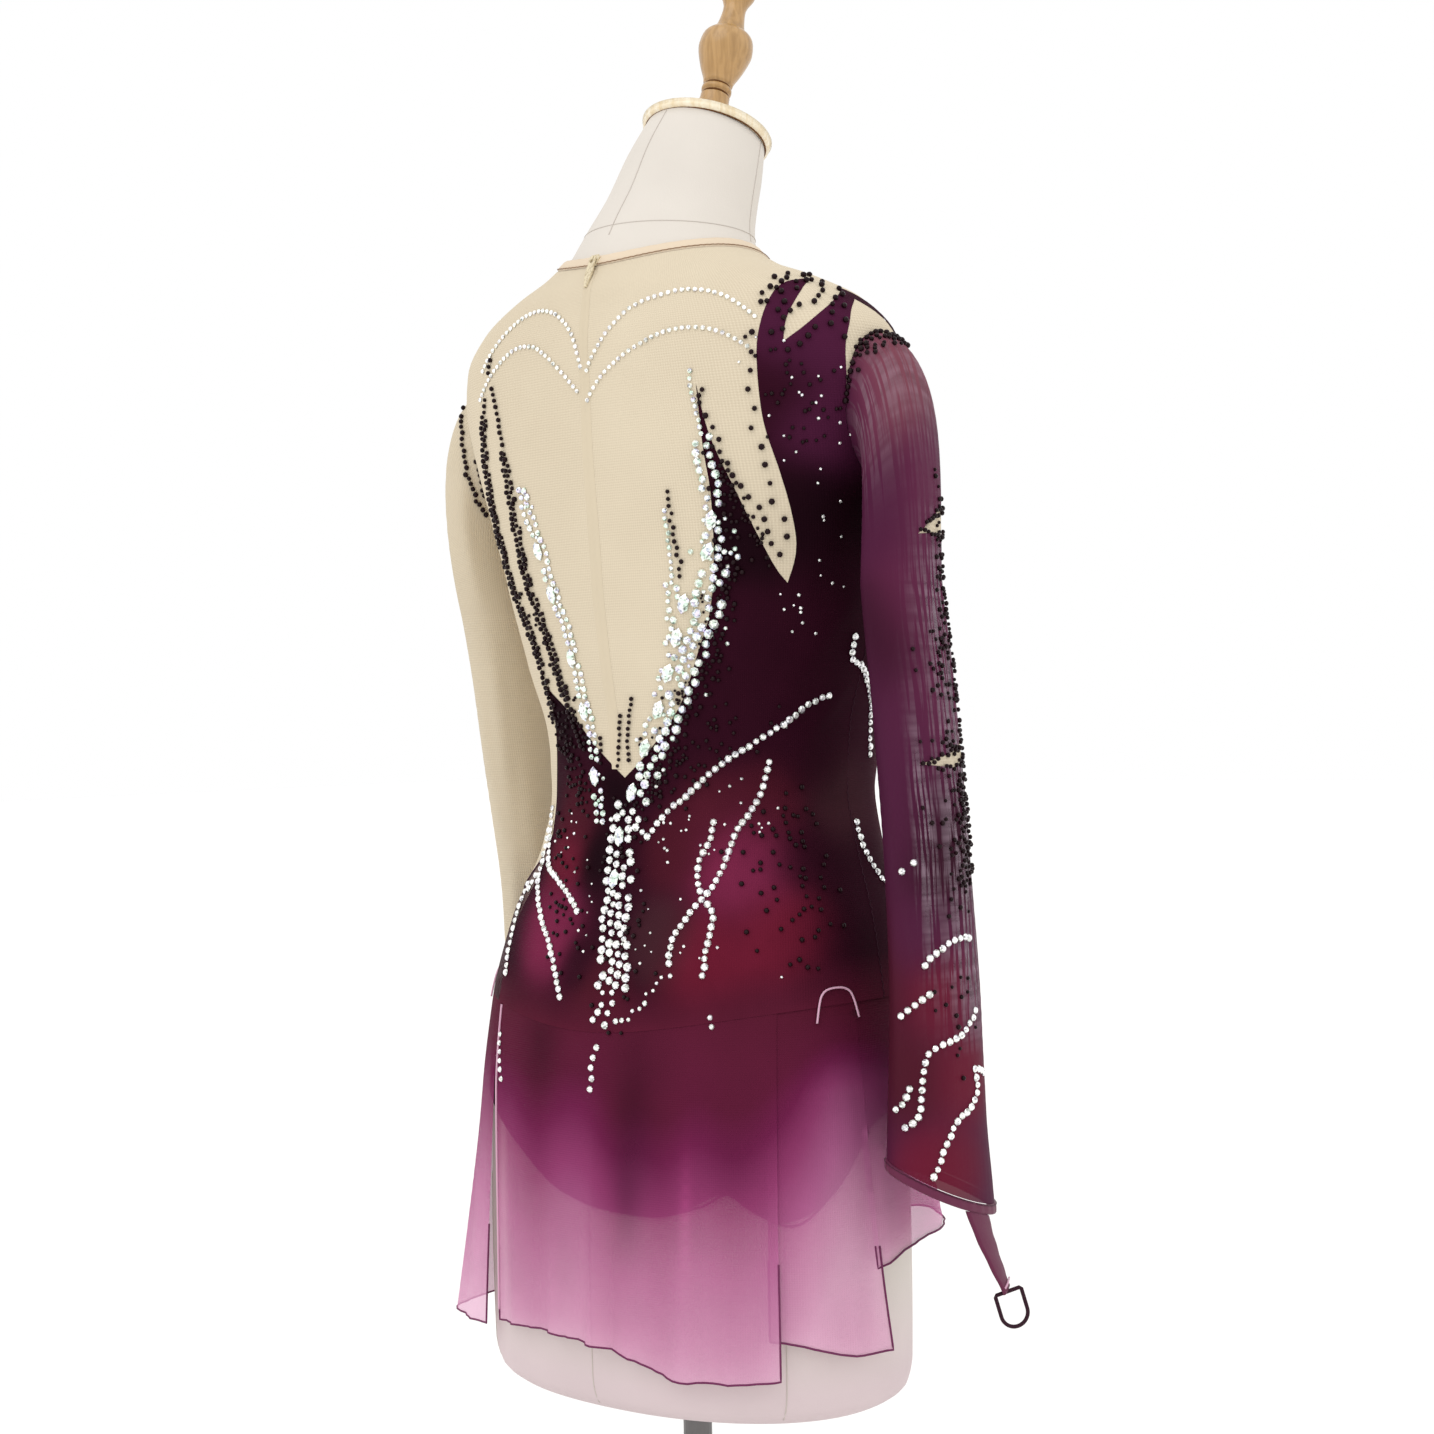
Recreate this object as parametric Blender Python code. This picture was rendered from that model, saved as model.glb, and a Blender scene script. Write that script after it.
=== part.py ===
"""Figure skating dress on a limbless dress form, as closed solids in metres.

The figure faces -Y, its right hand is at -X and +Z is up. Places on the figure are
given by a turn, in degrees from the centre back towards its right side, and a height.
"""
import math

import bmesh
import bpy
from mathutils import Vector
from mathutils.geometry import delaunay_2d_cdt

for old in list(bpy.data.objects):
    bpy.data.objects.remove(old)

# Sizes that drive the rest
CLOTH = 0.0012          # thickness of a cloth wall
SEAM_GAP = 0.0004       # space left between two panels at a seam
LAY_GAP = 0.0006        # space under a piece that lies on another
MEAN_RADIUS = 0.125     # turns a turn round the body into a length for flat patterns
BODY_STEP = 0.0190      # spacing of the facets' corners on the flat patterns
SLEEVE_STEP = 0.013
SKIRT_STEP = 0.022
BODY_SQUASH = 0.7       # flat patterns are pressed lower, so that facets are longer than wide
SLEEVE_SQUASH = 0.5
SKIRT_SQUASH = 0.6
FORM_SIDES = 44

FORM_BOTTOM_Z = 0.602
REST_GAP = 0.0003       # space between hard pieces that rest on each other
BASE_RADIUS = 0.170
BASE_BOSS = 0.045
BASE_SOCKET = 0.012
POLE_RADIUS = 0.0100
BINDING_GAP = 0.0004
BINDING_HEIGHT = 0.0075
BINDING_CLOTH = 0.0016
NECK_TOP_Z = 1.468
NECK_TILT = 20.0


class Table:
    """Rows of named columns, read smoothly between rows by the first column."""

    def __init__(self, names, rows):
        self.names = names.split()
        self.rows = sorted(rows)
        self.keys = [row[0] for row in self.rows]
        self.slopes = {name: self.find_slopes(name) for name in self.names[1:]}

    def find_slopes(self, name):
        """Slope of one column at each row, zero where the column turns round."""
        values = [row[self.names.index(name)] for row in self.rows]
        steps = []
        for i in range(len(values) - 1):
            steps.append((values[i + 1] - values[i]) / (self.keys[i + 1] - self.keys[i]))
        slopes = [steps[0]]
        for before, after in zip(steps, steps[1:]):
            if before * after <= 0.0:
                slopes.append(0.0)
            else:
                slopes.append(2.0 * before * after / (before + after))
        slopes.append(steps[-1])
        return slopes

    def read(self, name, key):
        column = self.names.index(name)
        key = min(max(key, self.keys[0]), self.keys[-1])
        i = 0
        while i < len(self.keys) - 2 and key > self.keys[i + 1]:
            i += 1
        span = self.keys[i + 1] - self.keys[i]
        f = (key - self.keys[i]) / span
        low = self.rows[i][column]
        high = self.rows[i + 1][column]
        slope_low = self.slopes[name][i] * span
        slope_high = self.slopes[name][i + 1] * span
        return (
            low * (1 + 2 * f) * (1 - f) ** 2
            + slope_low * f * (1 - f) ** 2
            + high * f * f * (3 - 2 * f)
            + slope_high * f * f * (f - 1)
        )


# The figure: level sections of the form, from the thighs to the neck
BODY = Table(
    "height half_width half_depth middle_y power",
    [
        (0.602, 0.146, 0.100, -0.004, 2.2),
        (0.608, 0.154, 0.107, -0.004, 2.2),
        (0.625, 0.158, 0.111, -0.004, 2.2),
        (0.700, 0.159, 0.112, -0.004, 2.2),
        (0.800, 0.158, 0.112, -0.006, 2.2),
        (0.860, 0.154, 0.110, -0.010, 2.2),
        (0.920, 0.141, 0.104, -0.018, 2.2),
        (0.970, 0.123, 0.099, -0.027, 2.1),
        (1.010, 0.1135, 0.098, -0.0305, 2.1),
        (1.050, 0.116, 0.100, -0.031, 2.1),
        (1.100, 0.131, 0.106, -0.029, 2.1),
        (1.160, 0.147, 0.111, -0.027, 2.2),
        (1.200, 0.156, 0.109, -0.022, 2.3),
        (1.240, 0.165, 0.103, -0.013, 2.3),
        (1.280, 0.172, 0.096, -0.005, 2.3),
        (1.308, 0.169, 0.091, 0.001, 2.2),
        (1.332, 0.151, 0.084, 0.006, 2.1),
        (1.350, 0.119, 0.077, 0.010, 2.0),
        (1.363, 0.088, 0.070, 0.010, 2.0),
        (1.377, 0.067, 0.0630, 0.009, 2.0),
        (1.392, 0.0590, 0.0590, 0.003, 2.0),
        (1.415, 0.0520, 0.0530, -0.010, 2.0),
        (1.442, 0.0470, 0.0485, -0.024, 2.0),
        (1.468, 0.0420, 0.0410, -0.038, 2.0),
    ],
)
# How far the inside of the cloth stands off the form
EASE = Table(
    "height off",
    [(0.60, 0.0042), (0.90, 0.0042), (0.98, 0.0028), (1.31, 0.0030), (1.345, 0.0018), (1.362, 0.0009)],
)


def neck_tilt(height):
    """Forward lean of a neck section, in degrees."""
    base = 1.378
    rise = (height - base) / (NECK_TOP_Z - base)
    return NECK_TILT * min(max(rise, 0.0), 1.0)


def body_point(turn, height):
    """A point on the form."""
    angle = math.radians(turn)
    half_width = BODY.read("half_width", height)
    half_depth = BODY.read("half_depth", height)
    power = BODY.read("power", height)
    across = abs(math.sin(angle)) / half_width
    along = abs(math.cos(angle)) / half_depth
    radius = (across**power + along**power) ** (-1.0 / power)
    back = radius * math.cos(angle)
    lift = back * math.tan(math.radians(neck_tilt(height)))
    return Vector((-radius * math.sin(angle), BODY.read("middle_y", height) + back, height + lift))


def body_normal(turn, height):
    """The outward direction at a point on the form."""
    across = body_point(turn + 0.5, height) - body_point(turn - 0.5, height)
    up = body_point(turn, height + 0.0005) - body_point(turn, height - 0.0005)
    return across.cross(up).normalized()


def cloth_point(turn, height, out):
    """A point out from the inner face of the cloth on the body."""
    return body_point(turn, height) + body_normal(turn, height) * (EASE.read("off", height) + out)


def fineness(height):
    """How much closer the facets stand over the curve of the shoulders."""
    return 1.0 + 0.8 * math.exp(-(((height - 1.328) / 0.025) ** 2))


def climb_table():
    """Length up the side of the figure for each height, so that flat patterns keep their scale."""
    heights = [FORM_BOTTOM_Z]
    lengths = [0.0]
    step = 0.004
    while heights[-1] < NECK_TOP_Z:
        low = body_point(75.0, heights[-1])
        high = body_point(75.0, heights[-1] + step)
        heights.append(heights[-1] + step)
        lengths.append(lengths[-1] + fineness(heights[-1]) * (high - low).length)
    return heights, lengths


CLIMB_HEIGHTS, CLIMB_LENGTHS = climb_table()


def between(value, keys, values):
    """Straight-line reading of one list against another."""
    i = 0
    while i < len(keys) - 2 and value > keys[i + 1]:
        i += 1
    f = (value - keys[i]) / (keys[i + 1] - keys[i])
    return values[i] + f * (values[i + 1] - values[i])


def body_flat(turn, height):
    """Flat-pattern place of a point on the body."""
    return (math.radians(turn) * MEAN_RADIUS, BODY_SQUASH * between(height, CLIMB_HEIGHTS, CLIMB_LENGTHS))


def body_place(flat, out):
    """The point out from the cloth's inner face for a place on the flat pattern."""
    turn = math.degrees(flat[0] / MEAN_RADIUS)
    height = between(flat[1] / BODY_SQUASH, CLIMB_LENGTHS, CLIMB_HEIGHTS)
    return cloth_point(turn, height, out)


# Outlines on flat patterns


def smooth_line(points, step):
    """A smooth line through a few points, cut into short pieces."""
    ends = [points[0]] + list(points) + [points[-1]]
    line = [points[0]]
    for before, low, high, after in zip(ends, ends[1:], ends[2:], ends[3:]):
        chord = math.dist(low, high)
        pieces = max(1, math.ceil(chord / step - 0.25))
        for k in range(1, pieces + 1):
            f = k / pieces
            point = []
            for axis in (0, 1):
                slope_low = (high[axis] - before[axis]) / 2
                slope_high = (after[axis] - low[axis]) / 2
                point.append(
                    low[axis] * (1 + 2 * f) * (1 - f) ** 2
                    + slope_low * f * (1 - f) ** 2
                    + high[axis] * f * f * (3 - 2 * f)
                    + slope_high * f * f * (f - 1)
                )
            line.append(tuple(point))
    return line


def joined(*lines):
    """One closed outline from lines that meet end to end."""
    outline = []
    for line in lines:
        for point in line:
            if not outline or math.dist(point, outline[-1]) > 0.0002:
                outline.append(point)
    if math.dist(outline[0], outline[-1]) < 0.0002:
        outline.pop()
    return outline


def signed_area(outline):
    """Area inside an outline, positive when it runs anticlockwise."""
    total = 0.0
    for here, after in zip(outline, outline[1:] + outline[:1]):
        total += here[0] * after[1] - after[0] * here[1]
    return total / 2


def inset(outline, distance):
    """An outline moved inwards, with its sharp tips kept short."""
    if signed_area(outline) < 0:
        outline = outline[::-1]
    moved = []
    count = len(outline)
    for i, here in enumerate(outline):
        before = outline[i - 1]
        after = outline[(i + 1) % count]
        normals = []
        for low, high in ((before, here), (here, after)):
            length = math.dist(low, high)
            normals.append(((low[1] - high[1]) / length, (high[0] - low[0]) / length))
        mid = (normals[0][0] + normals[1][0], normals[0][1] + normals[1][1])
        size = max(mid[0] ** 2 + mid[1] ** 2, 0.25)
        moved.append((here[0] + 2 * distance * mid[0] / size, here[1] + 2 * distance * mid[1] / size))
    return moved


def inside(point, outline):
    """Whether a flat point lies inside an outline."""
    result = False
    for low, high in zip(outline, outline[1:] + outline[:1]):
        if (low[1] > point[1]) != (high[1] > point[1]):
            cross = low[0] + (point[1] - low[1]) * (high[0] - low[0]) / (high[1] - low[1])
            if point[0] < cross:
                result = not result
    return result


def edge_distance(point, outline):
    """Distance from a flat point to an outline."""
    best = 1.0
    for low, high in zip(outline, outline[1:] + outline[:1]):
        run = (high[0] - low[0], high[1] - low[1])
        size = run[0] ** 2 + run[1] ** 2
        f = ((point[0] - low[0]) * run[0] + (point[1] - low[1]) * run[1]) / size
        f = min(max(f, 0.0), 1.0)
        best = min(best, math.dist(point, (low[0] + f * run[0], low[1] + f * run[1])))
    return best


def flat_triangles(outline, holes, step, guides):
    """Corner points and triangles that fill an outline: guide points first, then even ones."""
    points = []
    edges = []
    for loop in [outline] + holes:
        first = len(points)
        points.extend(loop)
        for k in range(len(loop)):
            edges.append((first + k, first + (k + 1) % len(loop)))
    points.extend(guides)
    low_s = min(point[0] for point in outline)
    high_s = max(point[0] for point in outline)
    low_t = min(point[1] for point in outline)
    high_t = max(point[1] for point in outline)
    row_step = step * math.sqrt(3) / 2
    rows = int((high_t - low_t) / row_step) + 1
    columns = int((high_s - low_s) / step) + 2
    for row in range(rows):
        for column in range(columns):
            point = (low_s + (column + 0.5 * (row % 2)) * step, low_t + (row + 0.5) * row_step)
            if not inside(point, outline) or any(inside(point, hole) for hole in holes):
                continue
            if any(math.dist(point, guide) < 0.6 * step for guide in guides):
                continue
            if min(edge_distance(point, loop) for loop in [outline] + holes) > 0.5 * step:
                points.append(point)
    filled = delaunay_2d_cdt([Vector(point) for point in points], edges, [], 0, 1e-7, False)
    corners = [(corner.x, corner.y) for corner in filled[0]]
    triangles = []
    for face in filled[2]:
        middle = (sum(corners[i][0] for i in face) / 3, sum(corners[i][1] for i in face) / 3)
        if inside(middle, outline) and not any(inside(middle, hole) for hole in holes):
            triangles.append(tuple(face))
    return corners, triangles


# Solids


def finish(colour, roughness, metallic=0.0):
    return {"colour": colour, "roughness": roughness, "metallic": metallic}


FINISHES = {
    "nude_mesh": finish((0.78, 0.67, 0.48), 0.7),
    "plum_cloth": finish((0.05, 0.008, 0.03), 0.55),
    "plum_mesh": finish((0.09, 0.02, 0.08), 0.6),
    "grey_mesh": finish((0.20, 0.13, 0.16), 0.6),
    "chiffon": finish((0.40, 0.09, 0.27), 0.6),
    "jersey": finish((0.87, 0.84, 0.80), 0.85),
    "beech": finish((0.58, 0.38, 0.20), 0.4),
    "steel": finish((0.12, 0.12, 0.13), 0.35, 1.0),
    "cream_metal": finish((0.75, 0.68, 0.50), 0.4),
    "crystal": finish((0.85, 0.90, 0.95), 0.05),
    "elastic": finish((0.06, 0.01, 0.04), 0.7),
}


def material(name):
    """The Principled material of one finish, made once."""
    found = bpy.data.materials.get(name)
    if found:
        return found
    made = bpy.data.materials.new(name)
    made.use_nodes = True
    shader = made.node_tree.nodes["Principled BSDF"]
    shader.inputs["Base Color"].default_value = (*FINISHES[name]["colour"], 1.0)
    shader.inputs["Roughness"].default_value = FINISHES[name]["roughness"]
    shader.inputs["Metallic"].default_value = FINISHES[name]["metallic"]
    return made


def add_object(name, mesh_data, finish_name, origin=(0.0, 0.0, 0.0)):
    """Link a bmesh as an object, its origin at a given point."""
    origin = Vector(origin)
    bmesh.ops.translate(mesh_data, verts=mesh_data.verts, vec=-origin)
    bmesh.ops.recalc_face_normals(mesh_data, faces=mesh_data.faces)
    if mesh_data.calc_volume(signed=True) < 0:
        bmesh.ops.reverse_faces(mesh_data, faces=mesh_data.faces)
    mesh = bpy.data.meshes.new(name)
    mesh_data.to_mesh(mesh)
    mesh_data.free()
    mesh.materials.append(material(finish_name))
    made = bpy.data.objects.new(name, mesh)
    made.location = origin
    bpy.context.collection.objects.link(made)
    return made


def wall(name, outline, place, finish_name, step, outer=CLOTH, holes=(), guides=(), closed=False):
    """A cloth wall: a flat pattern, filled, laid out in space and given its thickness.

    closed joins the pattern's left and right edges into a tube.
    """
    corners, triangles = flat_triangles(outline, list(holes), step, list(guides))
    mesh_data = bmesh.new()
    low = [mesh_data.verts.new(place(corner, 0.0)) for corner in corners]
    high = [mesh_data.verts.new(place(corner, outer)) for corner in corners]
    sides = {}
    for triangle in triangles:
        mesh_data.faces.new([high[i] for i in triangle])
        mesh_data.faces.new([low[i] for i in reversed(triangle)])
        for k in range(3):
            edge = (triangle[k], triangle[(k + 1) % 3])
            if (edge[1], edge[0]) in sides:
                del sides[(edge[1], edge[0])]
            else:
                sides[edge] = True
    left = min(corner[0] for corner in corners)
    right = max(corner[0] for corner in corners)
    for first, second in sides:
        if closed and on_join(corners[first], corners[second], left, right):
            continue
        mesh_data.faces.new([low[first], low[second], high[second], high[first]])
    if closed:
        bmesh.ops.remove_doubles(mesh_data, verts=mesh_data.verts, dist=0.00002)
    bmesh.ops.triangulate(mesh_data, faces=mesh_data.faces)
    return add_object(name, mesh_data, finish_name)


def on_join(first, second, left, right):
    """Whether an edge of a tube's pattern lies where its two sides are joined."""
    for side in (left, right):
        if abs(first[0] - side) < 1e-6 and abs(second[0] - side) < 1e-6:
            return True
    return False


def lofted(name, rings, finish_name, origin=(0.0, 0.0, 0.0)):
    """A solid through rings of equally many points, with flat ends."""
    mesh_data = bmesh.new()
    made = [[mesh_data.verts.new(point) for point in ring] for ring in rings]
    count = len(made[0])
    for low, high in zip(made, made[1:]):
        for k in range(count):
            after = (k + 1) % count
            mesh_data.faces.new([low[k], low[after], high[after], high[k]])
    for ring in (made[0], made[-1]):
        mesh_data.faces.new(ring)
    mesh_data.normal_update()
    bmesh.ops.triangulate(mesh_data, faces=mesh_data.faces)
    return add_object(name, mesh_data, finish_name, origin)


def turned(name, profile, finish_name, sides=32, foot=(0.0, 0.0, 0.0), axis=(0.0, 0.0, 1.0)):
    """A turned solid: (radius, height) pairs along an axis, its two ends on the axis."""
    axis = Vector(axis).normalized()
    across = Vector((1.0, 0.0, 0.0))
    along = axis.cross(across).normalized()
    mesh_data = bmesh.new()
    rings = []
    for radius, height in profile:
        centre = Vector(foot) + axis * height
        if radius == 0.0:
            rings.append([mesh_data.verts.new(centre)])
            continue
        ring = []
        for k in range(sides):
            angle = 2 * math.pi * k / sides
            spoke = across * math.cos(angle) + along * math.sin(angle)
            ring.append(mesh_data.verts.new(centre + spoke * radius))
        rings.append(ring)
    for low, high in zip(rings, rings[1:]):
        for k in range(sides):
            after = (k + 1) % sides
            corners = [low[k % len(low)], low[after % len(low)]]
            corners += [high[after % len(high)], high[k % len(high)]]
            mesh_data.faces.new(list(dict.fromkeys(corners)))
    return add_object(name, mesh_data, finish_name)


# The dress form and its stand


def build_form():
    heights = [0.602, 0.606, 0.615, 0.640, 0.720, 0.800, 0.850, 0.900, 0.950, 1.000, 1.050, 1.100, 1.160]
    heights += [1.210, 1.250, 1.280, 1.303, 1.320, 1.334, 1.345, 1.354, 1.361, 1.3665, 1.371, 1.375, 1.379]
    heights += [1.384, 1.391, 1.402, 1.430, NECK_TOP_Z]
    rings = []
    for height in heights:
        rings.append([body_point(360.0 * k / FORM_SIDES, height) for k in range(FORM_SIDES)])
    lofted("form_body", rings, "jersey")
    lean = math.radians(NECK_TILT)
    axis = (0.0, -math.sin(lean), math.cos(lean))
    foot = Vector((0.0, BODY.read("middle_y", NECK_TOP_Z), NECK_TOP_Z))
    cap = [(0.0, 0.0), (0.0435, 0.0), (0.0455, 0.0015), (0.0455, 0.0040), (0.0430, 0.0065), (0.0, 0.0072)]
    turned("neck_cap", [(r, h + REST_GAP) for r, h in cap], "beech", 36, foot, axis)
    finial = [
        (0.0, 0.0), (0.0190, 0.0), (0.0175, 0.0040), (0.0125, 0.0140), (0.0105, 0.0240),
        (0.0105, 0.0270), (0.0088, 0.0280), (0.0088, 0.0295), (0.0108, 0.0305), (0.0108, 0.0335),
        (0.0088, 0.0345), (0.0088, 0.0360), (0.0108, 0.0370), (0.0112, 0.0400), (0.0155, 0.0500),
        (0.0190, 0.0610), (0.0194, 0.0670), (0.0180, 0.0740), (0.0145, 0.0780), (0.0120, 0.0790),
        (0.0095, 0.0860), (0.0082, 0.0960), (0.0090, 0.1020), (0.0125, 0.1100), (0.0132, 0.1170),
        (0.0100, 0.1240), (0.0, 0.1280),
    ]
    above_cap = cap[-1][1] + 2 * REST_GAP
    turned("finial", [(r, h + above_cap) for r, h in finial], "beech", 16, foot, axis)


def build_stand():
    base = [(0.0, 0.0), (BASE_RADIUS - 0.002, 0.0), (BASE_RADIUS, 0.003), (BASE_RADIUS - 0.003, 0.008)]
    base += [(0.045, 0.014), (0.024, 0.020), (0.021, BASE_BOSS), (POLE_RADIUS + REST_GAP, BASE_BOSS)]
    base += [(POLE_RADIUS + REST_GAP, BASE_SOCKET), (0.0, BASE_SOCKET)]
    turned("stand_base", base, "steel", 32)
    top = FORM_BOTTOM_Z - REST_GAP
    foot = BASE_SOCKET + REST_GAP
    pole = [(0.0, foot), (POLE_RADIUS, foot), (POLE_RADIUS, top - 0.012)]
    pole += [(0.032, top - 0.006), (0.032, top), (0.0, top)]
    turned("stand_pole", pole, "steel", 20)


# The bodice: seams as (turn, height) points on the body

SHOULDER_TOP = 1.307
UNDERARM = 1.207
ARMHOLE_HALF_TURN = 12.5
STRAP_MEETS_ARMHOLE = 75.0      # place on the armhole, in degrees from its top
SPIKE_TIP = (45.0, 1.275)
HORN_TIP = (84.0, 1.342)
NOTCH = (67.0, 1.2986)
TONGUE = (62.0, 1.147)
V_BOTTOM = (4.5, 1.020)
LEFT_TIP = (-36.0, 1.083)
HIP_CORNER = (-41.0, 0.977)
RIDGE_STRAP_IN = (90.0, 1.336)
RIDGE_STRAP_OUT = (90.0, 1.328)
FRONT_NUDE_EDGE = 262.0

SEAMS = {
    "strap_neck_side": [
        HORN_TIP, (75, 1.338), (68, 1.327), (61.5, 1.298), (59.6, 1.255), (61.5, 1.216), (64, 1.172), TONGUE,
    ],
    "horn_inside": [NOTCH, (74, 1.318), HORN_TIP],
    "strap_inside": [RIDGE_STRAP_IN, (79, 1.320), NOTCH],
    "spike_outside": [SPIKE_TIP, (46.5, 1.240), (52, 1.194), (58, 1.160), TONGUE],
    "v_right": [
        SPIKE_TIP, (44, 1.233), (43.7, 1.200), (41.5, 1.137), (37, 1.105), (29, 1.068), (16, 1.038), V_BOTTOM,
    ],
    "v_left": [V_BOTTOM, (-5, 1.034), (-13, 1.047), (-24, 1.066), LEFT_TIP],
    "left_edge": [LEFT_TIP, (-38, 1.047), (-42, 1.011), HIP_CORNER],
    "nude_hem": [HIP_CORNER, (-50, 0.957), (-65, 0.938), (-90, 0.925)],
    "wine_edge": [HIP_CORNER, (-45, 0.947), (-50, 0.912), (-50, 0.872)],
    "strap_back": [(90.0, 1.328), (84, 1.317), (79.5, 1.296)],
    "strap_front": [(90.0, 1.328), (96, 1.317), (100.5, 1.296)],
    "front_neckline": [
        (262, 0.922), (261, 1.02), (252, 1.10), (222, 1.165), (180, 1.195), (150, 1.235), (122, 1.290),
        (104, 1.320), RIDGE_STRAP_IN,
    ],
}


def neck_height(turn):
    """Height of the neckline: lower at the centre back and front than at the shoulders."""
    return 1.362 + 0.011 * math.sin(math.radians(turn)) ** 2


def hip_height(turn):
    """Height of the seam that joins the skirt."""
    return 0.872 - 0.020 * max(0.0, math.cos(math.radians(turn))) ** 2


def seam(name):
    return smooth_line([body_flat(*point) for point in SEAMS[name]], BODY_STEP)


def straight(*points):
    return smooth_line([body_flat(*point) for point in points], BODY_STEP)


def level_line(height_at, start, end, step=BODY_STEP, flat=body_flat):
    """A line right round from one turn to another at a height that follows a rule."""
    pieces = max(2, math.ceil(abs(end - start) / 12.0))
    turns = [start + (end - start) * k / pieces for k in range(pieces + 1)]
    return smooth_line([flat(turn, height_at(turn)) for turn in turns], step)


def armhole_place(angle, middle, side):
    """A point of an armhole: angle from its top towards the back."""
    half_height = (SHOULDER_TOP - UNDERARM) / 2
    turn = middle - side * ARMHOLE_HALF_TURN * math.sin(math.radians(angle))
    return (turn, UNDERARM + half_height * (1.0 + math.cos(math.radians(angle))))


def armhole_line(start, end, middle, side):
    pieces = max(2, math.ceil(abs(end - start) / 12.0))
    angles = [start + (end - start) * k / pieces for k in range(pieces + 1)]
    return [body_flat(*armhole_place(angle, middle, side)) for angle in angles]


def body_wall(name, finish_name, *lines):
    outline = inset(joined(*lines), SEAM_GAP / 2)
    return wall(name, outline, body_place, finish_name, BODY_STEP)


def build_bodice():
    join = armhole_place(STRAP_MEETS_ARMHOLE, 90.0, 1)
    front_join = armhole_place(-STRAP_MEETS_ARMHOLE, 90.0, 1)
    strap_back = smooth_line([body_flat(*p) for p in SEAMS["strap_back"] + [join]], BODY_STEP)
    strap_front = smooth_line([body_flat(*p) for p in SEAMS["strap_front"] + [front_join]], BODY_STEP)
    body_wall(
        "back_yoke_nude", "nude_mesh",
        level_line(neck_height, -90.0, 90.0),
        straight((90.0, neck_height(90.0)), RIDGE_STRAP_IN),
        seam("strap_inside"),
        seam("horn_inside"),
        seam("strap_neck_side"),
        seam("spike_outside")[::-1],
        seam("v_right"),
        seam("v_left"),
        seam("left_edge"),
        seam("nude_hem"),
        straight((-90.0, 0.925), (-90.0, UNDERARM)),
        armhole_line(180.0, 0.0, -90.0, -1),
        straight((-90.0, SHOULDER_TOP), (-90.0, neck_height(90.0))),
    )
    body_wall(
        "back_bodice_plum", "plum_cloth",
        level_line(hip_height, -50.0, 90.0),
        straight((90.0, hip_height(90.0)), (90.0, UNDERARM)),
        armhole_line(180.0, STRAP_MEETS_ARMHOLE, 90.0, 1),
        strap_back[::-1],
        straight(RIDGE_STRAP_OUT, RIDGE_STRAP_IN),
        seam("strap_inside"),
        seam("horn_inside"),
        seam("strap_neck_side"),
        seam("spike_outside")[::-1],
        seam("v_right"),
        seam("v_left"),
        seam("left_edge"),
        seam("wine_edge"),
        straight((-50.0, 0.872), (-50.0, hip_height(-50.0))),
    )
    body_wall(
        "left_hip_mesh", "grey_mesh",
        seam("nude_hem")[::-1],
        seam("wine_edge"),
        straight((-50.0, 0.872), (-50.0, hip_height(-50.0))),
        level_line(hip_height, -50.0, -98.0),
        straight((-98.0, hip_height(-98.0)), (-98.0, 0.922)),
        straight((-98.0, 0.922), (-90.0, 0.925)),
    )
    body_wall(
        "front_yoke_nude", "nude_mesh",
        level_line(neck_height, 90.0, 270.0),
        straight((270.0, neck_height(270.0)), (270.0, SHOULDER_TOP)),
        armhole_line(0.0, -180.0, 270.0, -1),
        straight((270.0, UNDERARM), (270.0, 0.925)),
        straight((270.0, 0.925), (262.0, 0.922)),
        seam("front_neckline"),
        straight(RIDGE_STRAP_IN, (90.0, neck_height(90.0))),
    )
    body_wall(
        "front_bodice_plum", "plum_cloth",
        level_line(hip_height, 90.0, 262.0),
        straight((262.0, hip_height(262.0)), (262.0, 0.922)),
        seam("front_neckline"),
        straight(RIDGE_STRAP_IN, RIDGE_STRAP_OUT),
        strap_front,
        armhole_line(-STRAP_MEETS_ARMHOLE, -180.0, 90.0, 1),
        straight((90.0, UNDERARM), (90.0, hip_height(90.0))),
    )
    body_wall(
        "right_shoulder_nude", "nude_mesh",
        strap_back[::-1],
        strap_front,
        armhole_line(-STRAP_MEETS_ARMHOLE, STRAP_MEETS_ARMHOLE, 90.0, 1),
    )


def build_neck_binding():
    step = 0.011
    low = level_line(lambda turn: neck_height(turn) + BINDING_GAP, -180.0, 180.0, step)
    high = level_line(lambda turn: neck_height(turn) + BINDING_HEIGHT, -180.0, 180.0, step)
    wall("neck_binding", joined(low, high[::-1]), body_place, "nude_mesh", step, BINDING_CLOTH, closed=True)


# The sleeves: threads from the armhole, then level sections

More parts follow.
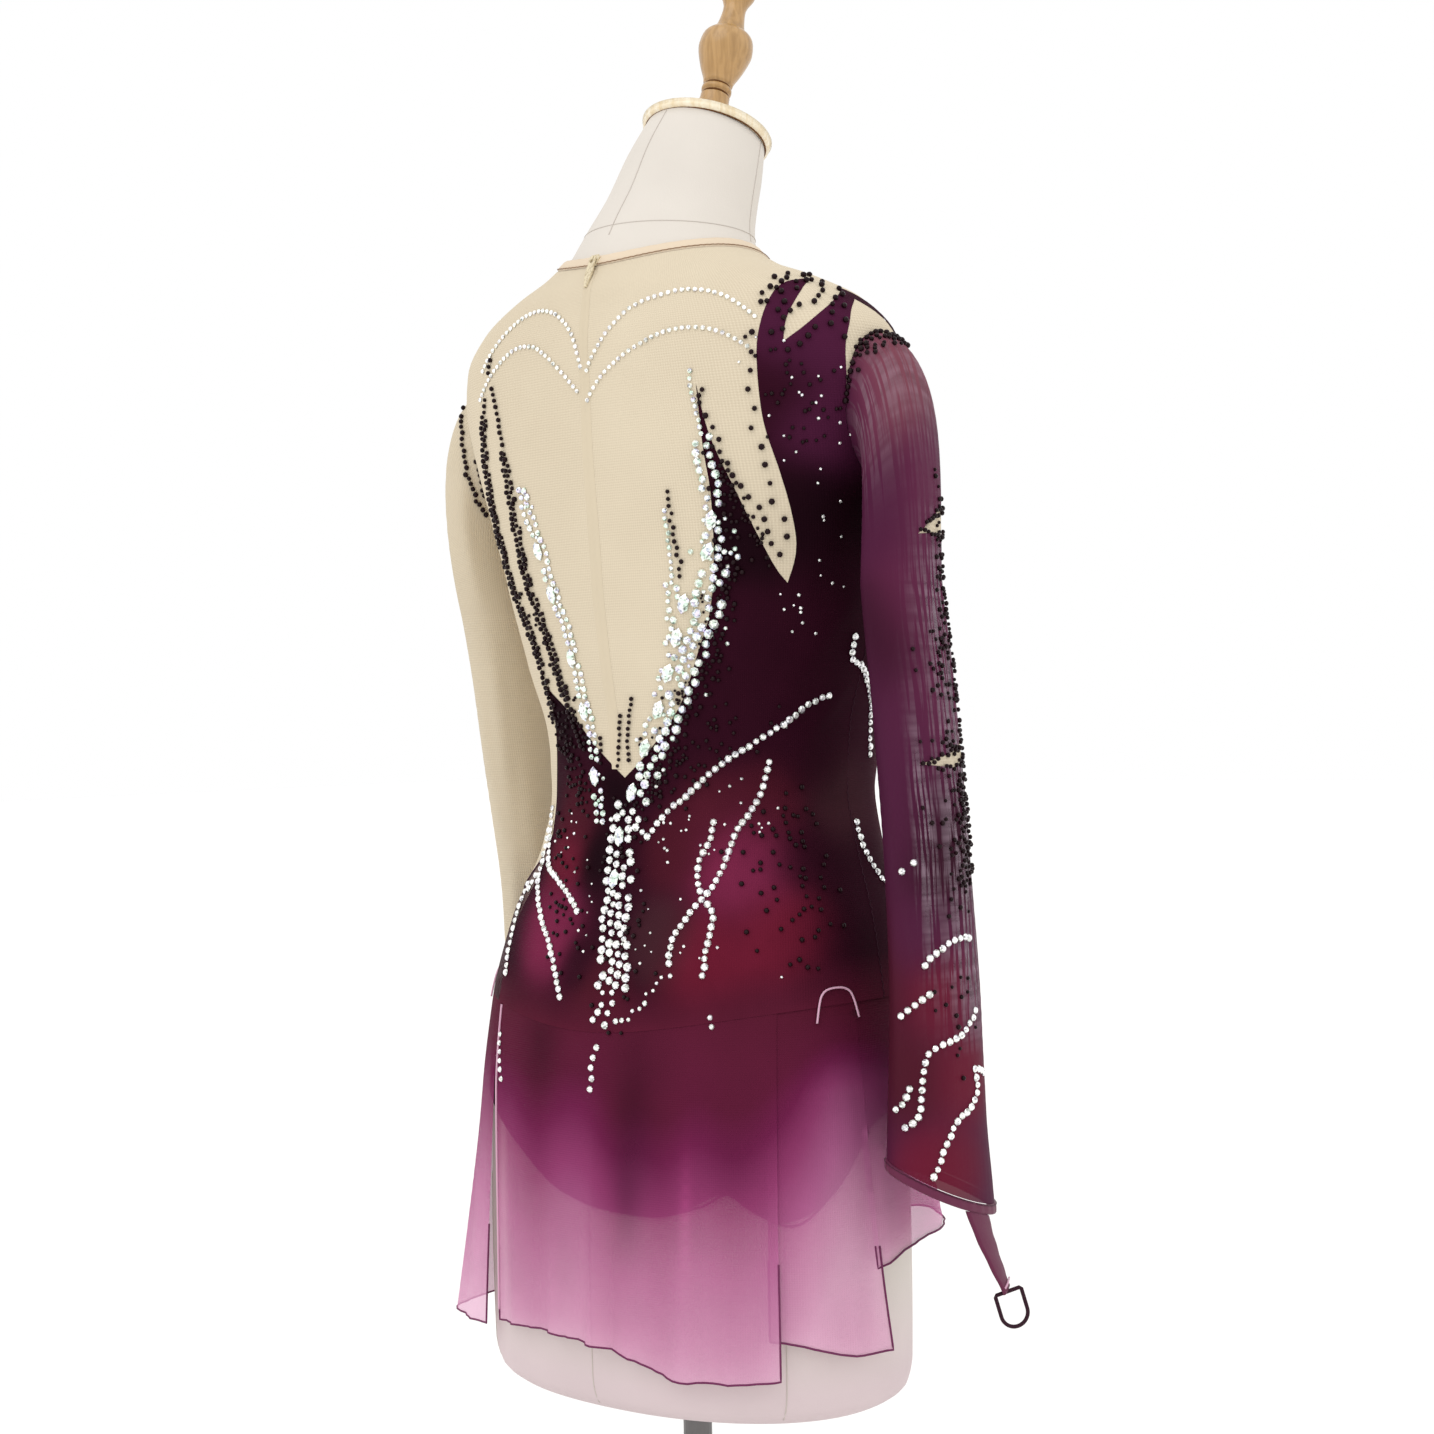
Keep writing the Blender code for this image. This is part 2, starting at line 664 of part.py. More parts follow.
RIGHT_SLEEVE = Table(
    "height middle_x middle_y half_x half_y",
    [
        (0.660, 0.226, -0.002, 0.0230, 0.0480),
        (0.740, 0.208, 0.000, 0.0230, 0.0480),
        (0.800, 0.206, 0.000, 0.0225, 0.0430),
        (0.860, 0.206, 0.000, 0.0215, 0.0385),
        (0.960, 0.204, 0.001, 0.0205, 0.0350),
        (1.060, 0.1975, 0.003, 0.0205, 0.0345),
        (1.140, 0.1905, 0.005, 0.0200, 0.0335),
        (1.200, 0.188, 0.006, 0.0200, 0.0330),
    ],
)
LEFT_SLEEVE = Table(
    "height middle_x middle_y half_x half_y",
    [
        (0.740, 0.206, -0.085, 0.0210, 0.0360),
        (0.860, 0.196, -0.066, 0.0210, 0.0360),
        (0.960, 0.187, -0.048, 0.0210, 0.0360),
        (1.060, 0.186, -0.030, 0.0210, 0.0360),
        (1.140, 0.188, -0.016, 0.0215, 0.0360),
        (1.200, 0.192, -0.004, 0.0215, 0.0340),
    ],
)
HEAD_FULLNESS = {RIGHT_SLEEVE: 0.55, LEFT_SLEEVE: 0.80}      # how far a sleeve's head rounds outwards
HEAD_DROP = 0.55            # and how soon it then hangs straight
SLEEVE_RADIUS = 0.033       # turns an angle round the sleeve into a length for its flat pattern
HEAD_LENGTH = 0.150         # of the sleeve's flat pattern, above the first level section
HEAD_END_Z = 1.140
RISE_LENGTH = 0.014         # on the pattern, where the sleeve stands straight up from the armhole
RISE = 0.0035
HEAD_LIFT = 70.0            # how steeply a sleeve leaves the shoulder; at the underarm it is 90
RIGHT_CUFF_Z = 0.7525
RIGHT_CUFF_SLANT = 0.0185   # the cuff drops from its back inner edge to its front outer point
RIGHT_CUFF_HIGH_AT = 126.0
LEFT_CUFF_Z = 0.745
CUFF_BAND = 0.007
SLEEVE_JOIN = -180.0        # angle where a sleeve's flat pattern is joined: its side by the body
STRAP_TOP = (-25.0, 8.0)    # angles of the finger strap's sides at the cuff and at its end
STRAP_END = (-42.0, -24.0)
STRAP_LENGTH = 0.046
STRAP_SLANT = 0.0040        # its back side is longer by this
LOOP_WIDTH = 0.0180
LOOP_HEIGHT = 0.0235
LOOP_CORD = 0.0013
LOOP_FACING = -50.0         # turn of the loop's plane from facing straight back
LOOP_TILT = 16.0


def sleeve_section(table, angle, height):
    """A point of a level section, for a sleeve at -X."""
    turn = math.radians(angle)
    across = table.read("middle_x", height) + table.read("half_x", height) * math.cos(turn)
    back = table.read("middle_y", height) + table.read("half_y", height) * math.sin(turn)
    return Vector((-across, back, height))


def sleeve_start(angle):
    """Where a sleeve's thread leaves the armhole, and in which direction."""
    place = armhole_place(angle, 90.0, 1)
    middle = armhole_middle()
    nearer = (place[0] + 0.05 * (middle[0] - place[0]), place[1] + 0.05 * (middle[1] - place[1]))
    point = cloth_point(*place, 0.0)
    outwards = body_normal(*place)
    inwards = (cloth_point(*nearer, 0.0) - point).normalized()
    lift = math.radians(HEAD_LIFT + (90.0 - HEAD_LIFT) * (1.0 - math.cos(math.radians(angle))) / 2)
    point = point + inwards * (SEAM_GAP + CLOTH * math.sin(lift))
    return point, inwards * math.cos(lift) + outwards * math.sin(lift)


def armhole_middle():
    return (90.0, (SHOULDER_TOP + UNDERARM) / 2)


def sleeve_surface(table, angle, length):
    """A point of a sleeve's inner face, for a sleeve at -X."""
    if length >= HEAD_LENGTH:
        return sleeve_section(table, angle, HEAD_END_Z - (length - HEAD_LENGTH))
    start, leaving = sleeve_start(angle)
    if length < RISE_LENGTH:
        return start + leaving * (RISE * length / RISE_LENGTH)
    start = start + leaving * RISE
    end = sleeve_section(table, angle, HEAD_END_Z)
    arriving = (sleeve_section(table, angle, HEAD_END_Z - 0.01) - end).normalized()
    distance = (end - start).length
    f = (length - RISE_LENGTH) / (HEAD_LENGTH - RISE_LENGTH)
    return (
        start * ((1 + 2 * f) * (1 - f) ** 2)
        + leaving * (HEAD_FULLNESS[table] * distance * f * (1 - f) ** 2)
        + end * (f * f * (3 - 2 * f))
        - arriving * (HEAD_DROP * distance * f * f * (1 - f))
    )


def sleeve_point(table, side, angle, length, out):
    """A point out from a sleeve's inner face; side is 1 for the right sleeve."""
    around = sleeve_surface(table, angle + 1.0, length) - sleeve_surface(table, angle - 1.0, length)
    low = max(length - 0.001, 0.0)
    along = sleeve_surface(table, angle, low + 0.002) - sleeve_surface(table, angle, low)
    point = sleeve_surface(table, angle, length) + around.cross(along).normalized() * out
    return Vector((point.x * side, point.y, point.z))


def sleeve_flat(angle, length):
    return (math.radians(angle) * SLEEVE_RADIUS, SLEEVE_SQUASH * length)


def sleeve_place(table, side):
    def place(flat, out):
        angle = math.degrees(flat[0] / SLEEVE_RADIUS)
        return sleeve_point(table, side, angle, flat[1] / SLEEVE_SQUASH, out)

    return place


def cuff_length(angle):
    """Length of the right sleeve at its slanted cuff, with the band."""
    drop = RIGHT_CUFF_SLANT * math.cos(math.radians(angle - RIGHT_CUFF_HIGH_AT))
    return HEAD_LENGTH + HEAD_END_Z - (RIGHT_CUFF_Z + drop)


def left_cuff_length(angle):
    return HEAD_LENGTH + HEAD_END_Z - LEFT_CUFF_Z


def above_band(angle):
    return cuff_length(angle) - CUFF_BAND


def sleeve_line(length_at, start, end):
    return level_line(length_at, start, end, SLEEVE_STEP, sleeve_flat)


# Slits in the right sleeve, as (angle, length) corners: a point and two ends at the front
SLITS = {
    "upper": [(14.0, 0.119), (-32.0, 0.107), (-72.0, 0.101), (-72.0, 0.112), (-32.0, 0.118)],
    "lower": [(43.0, 0.263), (-10.0, 0.256), (-72.0, 0.244), (-72.0, 0.257), (-10.0, 0.266)],
}


def slit_outline(name):
    corners = [sleeve_flat(*corner) for corner in SLITS[name]]
    sides = zip(corners, corners[1:] + corners[:1])
    return joined(*[smooth_line([low, high], SLEEVE_STEP) for low, high in sides])


def sleeve(name, table, side, finish_name, ends, slits=()):
    """A sleeve's wall from its armhole to its cuff, with its slits and their insets."""
    place = sleeve_place(table, side)
    head = sleeve_line(lambda angle: 0.0, SLEEVE_JOIN, SLEEVE_JOIN + 360.0)
    cuff = sleeve_line(ends, SLEEVE_JOIN + 360.0, SLEEVE_JOIN)
    right_side = smooth_line([head[-1], cuff[0]], SLEEVE_STEP)
    left_side = [(head[0][0], t) for _, t in right_side]
    holes = [slit_outline(slit) for slit in slits]
    for slit, hole in zip(slits, holes):
        wall("slit_inset_" + slit, inset(hole, SEAM_GAP), place, "nude_mesh", SLEEVE_STEP)
    outline = joined(head, right_side, cuff, left_side[::-1])
    rise = [(point[0], SLEEVE_SQUASH * RISE_LENGTH) for point in head[1:-1]]
    wall(name, outline, place, finish_name, SLEEVE_STEP, holes=holes, guides=rise, closed=True)


def build_sleeves():
    sleeve("left_sleeve", LEFT_SLEEVE, -1, "nude_mesh", left_cuff_length)
    sleeve("right_sleeve", RIGHT_SLEEVE, 1, "plum_mesh", above_band, ("upper", "lower"))


def cord_ring(name, path, facing, radius, finish_name, sides=6):
    """A closed loop of round cord through a flat path; facing is the path's normal."""
    mesh_data = bmesh.new()
    rings = []
    count = len(path)
    for k in range(count):
        along = (path[(k + 1) % count] - path[k - 1]).normalized()
        outwards = along.cross(facing)
        ring = []
        for j in range(sides):
            angle = 2 * math.pi * j / sides
            spoke = outwards * math.cos(angle) + facing * math.sin(angle)
            ring.append(mesh_data.verts.new(path[k] + spoke * radius))
        rings.append(ring)
    for k in range(count):
        low = rings[k]
        high = rings[(k + 1) % count]
        for j in range(sides):
            after = (j + 1) % sides
            mesh_data.faces.new([low[j], low[after], high[after], high[j]])
    return add_object(name, mesh_data, finish_name)


def build_cuff():
    place = sleeve_place(RIGHT_SLEEVE, 1)
    high = sleeve_line(lambda angle: above_band(angle) + SEAM_GAP, SLEEVE_JOIN, SLEEVE_JOIN + 360.0)
    low = sleeve_line(cuff_length, SLEEVE_JOIN + 360.0, SLEEVE_JOIN)
    wall("cuff_band", joined(high, low), place, "plum_cloth", SLEEVE_STEP, BINDING_CLOTH, closed=True)
    top = sleeve_line(lambda angle: cuff_length(angle) + SEAM_GAP, *STRAP_TOP)
    end_length = cuff_length(STRAP_TOP[0]) + STRAP_LENGTH
    front = sleeve_flat(STRAP_END[0], end_length)
    back = sleeve_flat(STRAP_END[1], end_length + STRAP_SLANT)
    sides = [smooth_line([top[-1], back], SLEEVE_STEP), smooth_line([front, top[0]], SLEEVE_STEP)]
    outline = joined(top, sides[0], [back, front], sides[1])
    wall("finger_strap", outline, place, "plum_cloth", SLEEVE_STEP, BINDING_CLOTH)
    middle = sum(STRAP_END) / 2
    hang = sleeve_point(RIGHT_SLEEVE, 1, middle, end_length + STRAP_SLANT / 2, BINDING_CLOTH / 2)
    cord_ring("finger_loop", *loop_path(hang), LOOP_CORD, "elastic")


def loop_path(hang):
    """The finger loop's flat path under a point, a bar with a round below it, and its normal."""
    facing = Vector((math.sin(math.radians(LOOP_FACING)), math.cos(math.radians(LOOP_FACING)), 0.0))
    level = Vector((facing.y, -facing.x, 0.0))
    tilt = math.radians(LOOP_TILT)
    across = level * math.cos(tilt) + Vector((0.0, 0.0, -math.sin(tilt)))
    down = -level * math.sin(tilt) - Vector((0.0, 0.0, math.cos(tilt)))
    half = LOOP_WIDTH / 2
    corner = half * 0.12
    outline = [(corner - half, 0.0), (0.0, 0.0), (half - corner, 0.0), (half, corner)]
    for k in range(13):
        angle = math.pi * k / 12
        outline.append((half * math.cos(angle), LOOP_HEIGHT - half + half * math.sin(angle)))
    outline.append((-half, corner))
    start = hang + down * (LOOP_CORD + REST_GAP)
    return [start + across * u + down * v for u, v in outline], facing


# The briefs and the skirt

BRIEFS_EASE = 0.0012
BRIEFS_OVERLAP = 0.012      # how far the briefs reach up under the bodice
BRIEFS = Table(
    "turn height",
    [
        (-180, 0.735), (-150, 0.752), (-120, 0.795), (-90, 0.815), (-60, 0.800), (-35, 0.772),
        (-12, 0.746), (6, 0.738), (25, 0.736), (42, 0.745), (48, 0.753), (54, 0.743),
        (64, 0.732), (74, 0.752), (90, 0.800), (115, 0.800), (145, 0.755), (180, 0.735),
    ],
)
# Each panel's hem, from its first edge to its last, and how far it stands out there
SKIRT_PANELS = {
    "skirt_back": Table(
        "turn height flare",
        [
            (-42.5, 0.648, 0.002), (-18, 0.652, 0.003), (5, 0.651, 0.004),
            (28, 0.641, 0.005), (41, 0.635, 0.006), (60.2, 0.636, 0.007),
        ],
    ),
    "skirt_right": Table(
        "turn height flare",
        [(61.0, 0.660, 0.004), (72, 0.652, 0.004), (82, 0.645, 0.004), (86.5, 0.647, 0.005)],
    ),
    "skirt_front_right": Table(
        "turn height flare",
        [
            (87.5, 0.702, 0.005), (98, 0.709, 0.008), (112, 0.713, 0.024),
            (126, 0.714, 0.036), (145, 0.706, 0.028), (168, 0.690, 0.012),
        ],
    ),
    "skirt_front_left": Table(
        "turn height flare",
        [
            (169.0, 0.664, 0.012), (205, 0.652, 0.013), (250, 0.645, 0.015),
            (285, 0.640, 0.015), (300, 0.640, 0.013), (312.0, 0.643, 0.007),
        ],
    ),
}
SKIRT_TOP_TURNS = {
    "skirt_back": (-47.0, 60.2),
    "skirt_right": (60.6, 80.0),
    "skirt_front_right": (80.4, 168.3),
    "skirt_front_left": (168.7, 312.6),
}
# The skirt's folds: where, how wide in degrees, and how deep at the hem
FOLDS = [
    (-30, 7, 0.004), (-9, 7, 0.006), (6, 5, 0.009), (21, 6, 0.005), (36, 6, 0.010), (51, 6, 0.006),
    (71, 6, 0.006), (86, 6, 0.004), (112, 8, 0.008), (137, 9, 0.009), (157, 7, 0.008),
    (182, 8, 0.009), (204, 8, 0.010), (226, 8, 0.009), (248, 8, 0.010), (268, 7, 0.008), (289, 7, 0.010),
]
HEM_Z = 0.640
FLARE_POWER = 1.7           # the skirt bells out more towards its hem
SKIRT_RADIUS = 0.150


def briefs_place(flat, out):
    turn = math.degrees(flat[0] / SKIRT_RADIUS)
    height = flat[1] / SKIRT_SQUASH
    return body_point(turn, height) + body_normal(turn, height) * (BRIEFS_EASE + out)


def skirt_flat(turn, height):
    return (math.radians(turn) * SKIRT_RADIUS, SKIRT_SQUASH * height)


def skirt_place(hem):
    """Lays a skirt panel's pattern round the form, with its flare and its folds."""

    def place(flat, out):
        turn = math.degrees(flat[0] / SKIRT_RADIUS)
        height = flat[1] / SKIRT_SQUASH
        drop = (hip_height(turn) - height) / (hip_height(turn) - HEM_Z)
        growth = max(drop, 0.0) ** FLARE_POWER
        flare = hem.read("flare", turn)
        for middle, spread, depth in FOLDS:
            flare += depth * math.exp(-(((turn - middle) / spread) ** 2))
        point = cloth_point(turn, max(height, HEM_Z), out + flare * growth)
        point.z += min(height - HEM_Z, 0.0)
        return point

    return place


def build_skirt():
    top = level_line(lambda turn: hip_height(turn) + BRIEFS_OVERLAP, -180.0, 180.0, SKIRT_STEP, skirt_flat)
    legs = level_line(lambda turn: BRIEFS.read("height", turn), -180.0, 180.0, SKIRT_STEP, skirt_flat)
    sides = smooth_line([top[-1], legs[-1]], SKIRT_STEP)
    outline = joined(top, sides, legs[::-1], [(top[0][0], t) for _, t in sides[::-1]])
    wall("briefs", outline, briefs_place, "plum_cloth", SKIRT_STEP, closed=True)
    for name, hem in SKIRT_PANELS.items():
        start, end = SKIRT_TOP_TURNS[name]
        high = level_line(lambda turn: hip_height(turn) - SEAM_GAP, start, end, SKIRT_STEP, skirt_flat)
        first, last = hem.keys[0], hem.keys[-1]
        low = level_line(lambda turn: hem.read("height", turn), first, last, SKIRT_STEP, skirt_flat)
        outline = joined(
            high,
            smooth_line([high[-1], low[-1]], SKIRT_STEP),
            low[::-1],
            smooth_line([low[0], high[0]], SKIRT_STEP),
        )
        wall(name, outline, skirt_place(hem), "chiffon", SKIRT_STEP)


# The zip's slider and pull, at the top of the centre back

ZIP_Z = 1.3655
SLIDER = (0.0070, 0.0090, 0.0012)   # width, height and thickness of its plate
LUG = (0.0016, 0.0030)              # width and height of the lug that holds the pull
AXIS_RISE = 0.0017                  # of the pull's axis above the plate
LUG_RISE = 0.0029
PULL_TIP = (1.3470, 0.0026)         # height of the pull's tip, and its space from the inner face
PULL_THICK = 0.0012


def frame_at(turn, height, out):
    """A point on the cloth with the directions across, up and out there."""
    point = body_place(body_flat(turn, height), out)
    outwards = body_normal(turn, height)
    up = (Vector((0.0, 0.0, 1.0)) - outwards * outwards.z).normalized()
    return point, up.cross(outwards), up, outwards


def prism(name, outline, base, across, up, thickness, finish_name, origin=(0.0, 0.0, 0.0)):
    """A flat plate from an outline, given its thickness on the far side of its base."""
    outwards = across.cross(up)
    rings = []
    for lift in (0.0, thickness):
        rings.append([base + across * u + up * v + outwards * lift for u, v in outline])
    return lofted(name, rings, finish_name, origin)


def build_zip():
    base, across, up, outwards = frame_at(0.0, ZIP_Z, BINDING_CLOTH + LAY_GAP)
    half = SLIDER[0] / 2
    tall = SLIDER[1] / 2
    plate = [(-half, tall - 0.002), (-half + 0.0015, tall), (half - 0.0015, tall), (half, tall - 0.002)]
    plate += [(half - 0.0015, -tall), (-half + 0.0015, -tall)]
    slider = prism("zip_slider", plate, base, across, up, SLIDER[2], "cream_metal")
    lug = [(u * LUG[0] / 2, v * LUG[1] / 2) for u, v in ((-1, -1), (1, -1), (1, 1), (-1, 1))]
    sunk = SLIDER[2] / 2
    rise = SLIDER[2] - sunk + LUG_RISE
    tool = prism("zip_lug_tool", lug, base + outwards * sunk, across, up, rise, "cream_metal")
    tool.hide_render = True
    tool.display_type = "WIRE"
    union = slider.modifiers.new("lug", "BOOLEAN")
    union.operation = "UNION"
    union.solver = "EXACT"
    union.object = tool
    pivot = base + outwards * (SLIDER[2] + AXIS_RISE)
    tip = body_place(body_flat(0.0, PULL_TIP[0]), PULL_TIP[1])
    down = tip - pivot
    length = down.length
    down = down / length
    fork = 0.0011
    side = 0.0025
    leaf = [(-fork, 0.0012), (-side, 0.0012), (-side, -0.0036), (-0.0031, -0.0095), (-0.0026, -0.0145)]
    leaf += [(-0.0010, -length), (0.0010, -length), (0.0026, -0.0145), (0.0031, -0.0095), (side, -0.0036)]
    leaf += [(side, 0.0012), (fork, 0.0012), (fork, -0.0036), (-fork, -0.0036)]
    facing = across.cross(-down)
    inner = pivot - facing * (PULL_THICK / 2)
    prism("zip_pull", leaf, inner, across, -down, PULL_THICK, "cream_metal", pivot)


# The large stones, as (turn, height) along the two strips beside the open back

STONE_STRIPS = {
    "right": [
        (43, 1.188), (41, 1.168), (33, 1.135), (30, 1.113), (26, 1.090),
        (21, 1.066), (14.5, 1.040), (8, 1.010), (3, 0.980), (3, 0.951),
    ],
    "left": [(-27, 1.176), (-22, 1.146), (-16, 1.102), (-14, 1.066), (-11, 1.021)],
}
STONE = (0.0140, 0.0085, 0.0030)


def build_stones():
    for strip, places in STONE_STRIPS.items():
        for k, (turn, height) in enumerate(places):
            after = places[k + 1] if k + 1 < len(places) else places[k - 1]
            base, across, up, outwards = frame_at(turn, height, CLOTH + LAY_GAP)
            towards = body_place(body_flat(*after), CLOTH + LAY_GAP) - base
            long_way = (towards - outwards * towards.dot(outwards)).normalized()
            short_way = outwards.cross(long_way)
            rings = []
            for size, lift in ((0.86, 0.0), (1.0, 0.3), (0.55, 1.0)):
                ring = []
                for u, v in ((1, 0), (0.35, 1), (-0.35, 1), (-1, 0), (-0.35, -1), (0.35, -1)):
                    point = base + long_way * (u * size * STONE[0] / 2)
                    point = point + short_way * (v * size * STONE[1] / 2)
                    ring.append(point + outwards * lift * STONE[2])
                rings.append(ring)
            lofted("stone_" + strip + "_" + str(k + 1), rings, "crystal")


build_form()
build_stand()
build_bodice()
build_neck_binding()
build_sleeves()
build_cuff()
build_skirt()
build_zip()
build_stones()
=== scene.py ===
"""Figure skating dress on a dress form: fine cloth, stones, finishes and a pale studio.

The cloth repeats the part's own surfaces at a finer step, so each piece lies where its
solid does. Places on the figure are given by a turn, in degrees from the centre back
towards its right side, and a height in metres. The figure faces -Y.
"""
import math
import random

import bmesh
import bpy
import numpy as np
from bpy.props import FloatProperty, FloatVectorProperty, PointerProperty
from mathutils import Matrix, Vector
from mathutils.geometry import delaunay_2d_cdt


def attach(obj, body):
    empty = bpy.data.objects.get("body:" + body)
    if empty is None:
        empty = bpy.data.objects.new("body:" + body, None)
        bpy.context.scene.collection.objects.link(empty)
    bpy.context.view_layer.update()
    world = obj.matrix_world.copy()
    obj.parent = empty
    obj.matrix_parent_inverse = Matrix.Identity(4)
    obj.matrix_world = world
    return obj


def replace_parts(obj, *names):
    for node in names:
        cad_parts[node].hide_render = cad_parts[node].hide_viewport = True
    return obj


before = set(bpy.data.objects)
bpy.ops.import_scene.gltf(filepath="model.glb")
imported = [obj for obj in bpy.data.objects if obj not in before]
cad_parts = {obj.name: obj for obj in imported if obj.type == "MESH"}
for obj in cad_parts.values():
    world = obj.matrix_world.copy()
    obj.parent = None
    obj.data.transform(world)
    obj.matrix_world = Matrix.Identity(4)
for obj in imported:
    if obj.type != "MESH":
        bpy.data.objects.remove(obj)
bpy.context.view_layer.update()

bl_info = {
    "name": "Skating dress on a form",
    "version": (1, 0, 0),
    "blender": (4, 5, 0),
    "location": "3D View > Sidebar > Dress",
    "description": "Dresses a plain model of a skating dress with cloth, stones and finishes",
    "category": "Object",
}

BODY_NAME = "dress_on_form"

# Surfaces of the part, repeated from its source

CLOTH = 0.0012
SEAM_GAP = 0.0004
MEAN_RADIUS = 0.125
NECK_TOP_Z = 1.468
NECK_TILT = 20.0
NECK_BASE_Z = 1.378


def linear(code):
    """The linear colour of an sRGB hex code."""
    values = [int(code[i:i + 2], 16) / 255.0 for i in (1, 3, 5)]
    return tuple(v / 12.92 if v <= 0.04045 else ((v + 0.055) / 1.055) ** 2.4 for v in values)


def stack(*parts):
    """Points from their coordinates, each a number or an array."""
    return np.stack(np.broadcast_arrays(*parts), axis=-1).astype(float)


def unit(vectors):
    return vectors / np.maximum(np.linalg.norm(vectors, axis=-1, keepdims=True), 1e-12)


def between(low, leaving, high, arriving, f):
    """A smooth way from one value to another, with its slopes at both ends."""
    return (
        low * (1 + 2 * f) * (1 - f) ** 2
        + leaving * f * (1 - f) ** 2
        + high * f * f * (3 - 2 * f)
        + arriving * f * f * (f - 1)
    )


def run_along(points):
    """Distance along a line at each of its points."""
    return np.concatenate([[0.0], np.cumsum(np.linalg.norm(np.diff(points, axis=0), axis=1))])


class Table:
    """Rows of named columns, read smoothly between rows by the first column."""

    def __init__(self, names, rows):
        rows = np.array(sorted(rows), float)
        self.keys = rows[:, 0]
        self.columns = dict(zip(names.split(), rows.T))
        self.slopes = {name: self.find_slopes(values) for name, values in self.columns.items()}

    def find_slopes(self, values):
        """Slope of one column at each row, zero where the column turns round."""
        steps = np.diff(values) / np.diff(self.keys)
        product = steps[:-1] * steps[1:]
        total = np.where(product > 0.0, steps[:-1] + steps[1:], 1.0)
        middle = np.where(product > 0.0, 2.0 * product / total, 0.0)
        return np.concatenate([steps[:1], middle, steps[-1:]])

    def read(self, name, key):
        key = np.clip(np.asarray(key, float), self.keys[0], self.keys[-1])
        i = np.clip(np.searchsorted(self.keys, key) - 1, 0, len(self.keys) - 2)
        span = self.keys[i + 1] - self.keys[i]
        f = (key - self.keys[i]) / span
        values = self.columns[name]
        slopes = self.slopes[name]
        return between(values[i], slopes[i] * span, values[i + 1], slopes[i + 1] * span, f)


BODY = Table(
    "height half_width half_depth middle_y power",
    [
        (0.602, 0.146, 0.1, -0.004, 2.2), (0.608, 0.154, 0.107, -0.004, 2.2),
        (0.625, 0.158, 0.111, -0.004, 2.2), (0.7, 0.159, 0.112, -0.004, 2.2),
        (0.8, 0.158, 0.112, -0.006, 2.2), (0.86, 0.154, 0.11, -0.01, 2.2), (0.92, 0.141, 0.104, -0.018, 2.2),
        (0.97, 0.123, 0.099, -0.027, 2.1), (1.01, 0.1135, 0.098, -0.0305, 2.1),
        (1.05, 0.116, 0.1, -0.031, 2.1), (1.1, 0.131, 0.106, -0.029, 2.1), (1.16, 0.147, 0.111, -0.027, 2.2),
        (1.2, 0.156, 0.109, -0.022, 2.3), (1.24, 0.165, 0.103, -0.013, 2.3),
        (1.28, 0.172, 0.096, -0.005, 2.3), (1.308, 0.169, 0.091, 0.001, 2.2),
        (1.332, 0.151, 0.084, 0.006, 2.1), (1.35, 0.119, 0.077, 0.01, 2.0), (1.363, 0.088, 0.07, 0.01, 2.0),
        (1.377, 0.067, 0.063, 0.009, 2.0), (1.392, 0.059, 0.059, 0.003, 2.0),
        (1.415, 0.052, 0.053, -0.01, 2.0), (1.442, 0.047, 0.0485, -0.024, 2.0),
        (1.468, 0.042, 0.041, -0.038, 2.0)],
)
EASE = Table(
    "height off",
    [(0.6, 0.0042), (0.9, 0.0042), (0.98, 0.0028), (1.31, 0.003), (1.345, 0.0018), (1.362, 0.0009)],
)


def body_point(turn, height):
    """A point on the form."""
    angle = np.radians(turn)
    across = np.abs(np.sin(angle)) / BODY.read("half_width", height)
    along = np.abs(np.cos(angle)) / BODY.read("half_depth", height)
    power = BODY.read("power", height)
    radius = (across**power + along**power) ** (-1.0 / power)
    back = radius * np.cos(angle)
    rise = np.clip((np.asarray(height) - NECK_BASE_Z) / (NECK_TOP_Z - NECK_BASE_Z), 0.0, 1.0)
    lift = back * np.tan(np.radians(NECK_TILT * rise))
    return stack(-radius * np.sin(angle), BODY.read("middle_y", height) + back, height + lift)


def body_normal(turn, height):
    """The outward direction at a point on the form."""
    turn = np.asarray(turn, float)
    height = np.asarray(height, float)
    across = body_point(turn + 0.5, height) - body_point(turn - 0.5, height)
    up = body_point(turn, height + 0.0005) - body_point(turn, height - 0.0005)
    return unit(np.cross(across, up))


def cloth_point(turn, height, out):
    """A point out from the inner face of the cloth on the body."""
    off = np.asarray(EASE.read("off", height) + out)
    return body_point(turn, height) + body_normal(turn, height) * off[..., None]


CLIMB_HEIGHTS = np.arange(0.602, NECK_TOP_Z, 0.004)
CLIMB_LENGTHS = run_along(body_point(75.0, CLIMB_HEIGHTS))


def body_flat(turn, height):
    """Flat-pattern place of a point on the body."""
    return (math.radians(turn) * MEAN_RADIUS, float(np.interp(height, CLIMB_HEIGHTS, CLIMB_LENGTHS)))


def from_body_flat(s, t):
    return np.degrees(s / MEAN_RADIUS), np.interp(t, CLIMB_LENGTHS, CLIMB_HEIGHTS)


